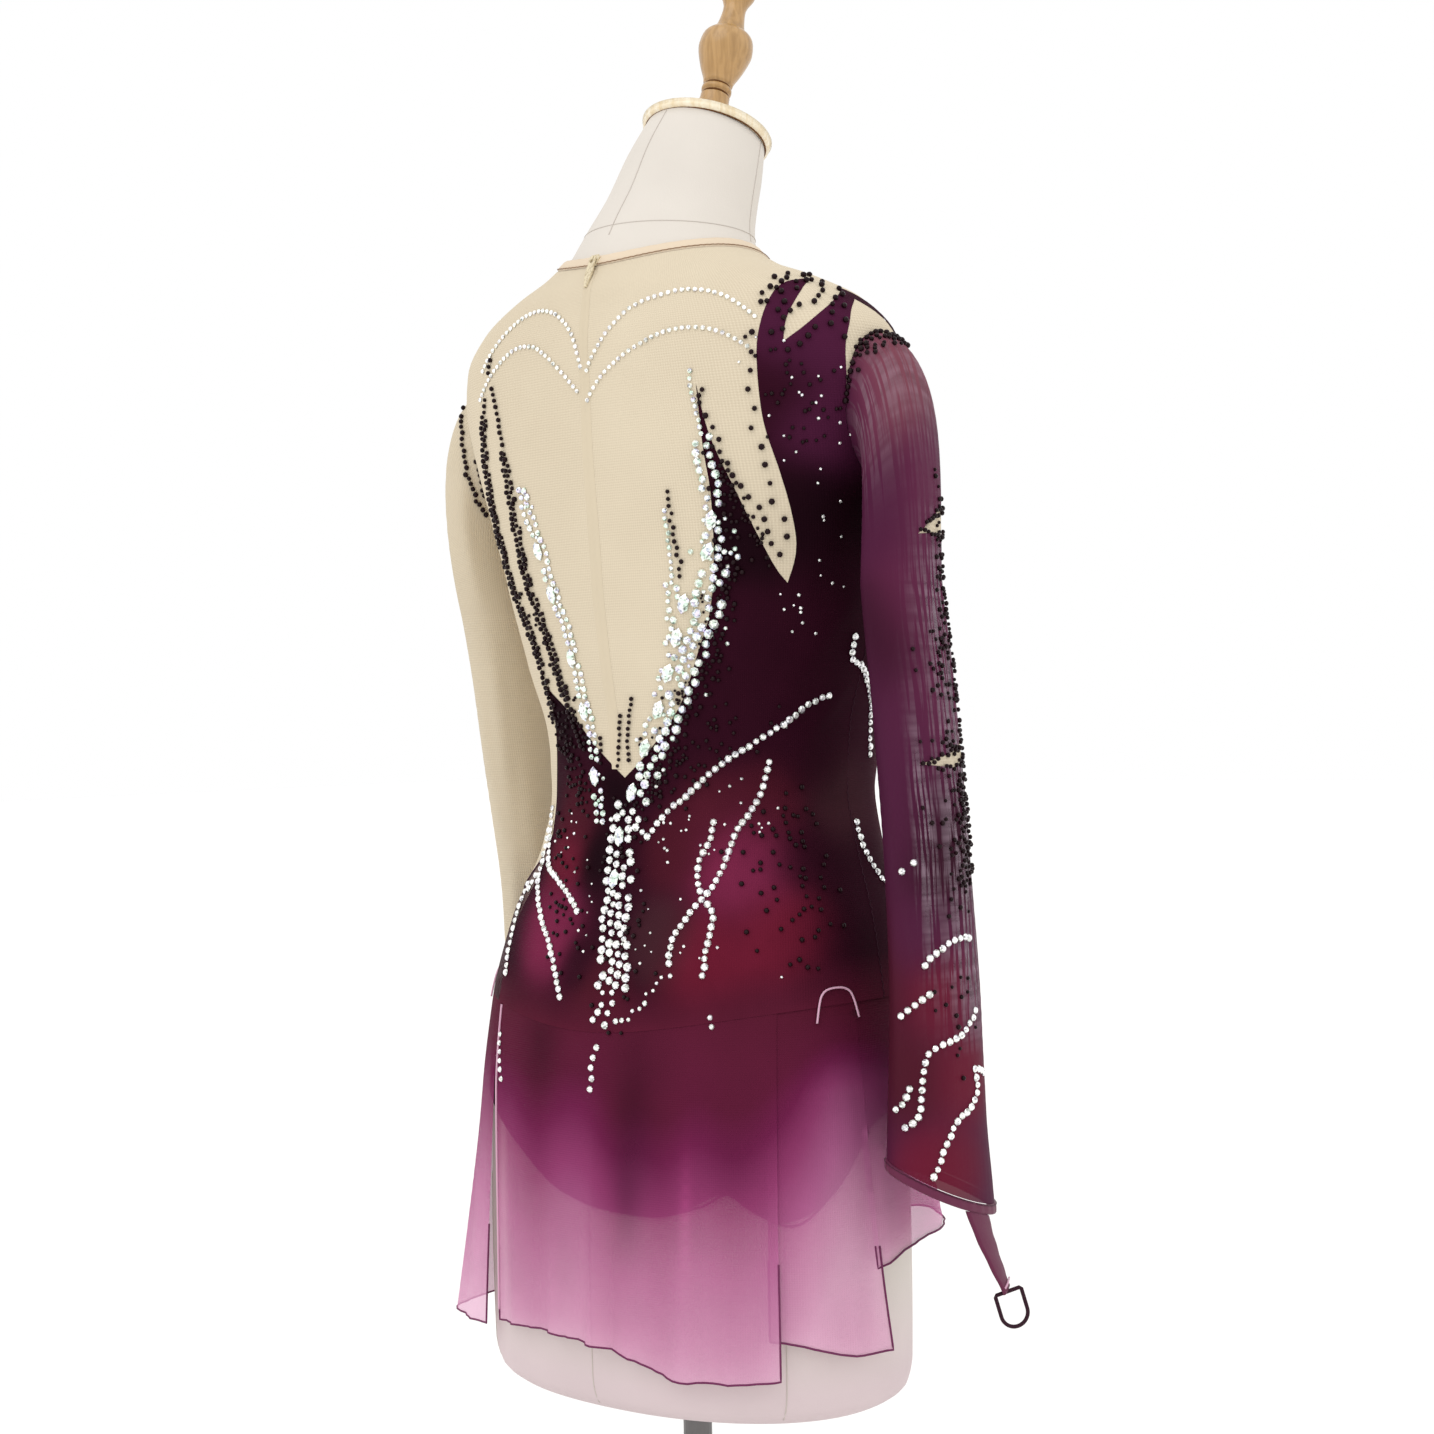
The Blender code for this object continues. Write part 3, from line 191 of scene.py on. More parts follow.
def crease_lift(s, t, creases, flat):
    """How far the cloth stands out over soft ridges, each with two ends, a width and a height."""
    total = np.zeros(np.broadcast(s, t).shape)
    for first, second, width, rise in creases:
        low = flat(*first)
        high = flat(*second)
        run = (high[0] - low[0], high[1] - low[1])
        size = run[0] ** 2 + run[1] ** 2
        f = np.clip(((s - low[0]) * run[0] + (t - low[1]) * run[1]) / size, 0.0, 1.0)
        away = (s - low[0] - f * run[0]) ** 2 + (t - low[1] - f * run[1]) ** 2
        total += rise * np.exp(-away / width**2) * np.sin(np.pi * np.clip(f, 0.02, 0.98)) ** 0.7
    return total


# Outlines on flat patterns


def smooth_line(points, step):
    """A smooth line through a few points, cut into short pieces."""
    ends = [points[0]] + list(points) + [points[-1]]
    line = [points[0]]
    for before, low, high, after in zip(ends, ends[1:], ends[2:], ends[3:]):
        pieces = max(1, math.ceil(math.dist(low, high) / step - 0.25))
        for k in range(1, pieces + 1):
            f = k / pieces
            line.append(tuple(
                between(
                    low[axis], (high[axis] - before[axis]) / 2, high[axis], (after[axis] - low[axis]) / 2, f)
                for axis in (0, 1)))
    return line


def joined(*lines):
    """One closed outline from lines that meet end to end."""
    outline = []
    for line in lines:
        for point in line:
            if not outline or math.dist(point, outline[-1]) > 0.0002:
                outline.append(point)
    if math.dist(outline[0], outline[-1]) < 0.0002:
        outline.pop()
    return outline


def inside(points, outline):
    """Which flat points lie inside an outline."""
    result = np.zeros(len(points), bool)
    for low, high in zip(outline, outline[1:] + outline[:1]):
        if low[1] == high[1]:
            continue
        spans = (low[1] > points[:, 1]) != (high[1] > points[:, 1])
        cross = low[0] + (points[:, 1] - low[1]) * (high[0] - low[0]) / (high[1] - low[1])
        result ^= spans & (points[:, 0] < cross)
    return result


def edge_distance(points, outline):
    """Distance from flat points to an outline."""
    best = np.full(len(points), 1.0)
    for low, high in zip(outline, outline[1:] + outline[:1]):
        run = np.subtract(high, low)
        f = np.clip((points - low) @ run / (run @ run), 0.0, 1.0)
        best = np.minimum(best, np.linalg.norm(points - low - f[:, None] * run, axis=1))
    return best


def flat_triangles(outline, holes, step):
    """Corner points and triangles that fill an outline evenly."""
    loops = [outline] + list(holes)
    edges = []
    first = 0
    for loop in loops:
        edges += [(first + k, first + (k + 1) % len(loop)) for k in range(len(loop))]
        first += len(loop)
    low = np.min(outline, axis=0)
    high = np.max(outline, axis=0)
    row_step = step * math.sqrt(3) / 2
    width, height = high - low
    rows, columns = np.mgrid[0:int(height / row_step) + 1, 0:int(width / step) + 2]
    grid = np.stack([low[0] + (columns + 0.5 * (rows % 2)) * step, low[1] + (rows + 0.5) * row_step], axis=-1)
    grid = grid.reshape(-1, 2)
    grid = grid[inside(grid, outline)]
    for hole in holes:
        grid = grid[~inside(grid, hole)]
    for loop in loops:
        grid = grid[edge_distance(grid, loop) > 0.5 * step]
    points = [Vector(point) for loop in loops for point in loop] + [Vector(point) for point in grid]
    filled = delaunay_2d_cdt(points, edges, [], 0, 1e-7, False)
    corners = np.array([(corner.x, corner.y) for corner in filled[0]])
    faces = np.array([face for face in filled[2] if len(face) == 3])
    middles = corners[faces].mean(axis=1)
    keep = inside(middles, outline)
    for hole in holes:
        keep &= ~inside(middles, hole)
    return corners, faces[keep]


# Meshes


def mesh_object(name, points, faces, finish, flat=None, smooth=True):
    """A mesh that rides on a body, with its flat pattern in metres as its map."""
    mesh = bpy.data.meshes.new(name)
    mesh.from_pydata([tuple(point) for point in points], [], [tuple(int(i) for i in face) for face in faces])
    if flat is not None:
        layer = mesh.uv_layers.new(name="pattern")
        corners = np.zeros(len(mesh.loops), int)
        mesh.loops.foreach_get("vertex_index", corners)
        layer.data.foreach_set("uv", np.asarray(flat, np.float32)[corners].ravel())
    mesh.polygons.foreach_set("use_smooth", [smooth] * len(mesh.polygons))
    mesh.materials.append(finish)
    made = bpy.data.objects.new(name, mesh)
    bpy.context.collection.objects.link(made)
    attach(made, BODY_NAME)
    "slot" in finish
    return made


def weld(made, reach):
    """Joins points that lie on each other, as at the edge where a tube is closed."""
    work = bmesh.new()
    work.from_mesh(made.data)
    bmesh.ops.remove_doubles(work, verts=work.verts, dist=reach)
    bmesh.ops.recalc_face_normals(work, faces=work.faces)
    work.to_mesh(made.data)
    work.free()


def cloth(name, outline, place, step, finish, holes=()):
    """A thin shell of cloth: a flat pattern, filled and laid out in space."""
    corners, faces = flat_triangles(outline, holes, step)
    made = mesh_object(name, place(corners[:, 0], corners[:, 1]), faces, finish, flat=corners)
    weld(made, 0.00002)
    return made


def grid_faces(rows, columns, closed_columns=False, closed_rows=False):
    faces = []
    for i in range(rows if closed_rows else rows - 1):
        for j in range(columns if closed_columns else columns - 1):
            low, high = i * columns, (i + 1) % rows * columns
            after = (j + 1) % columns
            faces.append((low + j, low + after, high + after, high + j))
    return faces


def rings_mesh(name, rings, finish, closed=True, caps=False):
    """A smooth skin through rings of equally many points."""
    rings = np.asarray(rings, float)
    count = rings.shape[1]
    faces = grid_faces(len(rings), count, closed_columns=closed)
    if caps:
        end = len(rings) * count
        faces = faces + [tuple(range(count))[::-1], tuple(range(end - count, end))]
    return mesh_object(name, rings.reshape(-1, 3), faces, finish)


def tube_points(path, radius, sides, closed):
    """Rings of a round cord along a path."""
    path = np.asarray(path, float)
    if closed:
        along = unit(np.roll(path, -1, axis=0) - np.roll(path, 1, axis=0))
    else:
        along = unit(np.gradient(path, axis=0))
    spoke = np.cross(along[0], [0.0, 0.0, 1.0])
    if np.linalg.norm(spoke) < 0.1:
        spoke = np.cross(along[0], [1.0, 0.0, 0.0])
    spokes = []
    for direction in along:
        spoke = unit(spoke - direction * np.dot(spoke, direction))
        spokes.append(spoke)
    spokes = np.array(spokes)
    others = np.cross(along, spokes)
    turns = 2 * np.pi * np.arange(sides) / sides
    ring = np.cos(turns)[:, None] * spokes[:, None] + np.sin(turns)[:, None] * others[:, None]
    return path[:, None] + ring * np.asarray(radius).reshape(-1, 1, 1)


def thread(name, paths, radius, finish, sides=6, closed=False):
    """Round cords along one or more paths, as one piece."""
    points = []
    faces = []
    for path in paths:
        rings = tube_points(path, radius, sides, closed)
        first = len(points)
        points.extend(rings.reshape(-1, 3))
        for face in grid_faces(len(rings), sides, closed_columns=True, closed_rows=closed):
            faces.append(tuple(first + i for i in face))
        if not closed:
            faces.append(tuple(first + i for i in range(sides))[::-1])
            faces.append(tuple(first + (len(rings) - 1) * sides + i for i in range(sides)))
    return mesh_object(name, points, faces, finish)


# Settings that a user would change

COLOUR = {"subtype": "COLOR", "min": 0.0, "max": 1.0}


class ClothSettings(bpy.types.PropertyGroup):
    step: FloatProperty(
        name="Cloth spacing", description="Distance between the points of the cloth's mesh",
        default=0.0055, min=0.002, max=0.02, unit="LENGTH")
    weave: FloatProperty(
        name="Mesh pitch",
        description="Distance between the holes of the stretch mesh, coarser than the real 0.6 mm",
        default=0.0018, min=0.0005, max=0.01, unit="LENGTH")
    nude: FloatVectorProperty(
        name="Nude mesh", description="Skin-coloured stretch mesh", default=linear("#dbceb6"), **COLOUR)
    nude_shade: FloatVectorProperty(
        name="Nude mesh in folds", description="The same mesh where it lies double or loose",
        default=linear("#cdbfa7"), **COLOUR)
    binding: FloatVectorProperty(
        name="Neck binding", description="Folded band round the neck", default=linear("#dccab2"), **COLOUR)
    plum: FloatVectorProperty(
        name="Plum", description="Deepest dye of the bodice", default=linear("#2b0818"), **COLOUR)
    hem: FloatVectorProperty(
        name="Hem", description="Rolled hem of the skirt", default=linear("#6b2c52"), **COLOUR)
    skirt_cover: FloatProperty(
        name="Chiffon cover", description="How much the chiffon hides what is under it", default=0.74,
        min=0.0, max=1.0, subtype="FACTOR")


class StoneSettings(bpy.types.PropertyGroup):
    crystal: FloatProperty(
        name="Crystal", description="Width of a common crystal", default=0.005, min=0.001, max=0.01,
        unit="LENGTH")
    bead: FloatProperty(
        name="Bead", description="Width of a black bead", default=0.0039, min=0.001, max=0.01, unit="LENGTH")
    glitter: FloatVectorProperty(
        name="Crystal colour", description="Foiled glass", default=linear("#f5f3f0"), **COLOUR)
    jet: FloatVectorProperty(
        name="Bead colour", description="Jet black glass with a red cast", default=linear("#18050a"),
        **COLOUR)


class FormSettings(bpy.types.PropertyGroup):
    jersey: FloatVectorProperty(
        name="Jersey", description="Knitted cover of the form", default=linear("#d9d2c9"), **COLOUR)
    beech: FloatVectorProperty(
        name="Beech", description="Light parts of the wood's grain", default=linear("#b8905a"), **COLOUR)
    beech_dark: FloatVectorProperty(
        name="Beech grain", description="Dark parts of the wood's grain", default=linear("#9f7945"), **COLOUR)
    steel: FloatVectorProperty(
        name="Steel", description="Grey coat of the pole and base", default=linear("#6f6c6c"), **COLOUR)


class StageSettings(bpy.types.PropertyGroup):
    azimuth: FloatProperty(
        name="Camera turn", description="Turn of the camera from the figure's back towards its right side",
        default=math.radians(40.0), subtype="ANGLE")
    distance: FloatProperty(
        name="Camera distance", description="From the form's axis", default=1.7, unit="LENGTH")
    height: FloatProperty(
        name="Camera height", description="Above the floor; it looks level", default=1.06, unit="LENGTH")
    lens: FloatProperty(
        name="Lens", description="Focal length in mm on a 36 mm sensor", default=61.3, min=20.0, max=200.0)
    roll: FloatProperty(
        name="Camera roll", description="Lean of the picture", default=math.radians(-1.2), subtype="ANGLE")
    floor: FloatVectorProperty(name="Floor", description="Pale floor", default=linear("#f6f5f3"), **COLOUR)
    light: FloatProperty(
        name="Room light", description="Strength of the light from all round", default=1.0, min=0.0, max=5.0)


GROUPS = {
    "dress_cloth": ClothSettings,
    "dress_stones": StoneSettings,
    "dress_form": FormSettings,
    "dress_stage": StageSettings,
}


# Finishes


def colour_from(source):
    """A colour from its hex code, or from the settings as GROUP.NAME."""
    if source.startswith("#"):
        return linear(source)
    group, name = source.split(".")
    return tuple(getattr(getattr(bpy.context.scene, group), name))


def opaque(source):
    return (*colour_from(source), 1.0)


def set_inputs(node, inputs):
    """Sets a node's inputs, or links those whose value is another node's output."""
    for socket, value in dict(inputs).items():
        if isinstance(value, bpy.types.NodeSocket):
            node.id_data.links.new(value, node.inputs[socket])
        else:
            node.inputs[socket].default_value = value


def add_node(tree, kind, inputs=(), output=0, **settings):
    """Adds a node with its properties and inputs, and gives one of its outputs."""
    node = tree.nodes.new("ShaderNode" + kind)
    for name, value in settings.items():
        setattr(node, name, value)
    set_inputs(node, inputs)
    return node.outputs[output]


def new_finish(name, roughness, metallic=0.0, **sockets):
    """A material with its shader's plain numbers set on the shader's own sockets."""
    made = bpy.data.materials.new(name)
    made.use_nodes = True
    shader = made.node_tree.nodes["Principled BSDF"]
    set_inputs(shader, {"Roughness": roughness, "Metallic": metallic})
    set_inputs(shader, {socket.replace("_", " "): value for socket, value in sockets.items()})
    return made, made.node_tree, shader


def mesh_relief(tree, shader, pitch, depth):
    """Relief of a fine mesh or knit: rows and columns of threads along the pattern's own map."""
    place = add_node(tree, "UVMap", uv_map="pattern")
    # a band repeats every 0.314 units of the texture at a scale of 1
    waves = {"Vector": place, "Scale": 0.314 / pitch, "Distortion": 0.6, "Detail": 1.0}
    rows, columns = (add_node(tree, "TexWave", waves, "Fac", bands_direction=way) for way in "XY")
    threads = add_node(tree, "Math", {0: rows, 1: columns}, operation="ADD")
    bump = add_node(tree, "Bump", {"Height": threads, "Strength": 0.35, "Distance": depth})
    set_inputs(shader, {"Normal": bump})
    return threads


def cloudy(tree, size, detail=3.0):
    """Soft clouds of a given size in metres, in the object's own space."""
    place = add_node(tree, "TexCoord", output="Object")
    return add_node(tree, "TexNoise", {"Vector": place, "Scale": 1.0 / size, "Detail": detail})


def nude_power_mesh(name, cover):
    """Knitted nylon power mesh: matt, even and soft, a little deeper in colour where it is loose."""
    made, tree, shader = new_finish(name, 0.8, Specular_IOR_Level=0.15, Alpha=cover)
    threads = mesh_relief(tree, shader, bpy.context.scene.dress_cloth.weave, 0.0003)
    shade = add_node(tree, "Math", {0: cloudy(tree, 0.09), 1: threads, 2: 0.04}, operation="MULTIPLY_ADD")
    tones = {0: shade, 6: opaque("dress_cloth.nude"), 7: opaque("dress_cloth.nude_shade")}
    set_inputs(shader, {"Base Color": add_node(tree, "Mix", tones, 2, data_type="RGBA")})
    return made


def dyed_cloth(name, roughness, cover, cloud):
    """Cloth sprayed with dye by hand: the dye comes from the cloth's own map and is a little cloudy."""
    settings = bpy.context.scene.dress_cloth
    made, tree, shader = new_finish(name, roughness, Specular_IOR_Level=0.04)
    mesh_relief(tree, shader, settings.weave * 0.8, 0.00025)
    dye = add_node(tree, "VertexColor", layer_name="dye")
    shows = {0: dye.node.outputs["Alpha"], 1: settings.skirt_cover if cover is None else cover}
    bright = add_node(
        tree, "MapRange", {"Value": cloudy(tree, 0.035, 4.0), "To Min": 1.0 - cloud, "To Max": 1.0 + cloud})
    set_inputs(shader, {
        "Alpha": add_node(tree, "Math", shows, operation="MULTIPLY"),
        "Base Color": add_node(tree, "VectorMath", {0: dye, "Scale": bright}, operation="SCALE")})
    return made


def sleeve_mesh():
    """Sheer stretch mesh dyed plum in lengthwise streaks, thin enough to show grey against the light."""
    made, tree, shader = new_finish("plum_sheer_mesh", 0.6, Specular_IOR_Level=0.06)
    place = add_node(tree, "UVMap", uv_map="pattern")
    # streaks 3 mm wide and about 70 mm long, where the dye ran along the threads
    long_way = add_node(tree, "VectorMath", {0: place, 1: (330.0, 15.0, 1.0)}, operation="MULTIPLY")
    streak = add_node(tree, "TexNoise", {"Vector": long_way, "Scale": 1.0, "Detail": 3.0})
    # rungs 6 mm apart, the pulled threads between the streaks
    across = add_node(tree, "VectorMath", {0: place, 1: (14.0, 160.0, 1.0)}, operation="MULTIPLY")
    rungs = add_node(tree, "TexNoise", {"Vector": across, "Scale": 1.0, "Detail": 2.0})
    thin = add_node(tree, "MapRange", {"Value": streak, "From Min": 0.46, "From Max": 0.54})
    dye = add_node(tree, "VertexColor", layer_name="dye")
    # the dye's fourth number also carries a painted highlight, drawn pale and see-through
    open_place = add_node(tree, "Math", {0: thin, 1: dye.node.outputs["Alpha"]}, operation="MULTIPLY")
    rung_light = add_node(
        tree, "MapRange", {"Value": rungs, "From Min": 0.35, "From Max": 0.65, "To Min": 0.45, "To Max": 1.2})
    grey = add_node(tree, "VectorMath", {0: linear("#b298a8"), "Scale": rung_light}, operation="SCALE")
    tones = {0: open_place, 6: dye, 7: grey}
    set_inputs(shader, {
        "Base Color": add_node(tree, "Mix", tones, 2, data_type="RGBA"),
        "Alpha": add_node(tree, "MapRange", {"Value": open_place, "To Min": 0.97, "To Max": 0.3}),
        "Normal": add_node(tree, "Bump", {"Height": streak, "Strength": 0.3, "Distance": 0.0006})})
    return made


def plain_textile(name, colour, roughness, size, depth, sheen=0.05, painted_bounce_colour=None):
    """Fine knit or cord of one colour, with a short soft relief; a second colour at its foot is painted light,
    the pink thrown onto it from the skirt.
    """
    made, tree, shader = new_finish(
        name, roughness, Sheen_Weight=sheen, Sheen_Roughness=0.5, Specular_IOR_Level=0.15)
    bright = add_node(tree, "MapRange", {"Value": cloudy(tree, 0.06), "To Min": 0.93, "To Max": 1.05})
    height = add_node(tree, "SeparateXYZ", {"Vector": add_node(tree, "TexCoord", output="Object")}, "Z")
    # where a second colour is given it takes over below 0.7 m: painted light thrown from the pink skirt
    lower = add_node(tree, "MapRange", {"Value": height, "From Min": 0.7, "From Max": 0.62})
    tones = {0: lower, 6: opaque(colour), 7: opaque(painted_bounce_colour or colour)}
    ground = add_node(tree, "Mix", tones, 2, data_type="RGBA")
    loops = cloudy(tree, size, 2.0)
    set_inputs(shader, {
        "Base Color": add_node(tree, "VectorMath", {0: ground, "Scale": bright}, operation="SCALE"),
        "Normal": add_node(tree, "Bump", {"Height": loops, "Strength": 0.4, "Distance": depth})})
    return made


def turned_beech(name, light, dark):
    """Turned beech under clear lacquer: fine flecked grain along the axis, glossy edges."""
    made, tree, shader = new_finish(name, 0.35, Coat_Weight=0.35, Coat_Roughness=0.15)
    place = add_node(tree, "TexCoord", output="Object")
    # flecks 4 mm wide and eight times as long
    drawn = add_node(tree, "VectorMath", {0: place, 1: (260.0, 260.0, 31.2)}, operation="MULTIPLY")
    grain = add_node(tree, "TexNoise", {"Vector": drawn, "Scale": 1.0, "Detail": 5.0, "Distortion": 0.4})
    share = add_node(tree, "MapRange", {"Value": grain, "From Min": 0.38, "From Max": 0.68})
    tones = {0: share, 6: opaque(light), 7: opaque(dark)}
    set_inputs(shader, {
        "Base Color": add_node(tree, "Mix", tones, 2, data_type="RGBA"),
        "Normal": add_node(tree, "Bump", {"Height": grain, "Strength": 0.15, "Distance": 0.0002})})
    return made


def coated_steel(name, metallic, roughness):
    """Steel tube and plate under a thin satin coat, faintly uneven as sprayed paint is."""
    made, tree, shader = new_finish(name, roughness, metallic)
    tone = add_node(tree, "MapRange", {"Value": cloudy(tree, 0.01, 4.0), "To Min": 0.85, "To Max": 1.1})
    coat_colour = {0: colour_from("dress_form.steel"), "Scale": tone}
    set_inputs(
        shader,
        {
            "Base Color": add_node(tree, "VectorMath", coat_colour, operation="SCALE"),
            "Normal": add_node(
                tree, "Bump", {"Height": cloudy(tree, 0.0015), "Strength": 0.1, "Distance": 0.0002})})
    return made


def foiled_crystal(name, tint_share):
    """Cut glass with a mirror foil at its back, tinted where coated; the room that each facet throws back is
    painted into its colour as a bright or dark painted reflection.
    """
    made, tree, shader = new_finish(name, 0.12, 0.6, Coat_Weight=0.3, Coat_Roughness=0.03)
    place = add_node(tree, "TexCoord", output="Object")
    # patches about 5 mm wide, so that each stone has its own tint
    spot = add_node(tree, "TexNoise", {"Vector": place, "Scale": 210.0, "Detail": 1.0})
    # cells about 1.3 mm wide stand for facets, each painted dark or bright: a painted reflection of the room
    cut = add_node(tree, "TexVoronoi", {"Vector": place, "Scale": 760.0}, "Color")
    painted_facet_glint = add_node(
        tree, "MapRange", {"Value": cut, "From Min": 0.1, "From Max": 0.5, "To Min": 0.42, "To Max": 1.4})
    tints = add_node(tree, "ValToRGB", {"Fac": spot})
    stops = tints.node.color_ramp.elements
    stops[0].position, stops[0].color = 0.36, opaque("#a9cfb8")
    stops[1].position, stops[1].color = 0.66, opaque("#bfb2d8")
    for position, code in ((0.45, "#d7ecd9"), (0.52, "#f4f1e6"), (0.59, "#bcd4f2")):
        stops.new(position).color = opaque(code)
    tones = {0: tint_share, 6: opaque("dress_stones.glitter"), 7: tints}
    colour = add_node(tree, "Mix", tones, 2, data_type="RGBA")
    set_inputs(
        shader, {"Base Color": add_node(tree, "VectorMath", {0: colour, "Scale": painted_facet_glint}, operation="SCALE")})
    return made


def jet_glass():
    """Pressed jet glass: black with a red cast, small sharp highlights."""
    made, tree, shader = new_finish("jet_glass", 0.3, Specular_IOR_Level=0.15)
    tone = add_node(tree, "MapRange", {"Value": cloudy(tree, 0.006), "To Min": 0.5, "To Max": 1.8})
    glass = {0: colour_from("dress_stones.jet"), "Scale": tone}
    set_inputs(shader, {"Base Color": add_node(tree, "VectorMath", glass, operation="SCALE")})
    return made


def cream_enamel():
    """Die-cast zinc under cream enamel, rubbed a little browner in its hollows."""
    made, tree, shader = new_finish("cream_enamelled_zinc", 0.3, Coat_Weight=0.4, Coat_Roughness=0.1)
    rubbed = add_node(tree, "MapRange", {"Value": cloudy(tree, 0.002), "From Min": 0.45, "From Max": 0.75})
    tones = {0: rubbed, 6: opaque("#d9cbab"), 7: opaque("#a08c68")}
    set_inputs(
        shader,
        {
            "Base Color": add_node(tree, "Mix", tones, 2, data_type="RGBA"),
            "Normal": add_node(
                tree, "Bump", {"Height": cloudy(tree, 0.0008), "Strength": 0.1, "Distance": 0.0001})})
    return made


# The dyes of the dress, from the deepest to the palest
DYES = {
    "black plum": "#14030a", "plum": "#2b0818", "umber": "#3e1f27", "wine": "#481422", "purple": "#4a1a37",
    "claret": "#66172c", "berry": "#742343", "rose": "#5c2341", "mauve": "#7d4552", "smoke": "#8a746e",
}
# Each finish: the record's material slot, the maker and what the maker is told
FINISHES = {
    "nude": ("nude_mesh", nude_power_mesh, "nude_power_mesh", 1.0),
    "nude_loose": ("nude_mesh", nude_power_mesh, "nude_power_mesh_loose", 0.93),
    "nude_tape": ("nude_mesh", plain_textile, "nude_zip_tape", "#d1c3aa", 0.8, 0.0009, 0.0001),
    "binding": ("nude_mesh", plain_textile, "nude_binding_knit", "dress_cloth.binding", 0.75, 0.0012, 0.0002),
    "bodice": ("plum_cloth", dyed_cloth, "plum_stretch_knit", 0.75, 1.0, 0.22),
    "plum_binding": ("plum_cloth", plain_textile, "plum_bias_satin", "#622642", 0.5, 0.001, 0.0002),
    "sleeve": ("plum_mesh", sleeve_mesh),
    "hip": ("grey_mesh", dyed_cloth, "grey_sheer_mesh", 0.6, 0.86, 0.15),
    "chiffon": ("chiffon", dyed_cloth, "ombre_chiffon", 0.7, None, 0.1),
    "hem": ("chiffon", plain_textile, "rolled_chiffon_hem", "dress_cloth.hem", 0.65, 0.0009, 0.0001),
    "stitch": (None, plain_textile, "brown_sewing_thread", "#8d6a4e", 0.6, 0.0008, 0.0001),
    "nude_stitch": (None, plain_textile, "nude_sewing_thread", "#c0aa86", 0.7, 0.0008, 0.0001),
    "plum_thread": (None, plain_textile, "plum_sewing_thread", "#3a1026", 0.6, 0.0008, 0.0001),
    "pink_ribbon": (None, plain_textile, "pink_satin_ribbon", "#d3a3ba", 0.4, 0.001, 0.0001, 0.4),
    "elastic": ("elastic", plain_textile, "covered_elastic_cord", "#2d0f1e", 0.6, 0.0009, 0.0002),
    # the jersey's pinker colour low down is painted light thrown from the pink skirt
    "jersey": (
        "jersey", plain_textile, "cotton_jersey", "dress_form.jersey", 0.85, 0.0011, 0.0002, 0.05, "#d0bfc1"),
    "jersey_seam": ("jersey", plain_textile, "jersey_seam", "#c4bcb3", 0.85, 0.0009, 0.0002),
    "beech": ("beech", turned_beech, "turned_beech", "dress_form.beech", "dress_form.beech_dark"),
    "pale_beech": ("beech", turned_beech, "turned_pale_beech", "#f2e7cf", "#e2cda6"),
    # dark rings in the finial's grooves and at the cap's foot: painted shade
    "burnt": ("beech", plain_textile, "burnt_beech_line", "#6a4423", 0.5, 0.001, 0.0001, 0.0),
    "pole": ("steel", coated_steel, "satin_coated_steel_tube", 0.9, 0.38),
    "base": ("steel", coated_steel, "powder_coated_steel_plate", 0.3, 0.5),
    "enamel": ("cream_metal", cream_enamel),
    "crystal": ("crystal", foiled_crystal, "foiled_crystal", 0.25),
    "aurora": ("crystal", foiled_crystal, "coated_crystal", 0.65),
    "jet": (None, jet_glass),
}
MADE_FINISHES = {}


def finish(name):
    """A finish, made when it is first asked for."""
    if name not in MADE_FINISHES:
        slot, maker, *told = FINISHES[name]
        MADE_FINISHES[name] = maker(*told)
        if slot:
            MADE_FINISHES[name]["slot"] = slot
    return MADE_FINISHES[name]


def coat(node, finish_name):
    """Gives one of the part's own pieces its finish."""
    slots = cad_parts[node].data.materials
    slots.clear()
    slots.append(finish(finish_name))


def paint(made, colour_at):
    """Sets a cloth's dye from places on its flat pattern; a fourth number says how thin the cloth is there,
    and on the right sleeve also where a highlight is painted.
    """
    mesh = made.data
    places = np.zeros(2 * len(mesh.loops), np.float32)
    mesh.uv_layers["pattern"].data.foreach_get("uv", places)
    places = places.reshape(-1, 2).astype(float)
    colours = colour_at(places[:, 0], places[:, 1])
    if colours.shape[1] == 3:
        colours = np.concatenate([colours, np.ones((len(colours), 1))], axis=1)
    layer = mesh.color_attributes.new("dye", "FLOAT_COLOR", "CORNER")
    layer.data.foreach_set("color", colours.astype(np.float32).ravel())


def sprayed(turn, height, ground, sprays):
    """Dye over a ground colour: each spray has a place, a reach in metres and one of the dyes."""
    total = np.tile(np.array(ground, float), (len(turn), 1)) * 0.12
    weight = np.full((len(turn), 1), 0.12)
    for middle, level, reach, dye in sprays:
        away = (np.radians(turn - middle) * MEAN_RADIUS) ** 2 + (height - level) ** 2
        share = np.exp(-away / reach**2)[:, None]
        total = total + share * np.array(linear(DYES[dye]))
        weight = weight + share
    return total / weight


# The bodice's seams, as (turn, height) points on the body

SHOULDER_TOP = 1.307
UNDERARM = 1.207
ARMHOLE_HALF_TURN = 12.5
STRAP_MEETS_ARMHOLE = 75.0
SPIKE_TIP = (45.0, 1.275)
HORN_TIP = (84.0, 1.342)
NOTCH = (67.0, 1.2986)
TONGUE = (62.0, 1.147)
V_BOTTOM = (4.5, 1.02)
LEFT_TIP = (-36.0, 1.083)
HIP_CORNER = (-41.0, 0.977)
RIDGE_STRAP_IN = (90.0, 1.336)
RIDGE_STRAP_OUT = (90.0, 1.328)
RIGHT_SIDE = 90.0
LEFT_SIDE = -90.0
NUDE_HEM_END = (LEFT_SIDE, 0.925)
WINE_END = (-50.0, 0.872)
FRONT_CORNER = (262.0, 0.922)
PLUM_LIFT = 0.0003          # the plum panels lie on the nude ones at their seams
STITCH_LIFT = 0.0002

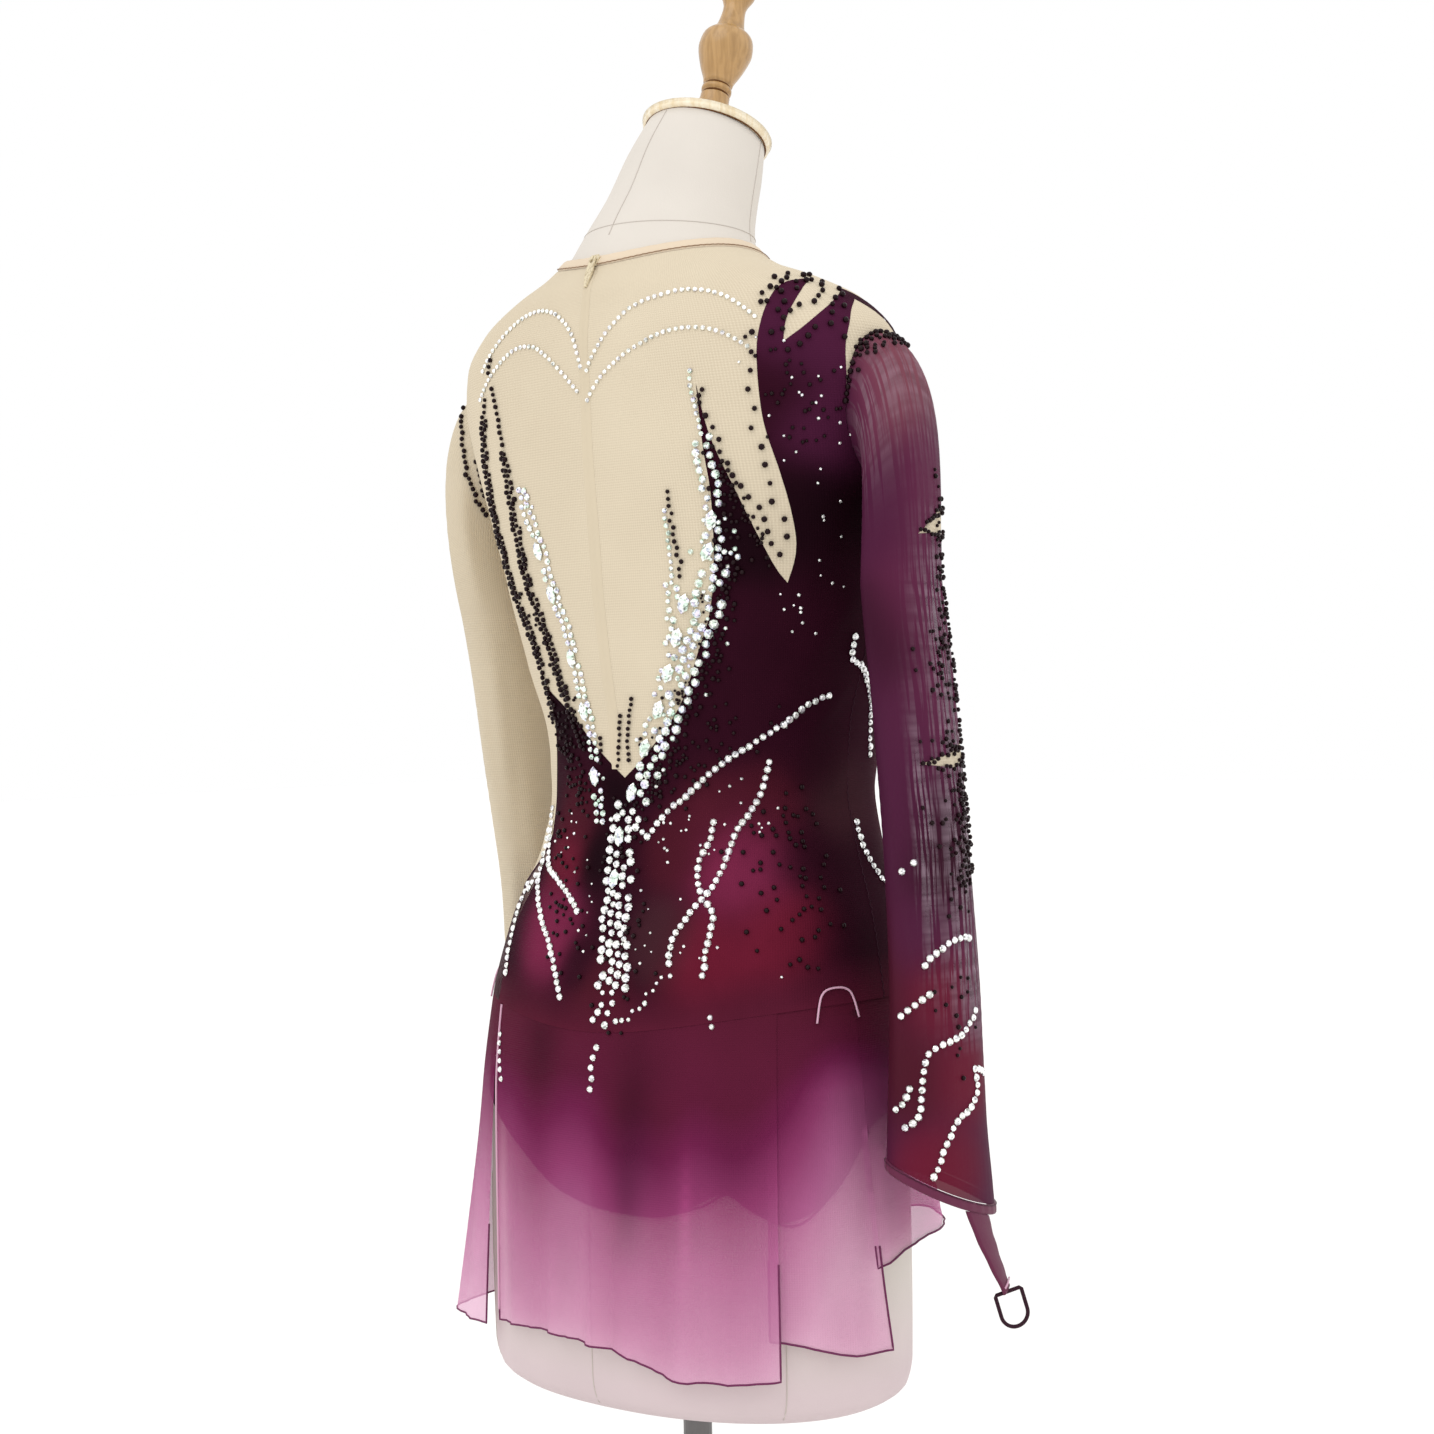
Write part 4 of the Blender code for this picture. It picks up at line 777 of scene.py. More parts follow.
SEAMS = {
    "strap_neck_side": [
        HORN_TIP, (75, 1.338), (68, 1.327), (61.5, 1.298), (59.6, 1.255), (61.5, 1.216), (64, 1.172), TONGUE],
    "horn_inside": [NOTCH, (68.8, 1.3115), (72.4, 1.323), (77.5, 1.334), HORN_TIP],
    "strap_inside": [RIDGE_STRAP_IN, (79, 1.32), NOTCH],
    "spike_outside": [SPIKE_TIP, (46.5, 1.24), (52, 1.194), (58, 1.16), TONGUE],
    "v_right": [
        SPIKE_TIP, (44, 1.233), (43.7, 1.2), (41.5, 1.137), (37, 1.105), (29, 1.068), (16, 1.038), V_BOTTOM],
    "v_left": [V_BOTTOM, (-5, 1.034), (-13, 1.047), (-24, 1.066), LEFT_TIP],
    "left_edge": [LEFT_TIP, (-38, 1.047), (-42, 1.011), HIP_CORNER],
    "nude_hem": [HIP_CORNER, (-50, 0.957), (-65, 0.938), NUDE_HEM_END],
    "wine_edge": [HIP_CORNER, (-45, 0.947), (-50, 0.912), WINE_END],
    "strap_back": [RIDGE_STRAP_OUT, (84, 1.317), (79.5, 1.296)],
    "strap_front": [RIDGE_STRAP_OUT, (96, 1.317), (100.5, 1.296)],
    "front_neckline": [
        FRONT_CORNER, (261, 1.02), (252, 1.1), (222, 1.165), (180, 1.195), (150, 1.235), (122, 1.29),
        (104, 1.32), RIDGE_STRAP_IN],
}


def neck_height(turn):
    """Height of the neckline: lower at the centre back and front than at the shoulders."""
    return 1.362 + 0.011 * np.sin(np.radians(turn)) ** 2


def hip_height(turn):
    """Height of the seam that joins the skirt."""
    return 0.872 - 0.02 * np.maximum(0.0, np.cos(np.radians(turn))) ** 2


def cloth_step():
    return bpy.context.scene.dress_cloth.step


def on_body(*points):
    """A smooth line on the body's flat pattern, through (turn, height) points."""
    return smooth_line([body_flat(*point) for point in points], cloth_step())


def seam(name):
    return on_body(*SEAMS[name])


def level_line(height_at, start, end, flat=body_flat):
    """A line round from one turn to another at a height that follows a rule."""
    pieces = max(2, math.ceil(abs(end - start) / 12.0))
    turns = [start + (end - start) * k / pieces for k in range(pieces + 1)]
    return smooth_line([flat(turn, float(height_at(turn))) for turn in turns], cloth_step())


def armhole_place(angle, middle, side):
    """A point of an armhole: angle from its top towards the back."""
    turn = middle - side * ARMHOLE_HALF_TURN * np.sin(np.radians(angle))
    half_height = (SHOULDER_TOP - UNDERARM) / 2
    return turn, UNDERARM + half_height * (1.0 + np.cos(np.radians(angle)))


def armhole_line(start, end, middle, side):
    pieces = max(2, math.ceil(abs(end - start) / 4.0))
    angles = [start + (end - start) * k / pieces for k in range(pieces + 1)]
    return [body_flat(*armhole_place(angle, middle, side)) for angle in angles]


# Soft drag lines that stand out of the stretched cloth, each from one place to another
BODICE_CREASES = [
    ((52, 1.29), (66, 1.225), 0.007, 0.0009), ((78, 1.2), (60, 1.12), 0.009, 0.0012),
    ((86, 1.15), (58, 1.06), 0.008, 0.0014), ((88, 1.085), (66, 1.03), 0.007, 0.0012),
    ((92, 1.03), (62, 0.985), 0.008, 0.0013), ((30, 1.035), (64, 1.0), 0.006, 0.0008),
    ((-34, 1.03), (-6, 0.99), 0.007, 0.001), ((-38, 0.985), (-8, 0.955), 0.007, 0.001),
    ((-46, 1.15), (-30, 1.06), 0.008, 0.0009), ((-60, 1.17), (-52, 1.03), 0.009, 0.0012),
    ((-70, 1.08), (-50, 0.99), 0.007, 0.001), ((-14, 1.3), (-40, 1.235), 0.009, 0.0008),
    ((16, 1.31), (34, 1.27), 0.008, 0.0007), ((96, 1.12), (128, 1.06), 0.009, 0.0012),
    ((98, 1.04), (150, 1.0), 0.008, 0.0012), ((120, 1.18), (150, 1.13), 0.01, 0.0014),
    ((230, 1.18), (205, 1.12), 0.01, 0.0014), ((262, 1.08), (220, 1.03), 0.008, 0.0012),
    ((258, 0.98), (205, 0.96), 0.008, 0.001), ((170, 1.0), (196, 0.99), 0.007, 0.0008),
]


def on_form(lift):
    """Lays a flat pattern on the body, a little out from the cloth's own face."""

    def place(s, t):
        turn, height = from_body_flat(s, t)
        fade = np.clip((1.35 - height) / 0.04, 0.0, 1.0)
        return cloth_point(turn, height, CLOTH + lift + crease_lift(s, t, BODICE_CREASES, body_flat) * fade)

    return place


def sew_on(made, node, *trims):
    """The piece of cloth stands for its solid, which is hidden."""
    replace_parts(made, node)


def overlock(name, lines, finish_name, reach=0.0016, pitch=0.0028, radius=0.00022):
    """Zigzag stitches over seams, each a line of points with their normals."""
    paths = []
    for points, normals in lines:
        across = np.cross(normals, unit(np.gradient(points, axis=0)))
        run = run_along(points)
        at = np.linspace(0.0, run[-1], max(2, int(run[-1] / pitch)))
        side = np.where(np.arange(len(at)) % 2, 1.0, -1.0) * reach / 2
        path = []
        for axis in range(3):
            base = np.interp(at, run, points[:, axis]) + side * np.interp(at, run, across[:, axis])
            path.append(base + STITCH_LIFT * np.interp(at, run, normals[:, axis]))
        paths.append(np.stack(path, axis=-1))
    return thread(name, paths, radius, finish(finish_name), sides=4)


def line_on_body(points, lift, step=0.004):
    """Points and normals along a smooth line of (turn, height) places."""
    flat = np.array(smooth_line([body_flat(*point) for point in points], step))
    turn, height = from_body_flat(flat[:, 0], flat[:, 1])
    return cloth_point(turn, height, CLOTH + lift), body_normal(turn, height)


def strap_edges():
    """The strap's two edges on the shoulder, out to the armhole."""
    return [
        on_body(*SEAMS["strap_" + side], armhole_place(angle, RIGHT_SIDE, 1))
        for side, angle in (("back", STRAP_MEETS_ARMHOLE), ("front", -STRAP_MEETS_ARMHOLE))]


def open_back():
    """The edge that the nude and plum back panels share, from the shoulder to the left hip."""
    return [
        seam("strap_inside"), seam("horn_inside"), seam("strap_neck_side"), seam("spike_outside")[::-1],
        seam("v_right"), seam("v_left"), seam("left_edge")]


def panel(name, finish_name, lift, lines, step=1.0):
    """A panel of the bodice, from the lines round it."""
    return cloth(name, joined(*lines), on_form(lift), step * cloth_step(), finish(finish_name))


def build_nude_panels():
    strap_back, strap_front = strap_edges()
    neck = neck_height(RIGHT_SIDE)
    back = panel(
        "nude_back_yoke", "nude", 0.0,
        [
            level_line(neck_height, LEFT_SIDE, RIGHT_SIDE), on_body((RIGHT_SIDE, neck), RIDGE_STRAP_IN),
            *open_back(), seam("nude_hem"), on_body(NUDE_HEM_END, (LEFT_SIDE, UNDERARM)),
            armhole_line(180.0, 0.0, LEFT_SIDE, -1), on_body((LEFT_SIDE, SHOULDER_TOP), (LEFT_SIDE, neck))])
    # the front's left side is the same line, counted on from the right side
    left = LEFT_SIDE + 360.0
    front = panel("nude_front_yoke", "nude", 0.0, [
        level_line(neck_height, RIGHT_SIDE, left),
        on_body((left, neck), (left, SHOULDER_TOP)),
        armhole_line(0.0, -180.0, left, -1),
        on_body((left, UNDERARM), (left, NUDE_HEM_END[1])),
        on_body((left, NUDE_HEM_END[1]), FRONT_CORNER),
        seam("front_neckline"),
        on_body(RIDGE_STRAP_IN, (RIGHT_SIDE, neck)),
    ])
    armhole = armhole_line(-STRAP_MEETS_ARMHOLE, STRAP_MEETS_ARMHOLE, RIGHT_SIDE, 1)
    shoulder = panel("nude_right_shoulder", "nude", 0.0, [strap_back[::-1], strap_front, armhole], 0.7)
    stitches = overlock(
        "nude_seam_stitches",
        [
            line_on_body([(LEFT_SIDE, neck), (LEFT_SIDE, SHOULDER_TOP)], 0.0),
            line_on_body([(LEFT_SIDE, UNDERARM), (LEFT_SIDE, 1.05), NUDE_HEM_END], 0.0)], "nude_stitch")
    sew_on(back, "back_yoke_nude", stitches)
    sew_on(front, "front_yoke_nude")
    sew_on(shoulder, "right_shoulder_nude")


# Where the bodice was sprayed: turn, height, reach and dye
BODICE_SPRAYS = [
    (72, 1.305, 0.022, "purple"), (84, 1.29, 0.02, "purple"), (60, 1.27, 0.018, "plum"),
    (76, 1.245, 0.02, "purple"), (70, 1.187, 0.027, "black plum"), (84, 1.15, 0.028, "plum"),
    (50, 1.175, 0.022, "black plum"), (46, 1.12, 0.022, "plum"), (60, 1.06, 0.024, "plum"),
    (76, 1.035, 0.022, "plum"), (86, 1.0, 0.022, "umber"), (58, 1.0, 0.02, "wine"),
    (40, 0.995, 0.018, "wine"), (28, 0.97, 0.018, "wine"), (50, 0.962, 0.026, "berry"),
    (70, 0.965, 0.018, "plum"), (90, 0.95, 0.024, "plum"), (-22, 0.99, 0.018, "wine"),
    (-26, 0.962, 0.016, "claret"), (-8, 0.965, 0.016, "black plum"), (-25, 0.915, 0.022, "berry"),
    (-8, 0.895, 0.014, "plum"), (4, 0.875, 0.018, "wine"), (27, 0.912, 0.018, "umber"),
    (42, 0.9, 0.022, "claret"), (62, 0.915, 0.022, "claret"), (80, 0.905, 0.024, "plum"),
    (100, 0.9, 0.03, "plum"), (120, 1.1, 0.05, "plum"), (150, 1.0, 0.05, "wine"),
    (190, 1.12, 0.05, "plum"), (230, 1.02, 0.05, "plum"), (200, 0.93, 0.04, "wine"),
    (150, 0.9, 0.04, "wine"), (246, 0.92, 0.04, "wine"), (0, 1.01, 0.014, "black plum"),
    (-30, 1.06, 0.016, "black plum"),
]


def bodice_dye(s, t):
    turn, height = from_body_flat(s, t)
    colours = sprayed(turn, height, bpy.context.scene.dress_cloth.plum, BODICE_SPRAYS)
    # the dye runs on over the seam into the skirt
    near_skirt = np.clip((hip_height(turn) + 0.03 - height) / 0.03, 0.0, 1.0)[:, None]
    return colours * (1.0 - near_skirt) + np.array(linear(OMBRE[0][1])) * near_skirt


def build_plum_panels():
    strap_back, strap_front = strap_edges()
    back = panel("plum_back_bodice", "bodice", PLUM_LIFT, [
        level_line(hip_height, WINE_END[0], RIGHT_SIDE),
        on_body((RIGHT_SIDE, hip_height(RIGHT_SIDE)), (RIGHT_SIDE, UNDERARM)),
        armhole_line(180.0, STRAP_MEETS_ARMHOLE, RIGHT_SIDE, 1),
        strap_back[::-1],
        on_body(RIDGE_STRAP_OUT, RIDGE_STRAP_IN),
        *open_back(),
        seam("wine_edge"),
        on_body(WINE_END, (WINE_END[0], hip_height(WINE_END[0]))),
    ])
    front = panel("plum_front_bodice", "bodice", PLUM_LIFT, [
        level_line(hip_height, RIGHT_SIDE, FRONT_CORNER[0]),
        on_body((FRONT_CORNER[0], hip_height(FRONT_CORNER[0])), FRONT_CORNER),
        seam("front_neckline"),
        on_body(RIDGE_STRAP_IN, RIDGE_STRAP_OUT),
        strap_front,
        armhole_line(-STRAP_MEETS_ARMHOLE, -180.0, RIGHT_SIDE, 1),
        on_body((RIGHT_SIDE, UNDERARM), (RIGHT_SIDE, hip_height(RIGHT_SIDE))),
    ])
    for part in (back, front):
        paint(part, bodice_dye)
    side_seam = line_on_body(
        [(RIGHT_SIDE, UNDERARM), (RIGHT_SIDE, 1.05), (RIGHT_SIDE, hip_height(RIGHT_SIDE))], PLUM_LIFT)
    sew_on(back, "back_bodice_plum", overlock("plum_side_stitches", [side_seam], "plum_thread"))
    sew_on(front, "front_bodice_plum")


def build_hip_mesh():
    front = FRONT_CORNER[0] - 360.0
    made = panel("grey_left_hip", "hip", 0.0001, [
        seam("nude_hem")[::-1],
        seam("wine_edge"),
        on_body(WINE_END, (WINE_END[0], hip_height(WINE_END[0]))),
        level_line(hip_height, WINE_END[0], front),
        on_body((front, hip_height(front)), (front, FRONT_CORNER[1])),
        on_body((front, FRONT_CORNER[1]), NUDE_HEM_END),
    ])
    paint(made, hip_dye)
    edge, _ = line_on_body(SEAMS["nude_hem"], 0.0004)
    sew_on(made, "left_hip_mesh", thread("hip_edge_cord", [edge], 0.0007, finish("plum_thread")))


HIP_SPRAYS = [
    (-42, 0.968, 0.016, "smoke"),
    (-48, 0.952, 0.018, "smoke"),
    (-54, 0.925, 0.02, "umber"),
    (-62, 0.9, 0.03, "umber"),
]


def hip_dye(s, t):
    return sprayed(*from_body_flat(s, t), linear(DYES["umber"]), HIP_SPRAYS)


# Profile of the folded neck binding: how far out and how far up from its seam
BINDING_PROFILE = [
    (0.0, 0.0004), (0.0015, 0.0006), (0.0021, 0.0016), (0.0023, 0.0035), (0.0022, 0.0058),
    (0.0017, 0.0073), (0.001, 0.0077), (0.0001, 0.0075), (0.0001, 0.0004),
]
NECK_POINTS = 160


def build_neck_binding():
    turns = 360.0 * np.arange(NECK_POINTS) / NECK_POINTS
    rings = []
    for out, rise in BINDING_PROFILE:
        ripple = 0.00012 * np.sin(np.radians(turns) * 37.0) * (out > 0.001)
        rings.append(cloth_point(turns, neck_height(turns) + rise, out + ripple))
    band = rings_mesh("neck_binding_band", rings, finish("binding"))
    weld(band, 0.00001)
    around = cloth_point(turns, neck_height(turns) + 0.001, 0.0021)
    normals = body_normal(turns, neck_height(turns))
    stitches = overlock("neck_binding_stitches", [(around, normals)], "stitch", 0.0004, 0.0022, 0.0003)
    sew_on(band, "neck_binding", stitches)


# The sleeves: threads from the armhole, then level sections

HEAD_DROP = 0.55
SLEEVE_RADIUS = 0.033
HEAD_LENGTH = 0.15
HEAD_END_Z = 1.14
RISE_LENGTH = 0.014
RISE = 0.0035
HEAD_LIFT = 70.0
RIGHT_CUFF_Z = 0.7525
RIGHT_CUFF_SLANT = 0.0185
RIGHT_CUFF_HIGH_AT = 126.0
LEFT_CUFF_Z = 0.745
CUFF_BAND = 0.007
SLEEVE_JOIN = -180.0
STRAP_TOP = (-25.0, 8.0)
STRAP_END = (-42.0, -24.0)
STRAP_LENGTH = 0.046
STRAP_SLANT = 0.004
LOOP_WIDTH = 0.018
LOOP_HEIGHT = 0.0235
LOOP_CORD = 0.0013
LOOP_FACING = -50.0
LOOP_TILT = 16.0
LOOP_GAP = 0.0003


def sleeve_start(angle):
    """Where a sleeve's thread leaves the armhole, and in which direction."""
    turn, height = armhole_place(angle, 90.0, 1)
    point = cloth_point(turn, height, 0.0)
    middle = (SHOULDER_TOP + UNDERARM) / 2
    nearer = cloth_point(turn + 0.05 * (90.0 - turn), height + 0.05 * (middle - height), 0.0)
    inwards = unit(nearer - point)
    slant = (1.0 - np.cos(np.radians(angle))) / 2
    lift = np.radians(HEAD_LIFT + (90.0 - HEAD_LIFT) * slant)[..., None]
    point = point + inwards * (SEAM_GAP + CLOTH * np.sin(lift))
    return point, inwards * np.cos(lift) + body_normal(turn, height) * np.sin(lift)


class Sleeve:
    """A sleeve's inner face: a rounded head from the armhole, then level sections."""

    def __init__(self, side, fullness, rows):
        self.side = side
        self.fullness = fullness
        self.table = Table("height middle_x middle_y half_x half_y", rows)

    def section(self, angle, height):
        turn = np.radians(angle)
        across = self.table.read("middle_x", height) + self.table.read("half_x", height) * np.cos(turn)
        back = self.table.read("middle_y", height) + self.table.read("half_y", height) * np.sin(turn)
        return stack(-across, back, height)

    def surface(self, angle, length):
        angle, length = np.broadcast_arrays(np.asarray(angle, float), np.asarray(length, float))
        start, leaving = sleeve_start(angle)
        end = self.section(angle, HEAD_END_Z)
        arriving = unit(self.section(angle, HEAD_END_Z - 0.01) - end)
        distance = np.linalg.norm(end - start - leaving * RISE, axis=-1)[..., None]
        risen = start + leaving * (RISE * np.clip(length / RISE_LENGTH, 0.0, 1.0))[..., None]
        f = np.clip((length - RISE_LENGTH) / (HEAD_LENGTH - RISE_LENGTH), 0.0, 1.0)[..., None]
        head = between(risen, leaving * (self.fullness * distance), end, arriving * (HEAD_DROP * distance), f)
        below = self.section(angle, HEAD_END_Z - (length - HEAD_LENGTH))
        return np.where((length >= HEAD_LENGTH)[..., None], below, head)

    def normal(self, angle, length):
        low = np.maximum(np.asarray(length, float) - 0.001, 0.0)
        around = self.surface(np.asarray(angle) + 1.0, length) - self.surface(np.asarray(angle) - 1.0, length)
        along = self.surface(angle, low + 0.002) - self.surface(angle, low)
        return unit(np.cross(around, along))

    def mirrored(self, points):
        return points * np.array([self.side, 1.0, 1.0])

    def point(self, angle, length, out):
        out = np.asarray(out, float)
        return self.mirrored(self.surface(angle, length) + self.normal(angle, length) * out[..., None])


RIGHT = Sleeve(1, 0.55, [
    (0.66, 0.226, -0.002, 0.023, 0.048),
    (0.74, 0.208, 0.0, 0.023, 0.048),
    (0.8, 0.206, 0.0, 0.0225, 0.043),
    (0.86, 0.206, 0.0, 0.0215, 0.0385),
    (0.96, 0.204, 0.001, 0.0205, 0.035),
    (1.06, 0.1975, 0.003, 0.0205, 0.0345),
    (1.14, 0.1905, 0.005, 0.02, 0.0335),
    (1.2, 0.188, 0.006, 0.02, 0.033),
])
LEFT = Sleeve(-1, 0.8, [
    (0.74, 0.206, -0.085, 0.021, 0.036),
    (0.86, 0.196, -0.066, 0.021, 0.036),
    (0.96, 0.187, -0.048, 0.021, 0.036),
    (1.06, 0.186, -0.03, 0.021, 0.036),
    (1.14, 0.188, -0.016, 0.0215, 0.036),
    (1.2, 0.192, -0.004, 0.0215, 0.034),
])


def sleeve_flat(angle, length):
    return (math.radians(angle) * SLEEVE_RADIUS, length)


def cuff_length(angle):
    """Length of the right sleeve at its slanted cuff, with the band."""
    drop = RIGHT_CUFF_SLANT * np.cos(np.radians(angle - RIGHT_CUFF_HIGH_AT))
    return HEAD_LENGTH + HEAD_END_Z - (RIGHT_CUFF_Z + drop)


def left_cuff_length(angle):
    return HEAD_LENGTH + HEAD_END_Z - LEFT_CUFF_Z


def above_band(angle):
    return cuff_length(angle) - CUFF_BAND


# Soft folds of the loose sleeves, each from one place to another by angle and length
RIGHT_CREASES = [
    ((70, 0.02), (40, 0.13), 0.006, 0.0016), ((20, 0.03), (10, 0.12), 0.007, 0.0014),
    ((60, 0.14), (75, 0.29), 0.005, 0.0016), ((20, 0.15), (30, 0.25), 0.005, 0.0014),
    ((-30, 0.13), (-34, 0.23), 0.006, 0.0016), ((100, 0.06), (110, 0.24), 0.006, 0.0018),
    ((95, 0.27), (60, 0.35), 0.005, 0.0016), ((45, 0.29), (52, 0.42), 0.005, 0.0016),
    ((-10, 0.27), (0, 0.4), 0.006, 0.0014), ((100, 0.36), (88, 0.48), 0.006, 0.0018),
    ((20, 0.43), (35, 0.51), 0.006, 0.0014), ((-70, 0.1), (-80, 0.3), 0.007, 0.0018),
    ((-120, 0.12), (-110, 0.3), 0.007, 0.0018), ((-60, 0.33), (-66, 0.5), 0.006, 0.0016),
    ((150, 0.2), (140, 0.4), 0.007, 0.0016), ((-150, 0.33), (-140, 0.49), 0.007, 0.0016),
]
LEFT_CREASES = [
    ((95, 0.02), (120, 0.15), 0.006, 0.0016), ((60, 0.03), (75, 0.16), 0.007, 0.0018),
    ((125, 0.16), (112, 0.3), 0.006, 0.0018), ((80, 0.18), (92, 0.33), 0.006, 0.0018),
    ((50, 0.2), (40, 0.36), 0.006, 0.0016), ((110, 0.32), (95, 0.45), 0.006, 0.0018),
    ((70, 0.37), (80, 0.5), 0.006, 0.0016), ((150, 0.25), (140, 0.42), 0.007, 0.0016),
    ((10, 0.12), (0, 0.32), 0.007, 0.0018), ((-50, 0.1), (-60, 0.3), 0.007, 0.0018),
    ((-110, 0.16), (-100, 0.36), 0.007, 0.0018), ((-40, 0.34), (-50, 0.5), 0.006, 0.0016),
    ((20, 0.4), (30, 0.51), 0.006, 0.0014), ((-140, 0.3), (-150, 0.48), 0.007, 0.0016),
]
# Slits in the right sleeve, as (angle, length) corners: a point and two ends at the front
SLITS = {
    "upper": [(14.0, 0.119), (-32.0, 0.107), (-72.0, 0.101), (-72.0, 0.112), (-32.0, 0.118)],
    "lower": [(43.0, 0.263), (-10.0, 0.256), (-72.0, 0.244), (-72.0, 0.257), (-10.0, 0.266)],
}


def on_sleeve(sleeve, creases, lift):
    """Lays a flat pattern on a sleeve; the pattern's edges meet at the inner side."""

    def place(s, t):
        folds = crease_lift(s, t, creases, sleeve_flat)
        fade = np.clip(t / 0.02, 0.0, 1.0)
        return sleeve.point(np.degrees(s / SLEEVE_RADIUS), t, CLOTH + lift + folds * fade)

    return place


def slit_outline(name):
    corners = [sleeve_flat(*corner) for corner in SLITS[name]]
    sides = zip(corners, corners[1:] + corners[:1])
    return joined(*[smooth_line([low, high], 0.7 * cloth_step()) for low, high in sides])


def sleeve_cloth(name, sleeve, creases, ends, finish_name, slits=()):
    end = SLEEVE_JOIN + 360.0
    head = level_line(lambda angle: 0.0, SLEEVE_JOIN, end, sleeve_flat)
    cuff = level_line(ends, end, SLEEVE_JOIN, sleeve_flat)
    right_side = smooth_line([head[-1], cuff[0]], cloth_step())
    left_side = [(head[0][0], t) for _, t in right_side]
    holes = [slit_outline(slit) for slit in slits]
    outline = joined(head, right_side, cuff, left_side[::-1])
    return cloth(name, outline, on_sleeve(sleeve, creases, 0.0), cloth_step(), finish(finish_name), holes)


# Where the right sleeve was sprayed: angle, length, reach on the pattern and dye
SLEEVE_SPRAYS = [
    (-20, 0.03, 0.03, "mauve"),
    (25, 0.05, 0.03, "mauve"),
    (70, 0.05, 0.03, "rose"),
    (0, 0.1, 0.03, "rose"),
    (60, 0.1, 0.03, "purple"),
    (25, 0.16, 0.04, "rose"),
    (85, 0.18, 0.04, "plum"),
    (0, 0.23, 0.04, "rose"),
    (45, 0.24, 0.03, "purple"),
    (85, 0.3, 0.04, "purple"),
    (20, 0.32, 0.04, "plum"),
    (60, 0.37, 0.03, "purple"),
    (30, 0.41, 0.03, "claret"),
    (70, 0.46, 0.03, "wine"),
    (0, 0.46, 0.03, "claret"),
    (40, 0.52, 0.03, "claret"),
    (-60, 0.2, 0.05, "rose"),
    (-60, 0.4, 0.05, "rose"),
    (150, 0.2, 0.06, "purple"),
    (150, 0.42, 0.06, "wine"),
    (-130, 0.3, 0.06, "purple"),
]


def sleeve_dye_and_highlight(s, t):
    angle = np.degrees(s / SLEEVE_RADIUS)
    narrow = SLEEVE_RADIUS / MEAN_RADIUS
    sprays = [(middle * narrow, level, 0.7 * reach, dye) for middle, level, reach, dye in SLEEVE_SPRAYS]
    colours = sprayed(angle * narrow, t, linear(DYES["purple"]), sprays)
    # thin and grey along the outer front, where the dye ran out, between the shoulder and the lower arm
    thin = np.exp(-(((angle + 26.0) / 36.0) ** 2)) * np.clip((t - 0.1) / 0.06, 0.0, 1.0)
    thin = thin * np.clip((0.45 - t) / 0.06, 0.0, 1.0) + 0.24 * np.exp(-(((t - 0.05) / 0.03) ** 2))
    # a painted highlight: a second, narrow run of pale, see-through streaks down the back of the arm
    thin = thin + 0.75 * np.exp(-(((angle - 44.0) / 10.0) ** 2) - (((t - 0.31) / 0.06) ** 2))
    return np.concatenate([colours, np.clip(thin, 0.0, 1.0)[:, None]], axis=1)


def build_sleeves():
    left = sleeve_cloth("nude_left_sleeve", LEFT, LEFT_CREASES, left_cuff_length, "nude_loose")
    right = sleeve_cloth("plum_right_sleeve", RIGHT, RIGHT_CREASES, above_band, "sleeve", SLITS)
    paint(right, sleeve_dye_and_highlight)
    under = on_sleeve(RIGHT, RIGHT_CREASES, -0.0003)
    for slit in SLITS:
        inset = cloth(
            "nude_slit_" + slit, slit_outline(slit), under, 0.7 * cloth_step(), finish("nude_loose"))
        sew_on(inset, "slit_inset_" + slit)
    angles = np.linspace(0.0, 360.0, 121)[:-1]
    hem = LEFT.point(angles, left_cuff_length(angles) - 0.0003, CLOTH)
    cuff = thread("left_cuff_hem", [hem], 0.0008, finish("nude_stitch"), closed=True)
    stitches = [
        overlock(
            side + "_armhole_stitches",
            [(sleeve.point(angles, 0.002, CLOTH + 0.0002), sleeve.mirrored(sleeve.normal(angles, 0.002)))],
            finish_name)
        for side, sleeve, finish_name in (("left", LEFT, "nude_stitch"), ("right", RIGHT, "plum_thread"))]
    sew_on(left, "left_sleeve", cuff, stitches[0])
    sew_on(right, "right_sleeve", stitches[1])


# Sections of the cuff's band and of the finger strap: share of the width and how far out
CUFF_PROFILE = [
    (0.0, 0.0002), (0.0, 0.0016), (0.15, 0.0021), (0.5, 0.0022), (0.85, 0.0021), (1.0, 0.0015), (1.0, 0.0002),
]
STRAP_PROFILE = [
    (0.0, 0.0), (0.0, 0.0013), (0.12, 0.0018), (0.5, 0.0016), (0.88, 0.0018), (1.0, 0.0013), (1.0, 0.0),
]


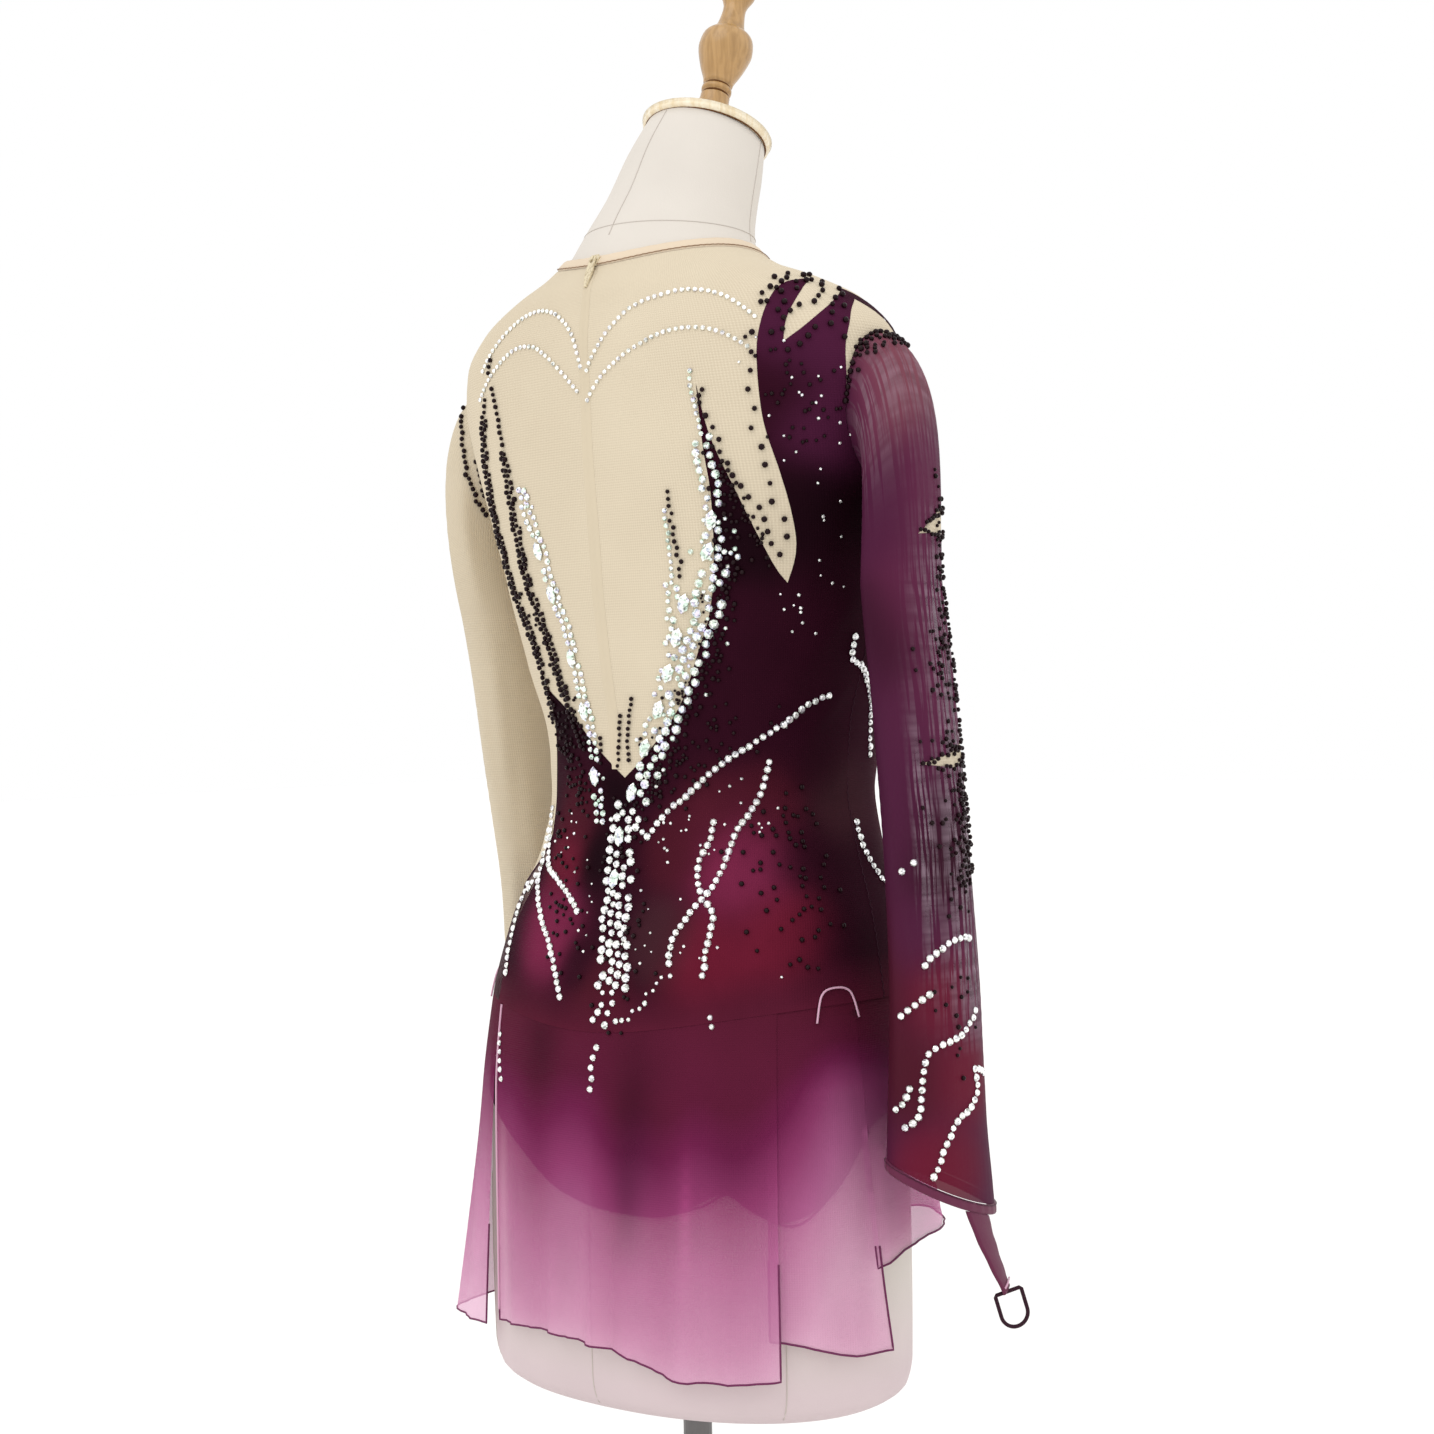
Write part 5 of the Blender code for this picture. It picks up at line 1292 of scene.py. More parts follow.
def build_cuff():
    angles = np.linspace(0.0, 360.0, 145)[:-1]
    rings = []
    for share, out in CUFF_PROFILE:
        ripple = 0.00015 * np.sin(np.radians(angles) * 29.0) * (out > 0.001)
        length = above_band(angles) + SEAM_GAP + share * (CUFF_BAND - SEAM_GAP)
        rings.append(RIGHT.point(angles, length, out + ripple))
    band = rings_mesh("plum_cuff_band", rings, finish("plum_binding"))
    around = RIGHT.point(angles, above_band(angles) + 0.0012, 0.0023)
    normals = RIGHT.normal(angles, above_band(angles))
    sew_on(
        band, "cuff_band",
        overlock("cuff_stitches", [(around, normals)], "plum_thread", 0.0003, 0.0024, 0.00025))
    end_length = cuff_length(STRAP_TOP[0]) + STRAP_LENGTH
    rings = []
    for f in np.linspace(0.0, 1.0, 24):
        low_angle, high_angle = (top + (end - top) * f for top, end in zip(STRAP_TOP, STRAP_END))
        low_length = cuff_length(low_angle) * (1 - f) + f * end_length + SEAM_GAP
        high_length = cuff_length(high_angle) * (1 - f) + f * (end_length + STRAP_SLANT) + SEAM_GAP
        ring = []
        for share, out in STRAP_PROFILE:
            angle = low_angle + (high_angle - low_angle) * share
            length = low_length + (high_length - low_length) * share
            ring.append(RIGHT.point(angle, length, out + 0.0002 * math.sin(19.0 * f + 4.0 * share)))
        rings.append(ring)
    strap = rings_mesh("plum_finger_strap", rings, finish("plum_binding"), caps=True)
    middle = sum(STRAP_END) / 2
    # a keeper across the strap's end, whose pale colour is a painted highlight
    bar = [
        RIGHT.point(angle, end_length + STRAP_SLANT * share - 0.0035, 0.0023)
        for angle, share in ((STRAP_END[0], 0.0), (middle, 0.5), (STRAP_END[1], 1.0))]
    sew_on(strap, "finger_strap", thread("strap_keeper_painted_highlight", [bar], 0.0007, finish("pink_ribbon"), sides=8))
    hang = RIGHT.point(middle, end_length + STRAP_SLANT / 2, 0.0008)
    loop = thread("finger_loop_cord", [loop_path(hang)], LOOP_CORD, finish("elastic"), sides=10, closed=True)
    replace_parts(loop, "finger_loop")


def loop_path(hang):
    """The finger loop: a bar with a round below it, hung from a point."""
    facing = math.radians(LOOP_FACING)
    level = np.array([math.cos(facing), -math.sin(facing), 0.0])
    tilt = math.radians(LOOP_TILT)
    across = level * math.cos(tilt) + np.array([0.0, 0.0, -math.sin(tilt)])
    down = -level * math.sin(tilt) - np.array([0.0, 0.0, math.cos(tilt)])
    half = LOOP_WIDTH / 2
    corner = half * 0.12
    outline = [(place, 0.0) for place in (corner - half, -half / 2, 0.0, half / 2, half - corner)] + [
        (half, corner)]
    for k in range(25):
        angle = math.pi * k / 24
        outline.append((half * math.cos(angle), LOOP_HEIGHT - half + half * math.sin(angle)))
    outline.append((-half, corner))
    start = hang + down * (LOOP_CORD + LOOP_GAP)
    return [start + across * u + down * v for u, v in outline]


# The briefs and the skirt

BRIEFS_EASE = 0.0012
BRIEFS_OVERLAP = 0.012
BRIEFS = Table(
    "turn height",
    [
        (-180, 0.735), (-150, 0.752), (-120, 0.795), (-90, 0.815), (-60, 0.8), (-35, 0.772), (-12, 0.746),
        (6, 0.738), (25, 0.736), (42, 0.745), (48, 0.753), (54, 0.743), (64, 0.732), (74, 0.752), (90, 0.8),
        (115, 0.8), (145, 0.755), (180, 0.735)],
)
SKIRT_PANELS = {
    "skirt_back": Table(
        "turn height flare",
        [
            (-42.5, 0.648, 0.002), (-18, 0.652, 0.003), (5, 0.651, 0.004), (28, 0.641, 0.005),
            (41, 0.635, 0.006), (60.2, 0.636, 0.007)]),
    "skirt_right": Table(
        "turn height flare",
        [
            (58.0, 0.661, 0.004), (61.0, 0.66, 0.004), (72, 0.652, 0.004), (82, 0.645, 0.004),
            (86.5, 0.647, 0.005)]),
    "skirt_front_right": Table(
        "turn height flare",
        [
            (84.0, 0.7, 0.003), (87.5, 0.702, 0.005), (98, 0.709, 0.008), (112, 0.713, 0.024),
            (126, 0.714, 0.036), (145, 0.706, 0.028), (168, 0.69, 0.012)]),
    "skirt_front_left": Table(
        "turn height flare",
        [
            (169.0, 0.664, 0.012), (205, 0.652, 0.013), (250, 0.645, 0.015), (285, 0.64, 0.015),
            (300, 0.64, 0.013), (312.0, 0.643, 0.007)]),
}
SKIRT_TOP_TURNS = {
    "skirt_back": (-47.0, 60.2),
    "skirt_right": (58.0, 80.0),
    "skirt_front_right": (77.5, 168.3),
    "skirt_front_left": (168.7, 312.6),
}
FOLDS = [
    (-30, 7, 0.004), (-9, 7, 0.006), (6, 5, 0.009), (21, 6, 0.005), (36, 6, 0.01), (51, 6, 0.006),
    (71, 6, 0.006), (86, 6, 0.004), (112, 8, 0.008), (137, 9, 0.009), (157, 7, 0.008),
    (182, 8, 0.009), (204, 8, 0.01), (226, 8, 0.009), (248, 8, 0.01), (268, 7, 0.008), (289, 7, 0.01),
]
HEM_Z = 0.64
FLARE_POWER = 1.7
SKIRT_RADIUS = 0.15
RIPPLE = 0.001             # height of the small waves between the folds


def skirt_flat(turn, height):
    return (math.radians(turn) * SKIRT_RADIUS, float(height))


def skirt_point(hem, turn, height, out):
    """A point of a skirt panel, with its flare, its folds and small waves towards the hem."""
    turn = np.asarray(turn, float)
    height = np.asarray(height, float)
    drop = (hip_height(turn) - height) / (hip_height(turn) - HEM_Z)
    growth = np.maximum(drop, 0.0) ** FLARE_POWER
    flare = hem.read("flare", turn)
    for middle, spread, depth in FOLDS:
        flare = flare + depth * np.exp(-(((turn - middle) / spread) ** 2))
    flare = flare + RIPPLE * (np.sin(0.62 * turn + 5.0 * height) + 0.6 * np.sin(1.31 * turn - 9.0 * height))
    point = cloth_point(turn, np.maximum(height, HEM_Z), out + flare * growth)
    point[..., 2] += np.minimum(height - HEM_Z, 0.0)
    return point


def on_skirt(hem, lift=0.0):
    def place(s, t):
        return skirt_point(hem, np.degrees(s / SKIRT_RADIUS), t, CLOTH + lift)

    return place


# The skirt's dye at heights from its top to its hem
OMBRE = [
    (0.87, "#52172b"), (0.825, "#5a1934"), (0.797, "#6e204a"), (0.762, "#953f6f"),
    (0.715, "#ba6898"), (0.67, "#ce88b0"), (0.635, "#da9fc0"),
]
# Places where the dark dye reaches lower (a plus) or the pale one higher: turn, reach and shift in metres
DYE_REACH = [
    (-40, 12, -0.01), (-22, 9, 0.012), (-4, 9, -0.006), (15, 9, 0.022), (31, 8, 0.024), (50, 9, 0.02),
    (75, 9, -0.064), (88, 9, -0.04), (125, 16, -0.02), (165, 14, 0.008), (205, 12, -0.008), (245, 12, 0.01),
    (285, 12, -0.006), (303, 9, -0.022),
]
# Darker patches, and one narrow lighter streak that is a painted highlight along a fold: turn, height, half
# width in degrees, half height and share taken away
SKIRT_PATCHES_AND_HIGHLIGHT = [
    (21, 0.8, 9, 0.06, 0.42), (-21, 0.838, 9, 0.03, 0.38), (19, 0.745, 5, 0.03, 0.26),
    (50, 0.77, 8, 0.04, 0.12), (-30, 0.7, 9, 0.05, 0.08), (-7, 0.7, 5, 0.03, 0.1),
    # a minus share adds light: a painted highlight along a fold
    (38, 0.745, 1.3, 0.035, -0.3),
]


def skirt_dye_and_highlight(s, t):
    turn = np.degrees(s / SKIRT_RADIUS)
    level = t.copy()
    below_seam = np.clip((hip_height(turn) - 0.004 - t) / 0.05, 0.0, 1.0)
    for middle, reach, shift in DYE_REACH:
        for whole in (-360.0, 0.0, 360.0):
            level = level + shift * below_seam * np.exp(-(((turn - middle - whole) / reach) ** 2))
    heights = np.array([height for height, _ in OMBRE])[::-1]
    colours = np.array([linear(code) for _, code in OMBRE])[::-1]
    left = np.ones(len(turn))
    # darker patches, and the painted highlight along a fold
    for middle, height, wide, tall, share in SKIRT_PATCHES_AND_HIGHLIGHT:
        left = left * (1.0 - share * np.exp(-(((turn - middle) / wide) ** 2) - ((t - height) / tall) ** 2))
    channels = [np.interp(level, heights, colours[:, k]) * left for k in range(3)]
    # the deeper the dye, the less shows through
    channels.append(np.interp(level, [0.68, 0.74, 0.8, 0.84], [0.95, 0.99, 1.17, 1.32]))
    return np.stack(channels, axis=-1)


def briefs_edge(turn):
    return BRIEFS.read("height", turn)


def out_from_body(turn, height, out):
    """A point out from the form itself."""
    return body_point(turn, height) + body_normal(turn, height) * out


def briefs_place(s, t):
    return out_from_body(np.degrees(s / SKIRT_RADIUS), t, BRIEFS_EASE + CLOTH)


def build_briefs():
    top = level_line(lambda turn: hip_height(turn) + BRIEFS_OVERLAP, -180.0, 180.0, skirt_flat)
    legs = level_line(briefs_edge, -180.0, 180.0, skirt_flat)
    sides = smooth_line([top[-1], legs[-1]], cloth_step())
    outline = joined(top, sides, legs[::-1], [(top[0][0], t) for _, t in sides[::-1]])
    made = cloth("plum_briefs", outline, briefs_place, 1.4 * cloth_step(), finish("bodice"))
    paint(made, lambda s, t: np.tile(np.array(linear("#3f0f24")), (len(s), 1)))
    turns = np.linspace(-180.0, 180.0, 181)[:-1]
    edge = out_from_body(turns, briefs_edge(turns), 0.0022)
    elastic = thread("briefs_leg_elastic", [edge], 0.0008, finish("plum_thread"), closed=True)
    sew_on(made, "briefs", elastic)


# Hanger loops of narrow ribbon at the side seams, by turn and height
HANGER_LOOPS = {
    "skirt_right": (
        "hanger_loop_right", [(69.6, 0.86), (71, 0.877), (74.5, 0.881), (78.5, 0.878), (80.6, 0.862)]),
    "skirt_front_left": ("hanger_loop_left", [(-66, 0.862), (-69, 0.878), (-73, 0.88), (-77.5, 0.864)]),
}
SKIRT_TUCK = 0.003          # the skirt's top goes under the bodice's edge
# A pale line of painted light down the left slit, by turn and height
SLIT_LIGHT_LINE = [(-46.9, 0.862), (-45.6, 0.8), (-44.2, 0.74), (-43, 0.69), (-42.6, 0.655)]
HEM_VISIBLE_Z = 0.715       # above this the rolled edges of the slits turn under
# Two panels reach a little way under the one before them
SKIRT_LIFTS = {
    "skirt_back": 0.0,
    "skirt_right": -0.0005,
    "skirt_front_right": -0.001,
    "skirt_front_left": 0.0,
}


def build_skirt():
    for name, hem in SKIRT_PANELS.items():
        start, end = SKIRT_TOP_TURNS[name]
        high = level_line(lambda turn: hip_height(turn) + SKIRT_TUCK, start, end, skirt_flat)
        low = level_line(lambda turn: hem.read("height", turn), hem.keys[0], hem.keys[-1], skirt_flat)
        right_side = smooth_line([high[-1], low[-1]], cloth_step())
        left_side = smooth_line([low[0], high[0]], cloth_step())
        outline = joined(high, right_side, low[::-1], left_side)
        made = cloth(
            "chiffon_" + name, outline, on_skirt(hem, SKIRT_LIFTS[name]), cloth_step(), finish("chiffon"))
        paint(made, skirt_dye_and_highlight)
        ends = [[point for point in side if point[1] < HEM_VISIBLE_Z] for side in (right_side, left_side)]
        border = np.array(joined(ends[0], low[::-1], ends[1]))
        path = on_skirt(hem)(border[:, 0], border[:, 1])
        trims = [thread("rolled_hem_" + name, [path], 0.0007, finish("hem"))]
        if name == "skirt_back":
            # a pale cord down the left slit is painted light: it stands for the bright form seen through the
            # gap
            edge = np.array(smooth_line([skirt_flat(*place) for place in SLIT_LIGHT_LINE], cloth_step()))
            path = on_skirt(hem, 0.0004)(edge[:, 0], edge[:, 1])
            trims.append(thread("painted_slit_light", [path], 0.0008, finish("pink_ribbon")))
        if name in HANGER_LOOPS:
            loop, places = HANGER_LOOPS[name]
            path, _ = line_on_body(places, 0.0016, 0.002)
            trims.append(thread(loop, [path], 0.0007, finish("pink_ribbon"), sides=8))
        sew_on(made, name, *trims)


# The zip at the top of the centre back

TAPE_TOP = 1.36
TAPE_LOW = 1.026
TAPE_TURN = 0.4
TAPE_HALF_TURN = 2.6
TEETH_LOW = 1.356


def build_zip():
    for node in ("zip_slider", "zip_pull"):
        coat(node, "enamel")
    columns = np.linspace(-1.0, 1.0, 9)
    # the tape thins to nothing at its edges and has a fine groove where the teeth meet
    rise = 0.0001 + 0.0006 * (1.0 - np.abs(columns)) ** 0.5 - 0.0004 * (columns == 0.0)
    rows = [
        cloth_point(TAPE_TURN + columns * TAPE_HALF_TURN, height + 0.0 * columns, CLOTH + rise)
        for height in np.arange(TAPE_LOW, TAPE_TOP, 0.003)]
    rings_mesh("nude_zip_tape", rows, finish("nude_tape"), closed=False)
    teeth = []
    for k, height in enumerate(np.arange(TEETH_LOW, TAPE_TOP, 0.0012)):
        side = 1.0 if k % 2 else -1.0
        teeth.append(cloth_point(np.array([-0.35, 0.55]) * side, height + np.zeros(2), CLOTH + 0.0008))
    thread("zip_teeth", teeth, 0.0004, finish("enamel"))


# Stones

# The large stones, as (turn, height) along the two strips beside the open back
STONE_STRIPS = {
    "right": [
        (43, 1.188), (41, 1.168), (33, 1.135), (30, 1.113), (26, 1.09), (21, 1.066), (14.5, 1.04), (8, 1.01),
        (3, 0.98), (3, 0.951)],
    "left": [(-27, 1.176), (-22, 1.146), (-16, 1.102), (-14, 1.066), (-11, 1.021)],
}
STONE_LENGTH = 0.014
STONE_WIDTH = 0.0085
STONE_RISE = 0.003
STONE_LAY = 0.0006


def ring_corners(rings, sides, length, width, rise):
    """Corners of a stone's level rings: each has a size, a lift and a turn in parts of a side."""
    corners = []
    for size, lift, turned_by in rings:
        for k in range(sides):
            angle = 2 * math.pi * (k + turned_by) / sides
            corners.append(
                (math.cos(angle) * size * length / 2, math.sin(angle) * size * width / 2, lift * rise))
    return corners


def ring_faces(ring, sides):
    """The faces between a ring of corners and the one above it."""
    faces = []
    for k in range(sides):
        low, after = ring * sides + k, ring * sides + (k + 1) % sides
        faces.append((low, after, after + sides, low + sides))
    return faces


def gem(width, length, rise, sides=8, table=0.56):
    """Corners and faces of a faceted stone: a girdle, a bevelled crown and a flat table."""
    # one ring is turned half a facet, which cuts kites and stars into the crown
    rings = ((0.82, 0.0, 0.0), (1.0, 0.25, 0.0), (0.8, 0.68, 0.5), (table, 1.0, 0.0))
    faces = ring_faces(0, sides)
    for a, b, c, d in ring_faces(1, sides):
        faces += [(a, b, d), (b, c, d)]
    for a, b, c, d in ring_faces(2, sides):
        faces += [(a, b, c), (a, c, d)]
    faces.append(tuple(range(3 * sides, 4 * sides)))
    return ring_corners(rings, sides, length, width, rise), faces


def dome(width, rise):
    """Corners and faces of a round bead, sewn flat."""
    sides = 8
    rings = ((0.8, 0.0, 0.0), (1.0, 0.42, 0.0), (0.74, 0.8, 0.0))
    faces = ring_faces(0, sides) + ring_faces(1, sides)
    faces += [(2 * sides + k, 2 * sides + (k + 1) % sides, 3 * sides) for k in range(sides)]
    return ring_corners(rings, sides, width, width, rise) + [(0.0, 0.0, rise)], faces


class Surface:
    """A cloth to sew on: its flat pattern both ways, where the pattern lies, and its outward direction."""

    def __init__(self, flat, back, place, normal):
        self.flat = flat
        self.back = back
        self.place = place
        self.normal = normal

    def line(self, points):
        """Places finely spaced along a smooth line, with their distance along it."""
        flat = np.array(smooth_line([self.flat(*point) for point in points], 0.002))
        return flat, run_along(self.place(flat[:, 0], flat[:, 1]))


def from_skirt_flat(s, t):
    return np.degrees(s / SKIRT_RADIUS), t


def from_sleeve_flat(s, t):
    return np.degrees(s / SLEEVE_RADIUS), t


BODICE_CLOTH = Surface(body_flat, from_body_flat, on_form(PLUM_LIFT), body_normal)
SKIRT_CLOTH = Surface(skirt_flat, from_skirt_flat, on_skirt(SKIRT_PANELS["skirt_back"]), body_normal)
RIGHT_SLEEVE_CLOTH = Surface(
    sleeve_flat, from_sleeve_flat, on_sleeve(RIGHT, RIGHT_CREASES, 0.0), RIGHT.normal,
)
LEFT_SLEEVE_CLOTH = Surface(
    sleeve_flat, from_sleeve_flat, on_sleeve(LEFT, LEFT_CREASES, 0.0),
    lambda angle, length: LEFT.mirrored(LEFT.normal(angle, length)))


class Sewing:
    """Gathers stones, none through another, and makes them into one piece."""

    taken = np.zeros((0, 4))

    def __init__(self, name, finish_name, seed, cloth=BODICE_CLOTH):
        self.name = name
        self.finish_name = finish_name
        self.chance = random.Random(seed)
        self.cloth = cloth
        self.points = []
        self.faces = []

    def sew(self, surface, s, t, width):
        """Sews one stone unless it would touch one that is there."""
        place = surface.place(s, t)
        gaps = np.linalg.norm(Sewing.taken[:, :3] - place, axis=1) - (Sewing.taken[:, 3] + width) / 2
        if len(gaps) and gaps.min() < -0.08 * width:
            return
        Sewing.taken = np.vstack([Sewing.taken, [*place, width]])
        normal = surface.normal(*surface.back(s, t))
        if self.finish_name == "jet":
            corners, faces = dome(width, 0.72 * width)
        else:
            corners, faces = gem(width, width, 0.42 * width)
        turn = self.chance.uniform(0.0, math.pi)
        level = unit(np.cross(normal, [0.1, 0.2, 1.0]))
        first = level * math.cos(turn) + np.cross(normal, level) * math.sin(turn)
        second = np.cross(normal, first)
        start = len(self.points)
        self.points += [place + first * x + second * y + normal * z for x, y, z in corners]
        self.faces += [tuple(start + i for i in face) for face in faces]

    def row(self, points, width, pitch, rows=1, spread=0.0, wander=0.15, vary=0.12, on=None):
        """Sews a row of stones along a line, or several loose rows within a spread."""
        on = on or self.cloth
        flat, run = on.line(points)

        def at_run(length):
            return np.interp(length, run, flat[:, 0]), np.interp(length, run, flat[:, 1])

        for row in range(rows):
            offset = 0.0 if rows == 1 else spread * (row / (rows - 1) - 0.5)
            at = pitch * (0.5 + 0.37 * row)
            while at < run[-1]:
                s, t = at_run(at)
                way = unit(np.subtract(at_run(at + 0.002), at_run(at - 0.002)))
                drift = offset + self.chance.uniform(-wander, wander) * width
                size = width * (1.0 + self.chance.uniform(-vary, vary))
                self.sew(on, s - way[1] * drift, t + way[0] * drift, size)
                at += pitch * (1.0 + self.chance.uniform(-0.06, 0.06))

    def strew(self, points, reach, count, widths, ends=None):
        """Strews stones near a line, thickest close to it; ends gives another reach at the line's end."""
        flat, run = self.cloth.line(points)
        for _ in range(count):
            f = self.chance.random()
            here = reach if ends is None else reach + (ends - reach) * f
            s = np.interp(f * run[-1], run, flat[:, 0]) + self.chance.gauss(0.0, here)
            t = np.interp(f * run[-1], run, flat[:, 1]) + self.chance.gauss(0.0, here)
            self.sew(self.cloth, s, t, self.chance.uniform(*widths))

    def finish(self):
        bead = self.finish_name == "jet"
        return mesh_object(self.name, self.points, self.faces, finish(self.finish_name), smooth=bead)


def build_large_stones():
    for strip, places in STONE_STRIPS.items():
        for k, (turn, height) in enumerate(places):
            after = places[k + 1] if k + 1 < len(places) else places[k - 1]
            base = cloth_point(turn, height, CLOTH + STONE_LAY)
            normal = body_normal(turn, height)
            towards = cloth_point(*after, CLOTH + STONE_LAY) - base
            along = unit(towards - normal * np.dot(towards, normal))
            across = np.cross(normal, along)
            corners, faces = gem(STONE_WIDTH, STONE_LENGTH, STONE_RISE, 6, 0.5)
            points = [base + along * x + across * y + normal * z for x, y, z in corners]
            name = strip + "_" + str(k + 1)
            made = mesh_object("crystal_" + name, points, faces, finish("aurora"), smooth=False)
            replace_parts(made, "stone_" + name)
            for share in (-0.3, 0.0, 0.3):
                room = [*(base + along * share * STONE_LENGTH), 0.7 * STONE_WIDTH]
                Sewing.taken = np.vstack([Sewing.taken, room])


# Rows of small crystals on the shoulders, in two scallops on each side of the zip
SCALLOPS = [
    [(-56, 1.303), (-47.4, 1.3255), (-38, 1.335), (-28, 1.337), (-17, 1.332), (-6.4, 1.3175), (-0.8, 1.293)],
    [
        (-56, 1.284), (-49.8, 1.3005), (-40, 1.3128), (-30, 1.3137), (-22, 1.3074), (-11.9, 1.2935),
        (-2.0, 1.276)],
    [
        (1.4, 1.29), (5, 1.3), (13.9, 1.3158), (25.4, 1.3291), (37.7, 1.3349), (48, 1.3365), (57.3, 1.3306),
        (63, 1.314)],
    [
        (1.0, 1.27), (4, 1.278), (11.2, 1.2895), (22.8, 1.3004), (36.0, 1.3096), (46, 1.3115), (54, 1.307),
        (60.2, 1.2948)],
]
# Single rows of white crystals that branch over the hip
BRANCHES = [
    [
        (79.3, 1.0747), (71.6, 1.0682), (65.7, 1.058), (57, 1.0464), (47.8, 1.035), (39, 1.022),
        (30.8, 1.008), (22, 0.9945), (15, 0.978)],
    [
        (58.9, 1.032), (56.5, 1.012), (52.8, 0.997), (47.9, 0.982), (45, 0.9636), (41.6, 0.946),
        (36.6, 0.933), (33.9, 0.925), (31, 0.9155), (30, 0.904), (31.1, 0.893)],
    [
        (40.3, 0.992), (39.6, 0.979), (36.4, 0.964), (37.6, 0.944), (42.5, 0.93), (42.3, 0.919),
        (41.5, 0.9075), (41, 0.8867)],
    [(-44.0, 0.9896), (-41.2, 0.969), (-37, 0.957), (-28.4, 0.949), (-19.7, 0.94), (-11.9, 0.9285)],
    [(-44.5, 0.962), (-43.5, 0.95), (-37.1, 0.9346), (-28.1, 0.9157), (-20.3, 0.8966), (-13.2, 0.87)],
    [(84.5, 1.115), (84.6, 1.098), (89.5, 1.094), (93.5, 1.085), (99.1, 1.073), (103, 1.055), (104, 1.03)],
    [(92, 0.988), (92.8, 0.97), (95.6, 0.958), (99, 0.947), (104, 0.941)],
    [(-52, 0.945), (-51.5, 0.925), (-50.5, 0.905), (-49, 0.893), (-47, 0.88)],
    [(-46.5, 1.0), (-45.5, 0.975), (-46.5, 0.955), (-49, 0.935)],
]
SKIRT_BRANCHES = [[(43.5, 0.868), (44.0, 0.858)], [(-46, 0.845), (-44.5, 0.828), (-42.5, 0.812)]]
SLEEVE_BRANCHES = [
    [(-18, 0.376), (3, 0.374), (31, 0.38), (48, 0.386), (57, 0.394)],
    [(44, 0.406), (60, 0.412), (83, 0.42), (90, 0.424)],
    [
        (-24, 0.42), (-10, 0.428), (10, 0.436), (33, 0.44), (50, 0.446), (55, 0.456), (57, 0.472),
        (61, 0.485), (72, 0.489), (86, 0.492)], [(71, 0.464), (79, 0.474), (96, 0.481)],
    [
        (-42, 0.464), (-14, 0.459), (-18, 0.471), (-4, 0.482), (15, 0.489), (27, 0.5), (35, 0.51),
        (40, 0.519), (48, 0.525)], [(75, 0.328), (88, 0.333)], [(57, 0.323), (70, 0.328)],
]
# The two glittering strips beside the open back, and the column where they meet
STRIP_INSIDE = [(34.5, 1.136), (30.5, 1.112), (27, 1.09), (21.8, 1.066), (15.5, 1.04), (9.5, 1.01)]
STRIP_TOP = [(44.4, 1.286), (43.4, 1.276), (43.8, 1.262), (44.2, 1.24)]
STRIP_SIDE = [
    (43.8, 1.246), (44.2, 1.221), (43.6, 1.195), (42.8, 1.163), (40.2, 1.133), (35.8, 1.106), (30.0, 1.08),
    (23.0, 1.053), (16.0, 1.026), (11.5, 1.006),
]
DARK_SIDE = [
    (47.5, 1.225), (47.5, 1.19), (46.5, 1.15), (43, 1.115), (38, 1.088), (30, 1.06), (22, 1.03), (16, 1.005),
]
COLUMN = [(9, 1.006), (5, 0.985), (4.5, 0.955), (6.8, 0.928), (8.0, 0.912), (9.5, 0.897), (9.8, 0.88)]
COLUMN_TAIL = [(9.0, 0.878), (7.5, 0.866), (5.0, 0.857)]
SKIRT_TAIL = [(5.2, 0.846), (4.4, 0.836), (3.5, 0.826), (3.7, 0.812)]
TAIL_BRANCH = [(9.0, 0.858), (14.0, 0.86), (20.0, 0.867), (25.0, 0.88), (31.0, 0.893)]
LEFT_STRIP = [
    (-33.5, 1.222), (-31.9, 1.207), (-26.1, 1.18), (-21.0, 1.147), (-17.0, 1.124), (-14.6, 1.098),
    (-13.0, 1.072), (-11.6, 1.053), (-10.6, 1.036), (-10.2, 1.02), (-8.9, 1.001), (-7.0, 0.988),
]
SECOND_SPIKE = [(29.3, 1.198), (29.6, 1.183), (29.8, 1.165), (29.6, 1.148)]
SECOND_SPIKE_LOW = [(29.8, 1.15), (29.0, 1.125), (27.0, 1.1), (23.5, 1.08)]


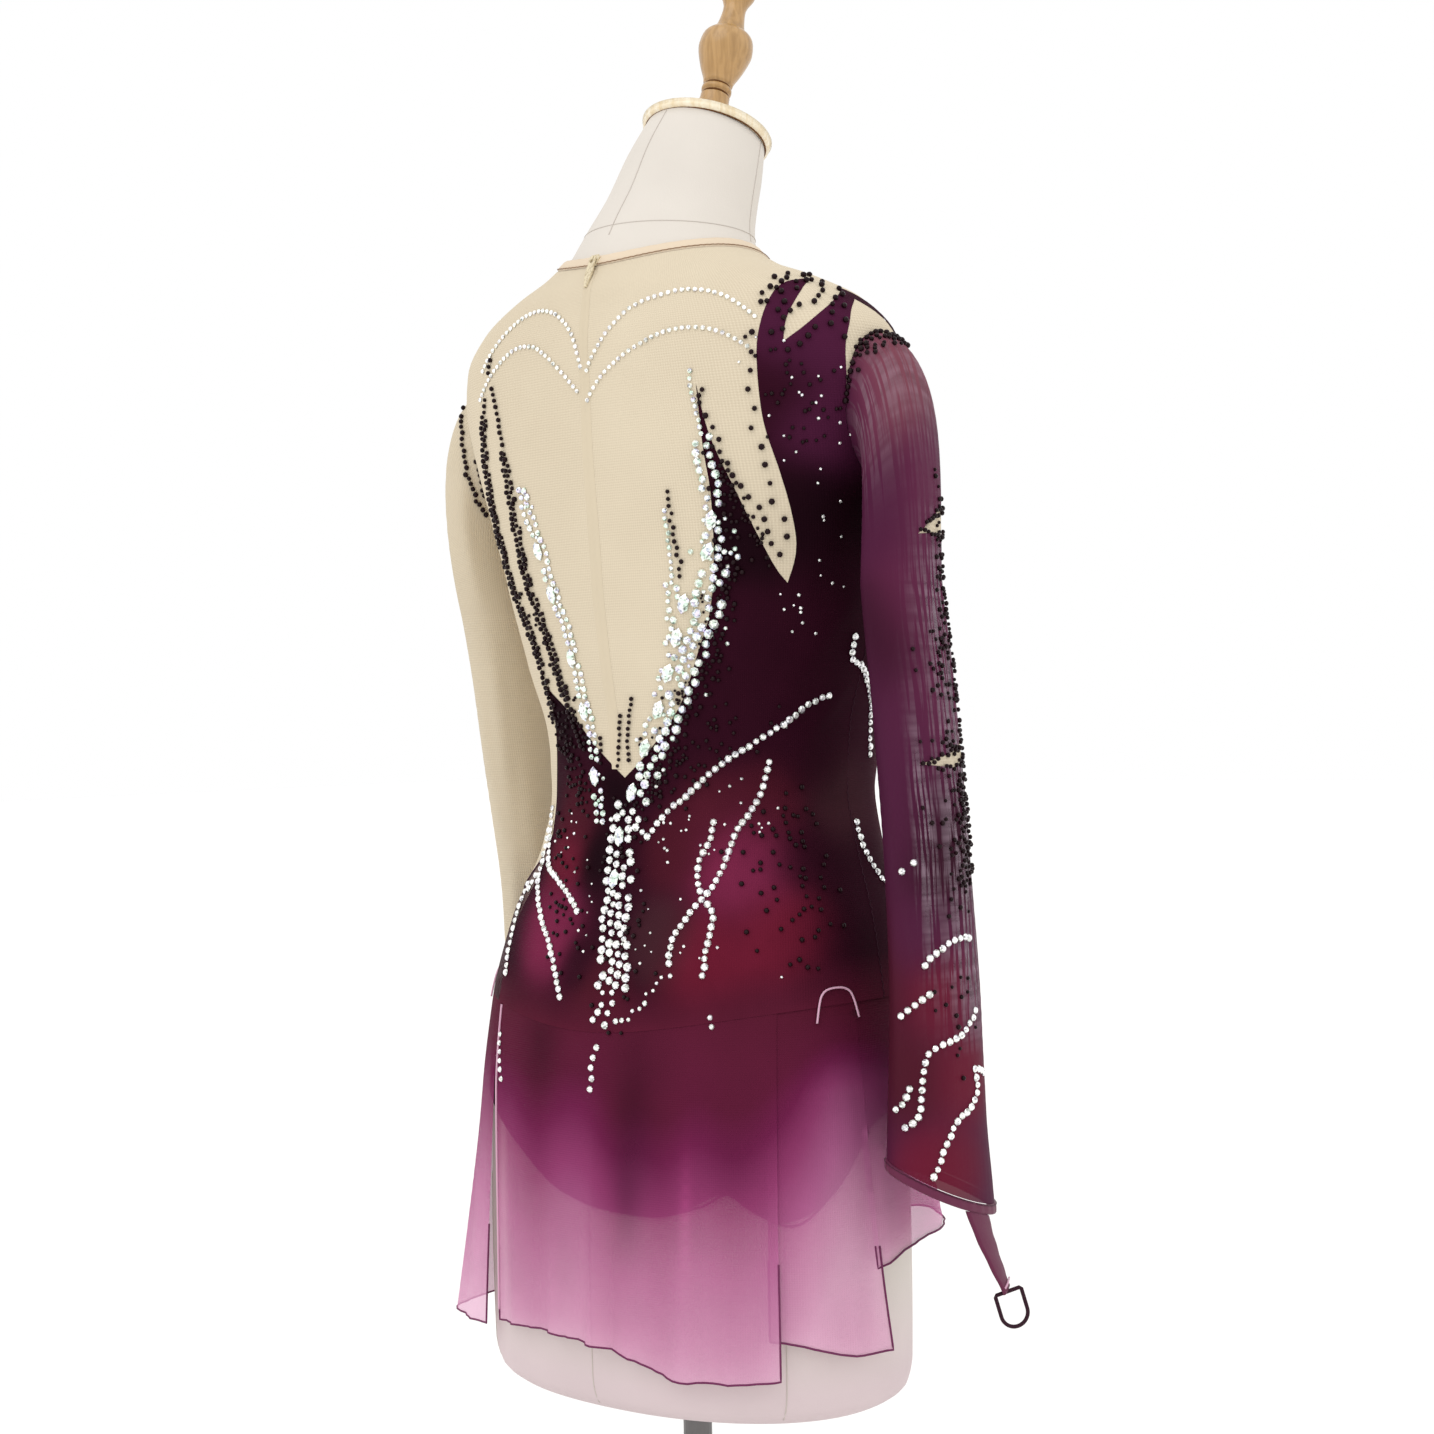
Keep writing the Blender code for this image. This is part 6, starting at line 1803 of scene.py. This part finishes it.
def build_crystal_rows():
    crystal = bpy.context.scene.dress_stones.crystal
    scallops = Sewing("crystal_scallops", "crystal", 11)
    for line in SCALLOPS:
        scallops.row(line, 0.0034, 0.0048, wander=0.03, vary=0.04)
    scallops.finish()
    branches = Sewing("crystal_branches", "crystal", 12)
    for line in BRANCHES:
        branches.row(line, crystal, 0.0054, wander=0.1)
    for line in SKIRT_BRANCHES:
        branches.row(line, 0.8 * crystal, 0.0064, on=SKIRT_CLOTH)
    branches.finish()
    sleeve = Sewing("crystal_sleeve_branches", "crystal", 13, RIGHT_SLEEVE_CLOTH)
    for line in SLEEVE_BRANCHES:
        sleeve.row(line, crystal, 0.0056, wander=0.1)
    sleeve.finish()
    strips = Sewing("crystal_strips", "aurora", 14)
    strips.row(STRIP_TOP, 0.0036, 0.0046, wander=0.1)
    strips.row(STRIP_SIDE[:4], 0.0056, 0.006, rows=2, spread=0.0075, wander=0.3, vary=0.15)
    strips.row(STRIP_SIDE[3:], 0.0062, 0.0067, rows=3, spread=0.014, wander=0.3, vary=0.15)
    strips.row(STRIP_INSIDE, 0.0048, 0.0058, rows=2, spread=0.0125, wander=0.4, vary=0.2)
    strips.row(LEFT_STRIP, 0.0046, 0.0054, rows=2, spread=0.0066, wander=0.3, vary=0.15)
    strips.row(SECOND_SPIKE, 0.0036, 0.0048, wander=0.2)
    strips.row(SECOND_SPIKE_LOW, 0.0044, 0.0056, rows=2, spread=0.007, wander=0.3, vary=0.2)
    strips.strew(STRIP_SIDE[2:], 0.005, 160, (0.0028, 0.0044), 0.008)
    strips.strew(LEFT_STRIP, 0.0025, 60, (0.0022, 0.0034), 0.0045)
    strips.finish()
    column = Sewing("crystal_column", "crystal", 15)
    column.row(COLUMN, 0.0058, 0.0066, rows=4, spread=0.022, wander=0.4, vary=0.15)
    column.strew(COLUMN, 0.0065, 120, (0.0036, 0.0052), 0.005)
    column.row(COLUMN_TAIL, 0.005, 0.0066, rows=2, spread=0.008, wander=0.4)
    column.row(SKIRT_TAIL, 0.0046, 0.007, wander=0.3, on=SKIRT_CLOTH)
    column.row(TAIL_BRANCH, 0.0034, 0.0052, wander=0.8, vary=0.3)
    column.strew([(20, 0.975), (40, 0.985), (60, 1.02)], 0.015, 30, (0.0016, 0.0024))
    column.strew([(70, 1.29), (68, 1.24), (72, 1.18), (66, 1.12)], 0.013, 40, (0.0016, 0.0026))
    column.strew([(-30, 1.0), (-20, 0.96), (0, 0.93), (40, 0.91)], 0.015, 40, (0.0014, 0.0024))
    column.finish()


# Black beads close between the crystals on the right of the open back
STRIP_GROUND = [(42.5, 1.15), (39.5, 1.122), (35, 1.096), (29, 1.07), (22, 1.043), (15, 1.017), (10, 1.002)]
# Chains of black beads on the left, from the sleeve's head over the back to the waist
LEFT_CHAIN_SLEEVE = [(48, 0.008), (86, 0.01), (104, 0.02), (122, 0.03)]
LEFT_CHAIN_SLEEVE_LOW = [(37, 0.026), (64, 0.026), (91, 0.033), (109, 0.04), (128, 0.048)]
LEFT_CHAINS = [
    [
        (-50.5, 1.32), (-52, 1.3), (-53, 1.275), (-54, 1.245), (-53.5, 1.215), (-51.5, 1.19), (-47.7, 1.152),
        (-40.9, 1.125), (-36.5, 1.1), (-35.5, 1.08), (-36, 1.06)],
    [
        (-49.3, 1.293), (-45.6, 1.272), (-42.5, 1.248), (-39.5, 1.214), (-36.4, 1.166), (-32.2, 1.139),
        (-28.5, 1.114), (-25, 1.092), (-22.5, 1.07), (-18.5, 1.053), (-14.5, 1.038)],
]
PRONGS = [
    [(1.5, 1.026), (2.8, 1.044), (4.4, 1.063)], [(6.8, 1.03), (7.2, 1.05), (10.5, 1.074)],
    [(-7.2, 1.028), (-6.4, 1.05)], [(12.0, 1.036), (13.0, 1.05)],
]
TONGUE_EDGE = [(45.5, 1.284), (46, 1.265), (47.5, 1.245), (51, 1.22), (55.5, 1.188), (59, 1.162)]
SPIKE_INSIDE = [(45.0, 1.27), (43.2, 1.236), (42.6, 1.2), (39.5, 1.15)]
STRAP_LEFT_EDGE = [
    (76, 1.343), (69, 1.331), (62.5, 1.312), (58.8, 1.28), (58, 1.25), (58.6, 1.22), (60, 1.19), (60.6, 1.16),
]
STRAP_TOP_EDGE = [(88, 1.338), (80, 1.324), (70, 1.305), (65, 1.298)]
HORN_BEADS = [(88, 1.343), (80, 1.342), (72, 1.334), (65, 1.318)]
STRAP_RIGHT_EDGE = [(88, 1.33), (83, 1.32), (79.5, 1.3), (79, 1.29)]
SECOND_BLACK = [(31.9, 1.21), (31.4, 1.19), (32.4, 1.168), (33, 1.15)]
SLEEVE_HEAD_BEADS = [(86, 0.006), (66, 0.008), (40, 0.014), (10, 0.018), (-30, 0.018)]
# Clusters on the outer side of the sleeve: middle line, reach and number of beads
SLEEVE_CLUSTERS = [
    ([(-8, 0.17), (-6, 0.215)], 0.006, 34), ([(0, 0.24), (-4, 0.262)], 0.005, 14),
    ([(-14, 0.275), (-8, 0.35)], 0.008, 90), ([(12, 0.4), (16, 0.45)], 0.007, 16),
    ([(30, 0.19), (28, 0.33)], 0.008, 12),
]
SLEEVE_EDGE_BEADS = [(-30, 0.1), (-34, 0.17), (-32, 0.24), (-30, 0.33)]


def build_black_beads():
    width = bpy.context.scene.dress_stones.bead
    left = Sewing("jet_left_chains", "jet", 21)
    left.row(LEFT_CHAIN_SLEEVE, width, 0.004, rows=2, spread=0.0035, wander=0.3, on=LEFT_SLEEVE_CLOTH)
    left.row(LEFT_CHAIN_SLEEVE_LOW, width, 0.0042, rows=2, spread=0.003, wander=0.3, on=LEFT_SLEEVE_CLOTH)
    for line in LEFT_CHAINS:
        left.row(line[:3], 0.85 * width, 0.0046, wander=0.15)
        left.row(line[2:], 0.92 * width, 0.0038, rows=3, spread=0.0062, wander=0.35, vary=0.2)
        left.strew(line[3:], 0.004, 60, (0.0022, 0.0034), 0.005)
    left.strew([(-34, 1.06), (-28, 1.045), (-22, 1.02), (-12, 1.0)], 0.0075, 110, (0.0022, 0.0034))
    left.finish()
    back = Sewing("jet_back", "jet", 22)
    for line in PRONGS:
        back.row(line, 0.003, 0.0042, wander=0.2)
    back.row(SECOND_BLACK, 0.0032, 0.0046, wander=0.4)
    back.row(SPIKE_INSIDE, 0.0034, 0.0046, wander=0.6)
    back.row(TONGUE_EDGE, width, 0.0085, wander=0.7, vary=0.15)
    back.row(STRAP_LEFT_EDGE, width, 0.012, wander=0.8, vary=0.15)
    back.strew([(47.5, 1.225), (52, 1.19), (57, 1.16)], 0.003, 60, (0.0024, 0.0034))
    back.row(STRAP_TOP_EDGE, width, 0.0075, rows=2, spread=0.012, wander=0.9, vary=0.15)
    back.row(STRAP_RIGHT_EDGE, width, 0.012, wander=0.5)
    back.row(HORN_BEADS, width, 0.0075, rows=2, spread=0.009, wander=0.9, vary=0.15)
    back.strew([(66, 1.3), (70, 1.27), (66, 1.23)], 0.01, 40, (0.0022, 0.0032))
    back.strew(DARK_SIDE, 0.004, 260, (0.0026, 0.0038), 0.006)
    back.strew(STRIP_GROUND, 0.004, 420, (0.0017, 0.0028))
    back.strew(COLUMN, 0.011, 130, (0.0024, 0.0036), 0.013)
    back.strew([(55, 1.06), (35, 1.04), (25, 1.01)], 0.009, 40, (0.0024, 0.0034))
    back.strew([(62, 1.0), (64, 0.95), (60, 0.905)], 0.016, 75, (0.0028, 0.0038))
    back.strew([(-30, 1.0), (-25, 0.95), (-8, 0.9)], 0.011, 60, (0.0024, 0.0034))
    back.finish()
    arm = Sewing("jet_right_sleeve", "jet", 23, RIGHT_SLEEVE_CLOTH)
    arm.row(SLEEVE_HEAD_BEADS, width, 0.0052, rows=2, spread=0.007, wander=0.6, vary=0.2)
    arm.strew([(60, 0.012), (20, 0.022), (-20, 0.026)], 0.006, 70, (0.0026, 0.004))
    arm.strew(SLEEVE_EDGE_BEADS, 0.0045, 210, (0.0024, 0.0038), 0.0075)
    for line, reach, count in SLEEVE_CLUSTERS:
        arm.strew(line, reach, count, (0.0024, 0.0036))
    for corners in SLITS.values():
        arm.row([corners[2], corners[1], corners[0]], 0.0032, 0.0042, wander=0.5)
        arm.row([corners[0], corners[4], corners[3]], 0.0032, 0.0042, wander=0.5)
    arm.finish()


# The form and its stand

FORM_SIDES = 120
FORM_BOTTOM = 0.602
REST_GAP = 0.0003
AXIS_FOOT = np.array([0.0, -0.038, NECK_TOP_Z])
AXIS = np.array([0.0, -math.sin(math.radians(NECK_TILT)), math.cos(math.radians(NECK_TILT))])
# Profiles of the turned cap and finial: radius and height, smooth along each part
CAP_PROFILE = [
    [(0.0435, 0.0), (0.0455, 0.0015), (0.0457, 0.0028), (0.0455, 0.0042), (0.043, 0.0065), (0.002, 0.0071)],
]
CAP_RISE = 0.0072
FINIAL_PROFILE = [
    [(0.019, 0.0), (0.0175, 0.004), (0.0125, 0.014), (0.0106, 0.024), (0.0105, 0.027)],
    [(0.0088, 0.028), (0.0088, 0.0295)], [(0.0106, 0.0303), (0.0109, 0.032), (0.0106, 0.0337)],
    [(0.0088, 0.0345), (0.0088, 0.036)],
    [
        (0.0106, 0.037), (0.0114, 0.0405), (0.0155, 0.05), (0.019, 0.061), (0.0194, 0.067), (0.018, 0.074),
        (0.0145, 0.078), (0.012, 0.079)],
    [
        (0.0112, 0.0805), (0.0095, 0.086), (0.0082, 0.096), (0.009, 0.102), (0.0125, 0.11), (0.0132, 0.117),
        (0.01, 0.124), (0.0045, 0.1272), (0.001, 0.128)],
]
# Heights of the finial's grooves and the place at the cap's foot, where rings of painted shade lie
GROOVES = (0.0288, 0.0352)
GROOVE_RADIUS = 0.0089
CAP_LINE = (0.0432, 0.0002)
TURNED_SIDES = 72
FORM_SEAM_TURNS = (0.0, 62.0, 118.0, 180.0, 242.0, 298.0)
FORM_SEAM_TOP = 0.74        # above this the dress covers the form's seams
NECK_SEAM_TURNS = (0.0, 108.0, 252.0)
NECK_SEAM_Z = 1.391


def axis_rings(places, sides):
    """Rings round the neck's leaning axis, each with a radius and a height along it."""
    side = np.array([1.0, 0.0, 0.0])
    up = np.cross(AXIS, side)
    angles = 2 * np.pi * np.arange(sides) / sides
    spokes = np.cos(angles)[:, None] * side + np.sin(angles)[:, None] * up
    return [AXIS_FOOT + AXIS * height + spokes * radius for radius, height in places]


def turned(name, profile, start, finish_name):
    """A turned solid on the neck's axis."""
    line = [(radius, start + height) for part in profile for radius, height in smooth_line(part, 0.0016)]
    return rings_mesh(name, axis_rings(line, TURNED_SIDES), finish(finish_name), caps=True)


def build_form():
    turns = 360.0 * np.arange(FORM_SIDES) / FORM_SIDES
    heights = np.concatenate([
        np.linspace(FORM_BOTTOM, 0.625, 8), np.arange(0.632, NECK_BASE_Z, 0.008),
        np.linspace(NECK_BASE_Z, NECK_TOP_Z, 16),
    ])
    rings = [body_point(turns, height + 0.0 * turns) for height in heights]
    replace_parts(rings_mesh("jersey_form", rings, finish("jersey"), caps=True), "form_body")
    seams = []
    for seam_turns, low, high in (
        (FORM_SEAM_TURNS, FORM_BOTTOM + 0.004, FORM_SEAM_TOP), (NECK_SEAM_TURNS, 1.385, NECK_TOP_Z - 0.001)):
        levels = np.linspace(low, high, 24)
        seams += [out_from_body(turn + 0.0 * levels, levels, 0.0001) for turn in seam_turns]
    thread("form_seams", seams, 0.00035, finish("jersey_seam"))
    around = body_point(turns, NECK_SEAM_Z + 0.0 * turns)
    thread("form_neck_seam", [around], 0.0004, finish("jersey_seam"), closed=True)


def build_neck_top():
    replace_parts(turned("beech_neck_cap", CAP_PROFILE, REST_GAP, "pale_beech"), "neck_cap")
    start = CAP_RISE + 2 * REST_GAP
    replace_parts(turned("beech_finial", FINIAL_PROFILE, start, "beech"), "finial")
    # dark rings in the two grooves and round the cap's foot, where shade falls: painted shade
    lines = axis_rings([(GROOVE_RADIUS, start + height) for height in GROOVES] + [CAP_LINE], 48)
    thread("painted_groove_shade_rings", lines, 0.0006, finish("burnt"), closed=True)


def build_stand():
    coat("stand_pole", "pole")
    coat("stand_base", "base")


# The studio

FLOOR_SIZE = 60.0
KEY_LIGHTS = [
    # azimuth from the figure's back towards its right, elevation, strength and softness in degrees
    (5.0, 52.0, 0.7, 50.0),
    (95.0, 30.0, 0.2, 70.0),
]
LAMP_DISTANCE = 4.0
SHIFT = 0.0237


def from_back(turn):
    """The level direction at a turn from the figure's back, in radians."""
    return Vector((-math.sin(turn), math.cos(turn), 0.0))


def place_in_scene(name, data):
    made = bpy.data.objects.new(name, data)
    bpy.context.scene.collection.objects.link(made)
    return made


def build_stage():
    scene = bpy.context.scene
    settings = scene.dress_stage
    half = FLOOR_SIZE / 2
    corners = [(-half, -half, 0.0), (half, -half, 0.0), (half, half, 0.0), (-half, half, 0.0)]
    mesh = bpy.data.meshes.new("floor")
    mesh.from_pydata(corners, [], [(0, 1, 2, 3)])
    mesh.materials.append(plain_textile("pale_floor", "dress_stage.floor", 0.9, 0.02, 0.0002, 0.0))
    stage_pieces = [place_in_scene("floor", mesh)]
    for k, (turn, rise, strength, softness) in enumerate(KEY_LIGHTS):
        light = bpy.data.lights.new("studio_light_" + str(k + 1), "SUN")
        light.energy = strength
        light.angle = math.radians(softness)
        lamp = place_in_scene(light.name, light)
        slope = math.radians(rise)
        towards = from_back(math.radians(turn)) * math.cos(slope) + Vector((0.0, 0.0, math.sin(slope)))
        lamp.rotation_euler = towards.to_track_quat("Z", "Y").to_euler()
        lamp.location = towards * LAMP_DISTANCE
        stage_pieces.append(lamp)
    world = bpy.data.worlds.new("studio")
    world.use_nodes = True
    set_inputs(
        world.node_tree.nodes["Background"], {"Color": (1.0, 1.0, 1.0, 1.0), "Strength": settings.light})
    scene.world = world
    scene.view_settings.view_transform = "Standard"
    lens = bpy.data.cameras.new("camera")
    lens.lens = settings.lens
    lens.sensor_width = 36.0
    lens.shift_x = SHIFT
    lens.dof.use_dof = False
    camera = place_in_scene("camera", lens)
    back = from_back(settings.azimuth)
    camera.location = back * settings.distance + Vector((0.0, 0.0, settings.height))
    facing = back.to_track_quat("Z", "Y").to_matrix()
    camera.rotation_euler = (facing @ Matrix.Rotation(settings.roll, 3, "Z")).to_euler()
    scene.camera = camera


# The add-on


class DressFormOperator(bpy.types.Operator):
    """Covers the dress form with jersey and its seams"""

    bl_idname = "dress.form"
    bl_label = "Dress form"

    def execute(self, context):
        build_form()
        return {"FINISHED"}


class NeckTopOperator(bpy.types.Operator):
    """Turns the beech cap and finial, with dark rings of painted shade in the grooves and at the cap's foot"""

    bl_idname = "dress.neck_top"
    bl_label = "Cap and finial"

    def execute(self, context):
        build_neck_top()
        return {"FINISHED"}


class StandOperator(bpy.types.Operator):
    """Coats the pole and the base"""

    bl_idname = "dress.stand"
    bl_label = "Pole and base"

    def execute(self, context):
        build_stand()
        return {"FINISHED"}


class NudePanelsOperator(bpy.types.Operator):
    """Makes the skin-coloured panels of the bodice"""

    bl_idname = "dress.nude_panels"
    bl_label = "Nude panels"

    def execute(self, context):
        build_nude_panels()
        return {"FINISHED"}


class PlumPanelsOperator(bpy.types.Operator):
    """Makes the dyed panels of the bodice"""

    bl_idname = "dress.plum_panels"
    bl_label = "Plum panels"

    def execute(self, context):
        build_plum_panels()
        build_hip_mesh()
        return {"FINISHED"}


class NeckBindingOperator(bpy.types.Operator):
    """Folds the band round the neck"""

    bl_idname = "dress.neck_binding"
    bl_label = "Neck binding"

    def execute(self, context):
        build_neck_binding()
        return {"FINISHED"}


class SleevesOperator(bpy.types.Operator):
    """Makes both sleeves, with the slits' nude insets"""

    bl_idname = "dress.sleeves"
    bl_label = "Sleeves"

    def execute(self, context):
        build_sleeves()
        return {"FINISHED"}


class CuffOperator(bpy.types.Operator):
    """Makes the right cuff's band, finger strap and loop"""

    bl_idname = "dress.cuff"
    bl_label = "Cuff and finger loop"

    def execute(self, context):
        build_cuff()
        return {"FINISHED"}


class SkirtOperator(bpy.types.Operator):
    """Makes the briefs and the four skirt panels"""

    bl_idname = "dress.skirt"
    bl_label = "Briefs and skirt"

    def execute(self, context):
        build_briefs()
        build_skirt()
        return {"FINISHED"}


class ZipOperator(bpy.types.Operator):
    """Sews in the zip's tape and teeth, and coats its slider and pull"""

    bl_idname = "dress.zip"
    bl_label = "Zip"

    def execute(self, context):
        build_zip()
        return {"FINISHED"}


class StonesOperator(bpy.types.Operator):
    """Sews on the large stones and the crystals"""

    bl_idname = "dress.stones"
    bl_label = "Crystals"

    def execute(self, context):
        build_large_stones()
        build_crystal_rows()
        return {"FINISHED"}


class BeadsOperator(bpy.types.Operator):
    """Sews on the jet beads"""

    bl_idname = "dress.beads"
    bl_label = "Jet beads"

    def execute(self, context):
        build_black_beads()
        return {"FINISHED"}


class StageOperator(bpy.types.Operator):
    """Sets up the floor, the soft light and the camera"""

    bl_idname = "dress.stage"
    bl_label = "Studio"

    def execute(self, context):
        build_stage()
        return {"FINISHED"}


STEPS = (
    DressFormOperator, NeckTopOperator, StandOperator, NudePanelsOperator, PlumPanelsOperator,
    NeckBindingOperator, SleevesOperator, CuffOperator, SkirtOperator, ZipOperator, StonesOperator,
    BeadsOperator, StageOperator,
)


class DressPanel(bpy.types.Panel):
    """The dress's settings, and one button for each of its steps"""

    bl_idname = "DRESS_PT_steps"
    bl_label = "Skating dress"
    bl_space_type = "VIEW_3D"
    bl_region_type = "UI"
    bl_category = "Dress"

    def draw(self, context):
        layout = self.layout
        for group_name, group in GROUPS.items():
            box = layout.box()
            settings = getattr(context.scene, group_name)
            for prop in group.__annotations__:
                box.prop(settings, prop)
        for step in STEPS:
            layout.operator(step.bl_idname)


def register():
    for name, group in GROUPS.items():
        bpy.utils.register_class(group)
        setattr(bpy.types.Scene, name, PointerProperty(type=group))
    for step in STEPS:
        bpy.utils.register_class(step)
    bpy.utils.register_class(DressPanel)


def unregister():
    bpy.utils.unregister_class(DressPanel)
    for step in reversed(STEPS):
        bpy.utils.unregister_class(step)
    for name, group in reversed(GROUPS.items()):
        delattr(bpy.types.Scene, name)
        bpy.utils.unregister_class(group)


def main():
    register()
    bpy.ops.dress.form()
    bpy.ops.dress.neck_top()
    bpy.ops.dress.stand()
    bpy.ops.dress.nude_panels()
    bpy.ops.dress.plum_panels()
    bpy.ops.dress.neck_binding()
    bpy.ops.dress.sleeves()
    bpy.ops.dress.cuff()
    bpy.ops.dress.skirt()
    bpy.ops.dress.zip()
    bpy.ops.dress.stones()
    bpy.ops.dress.beads()
    bpy.ops.dress.stage()


if __name__ == "__main__":
    main()
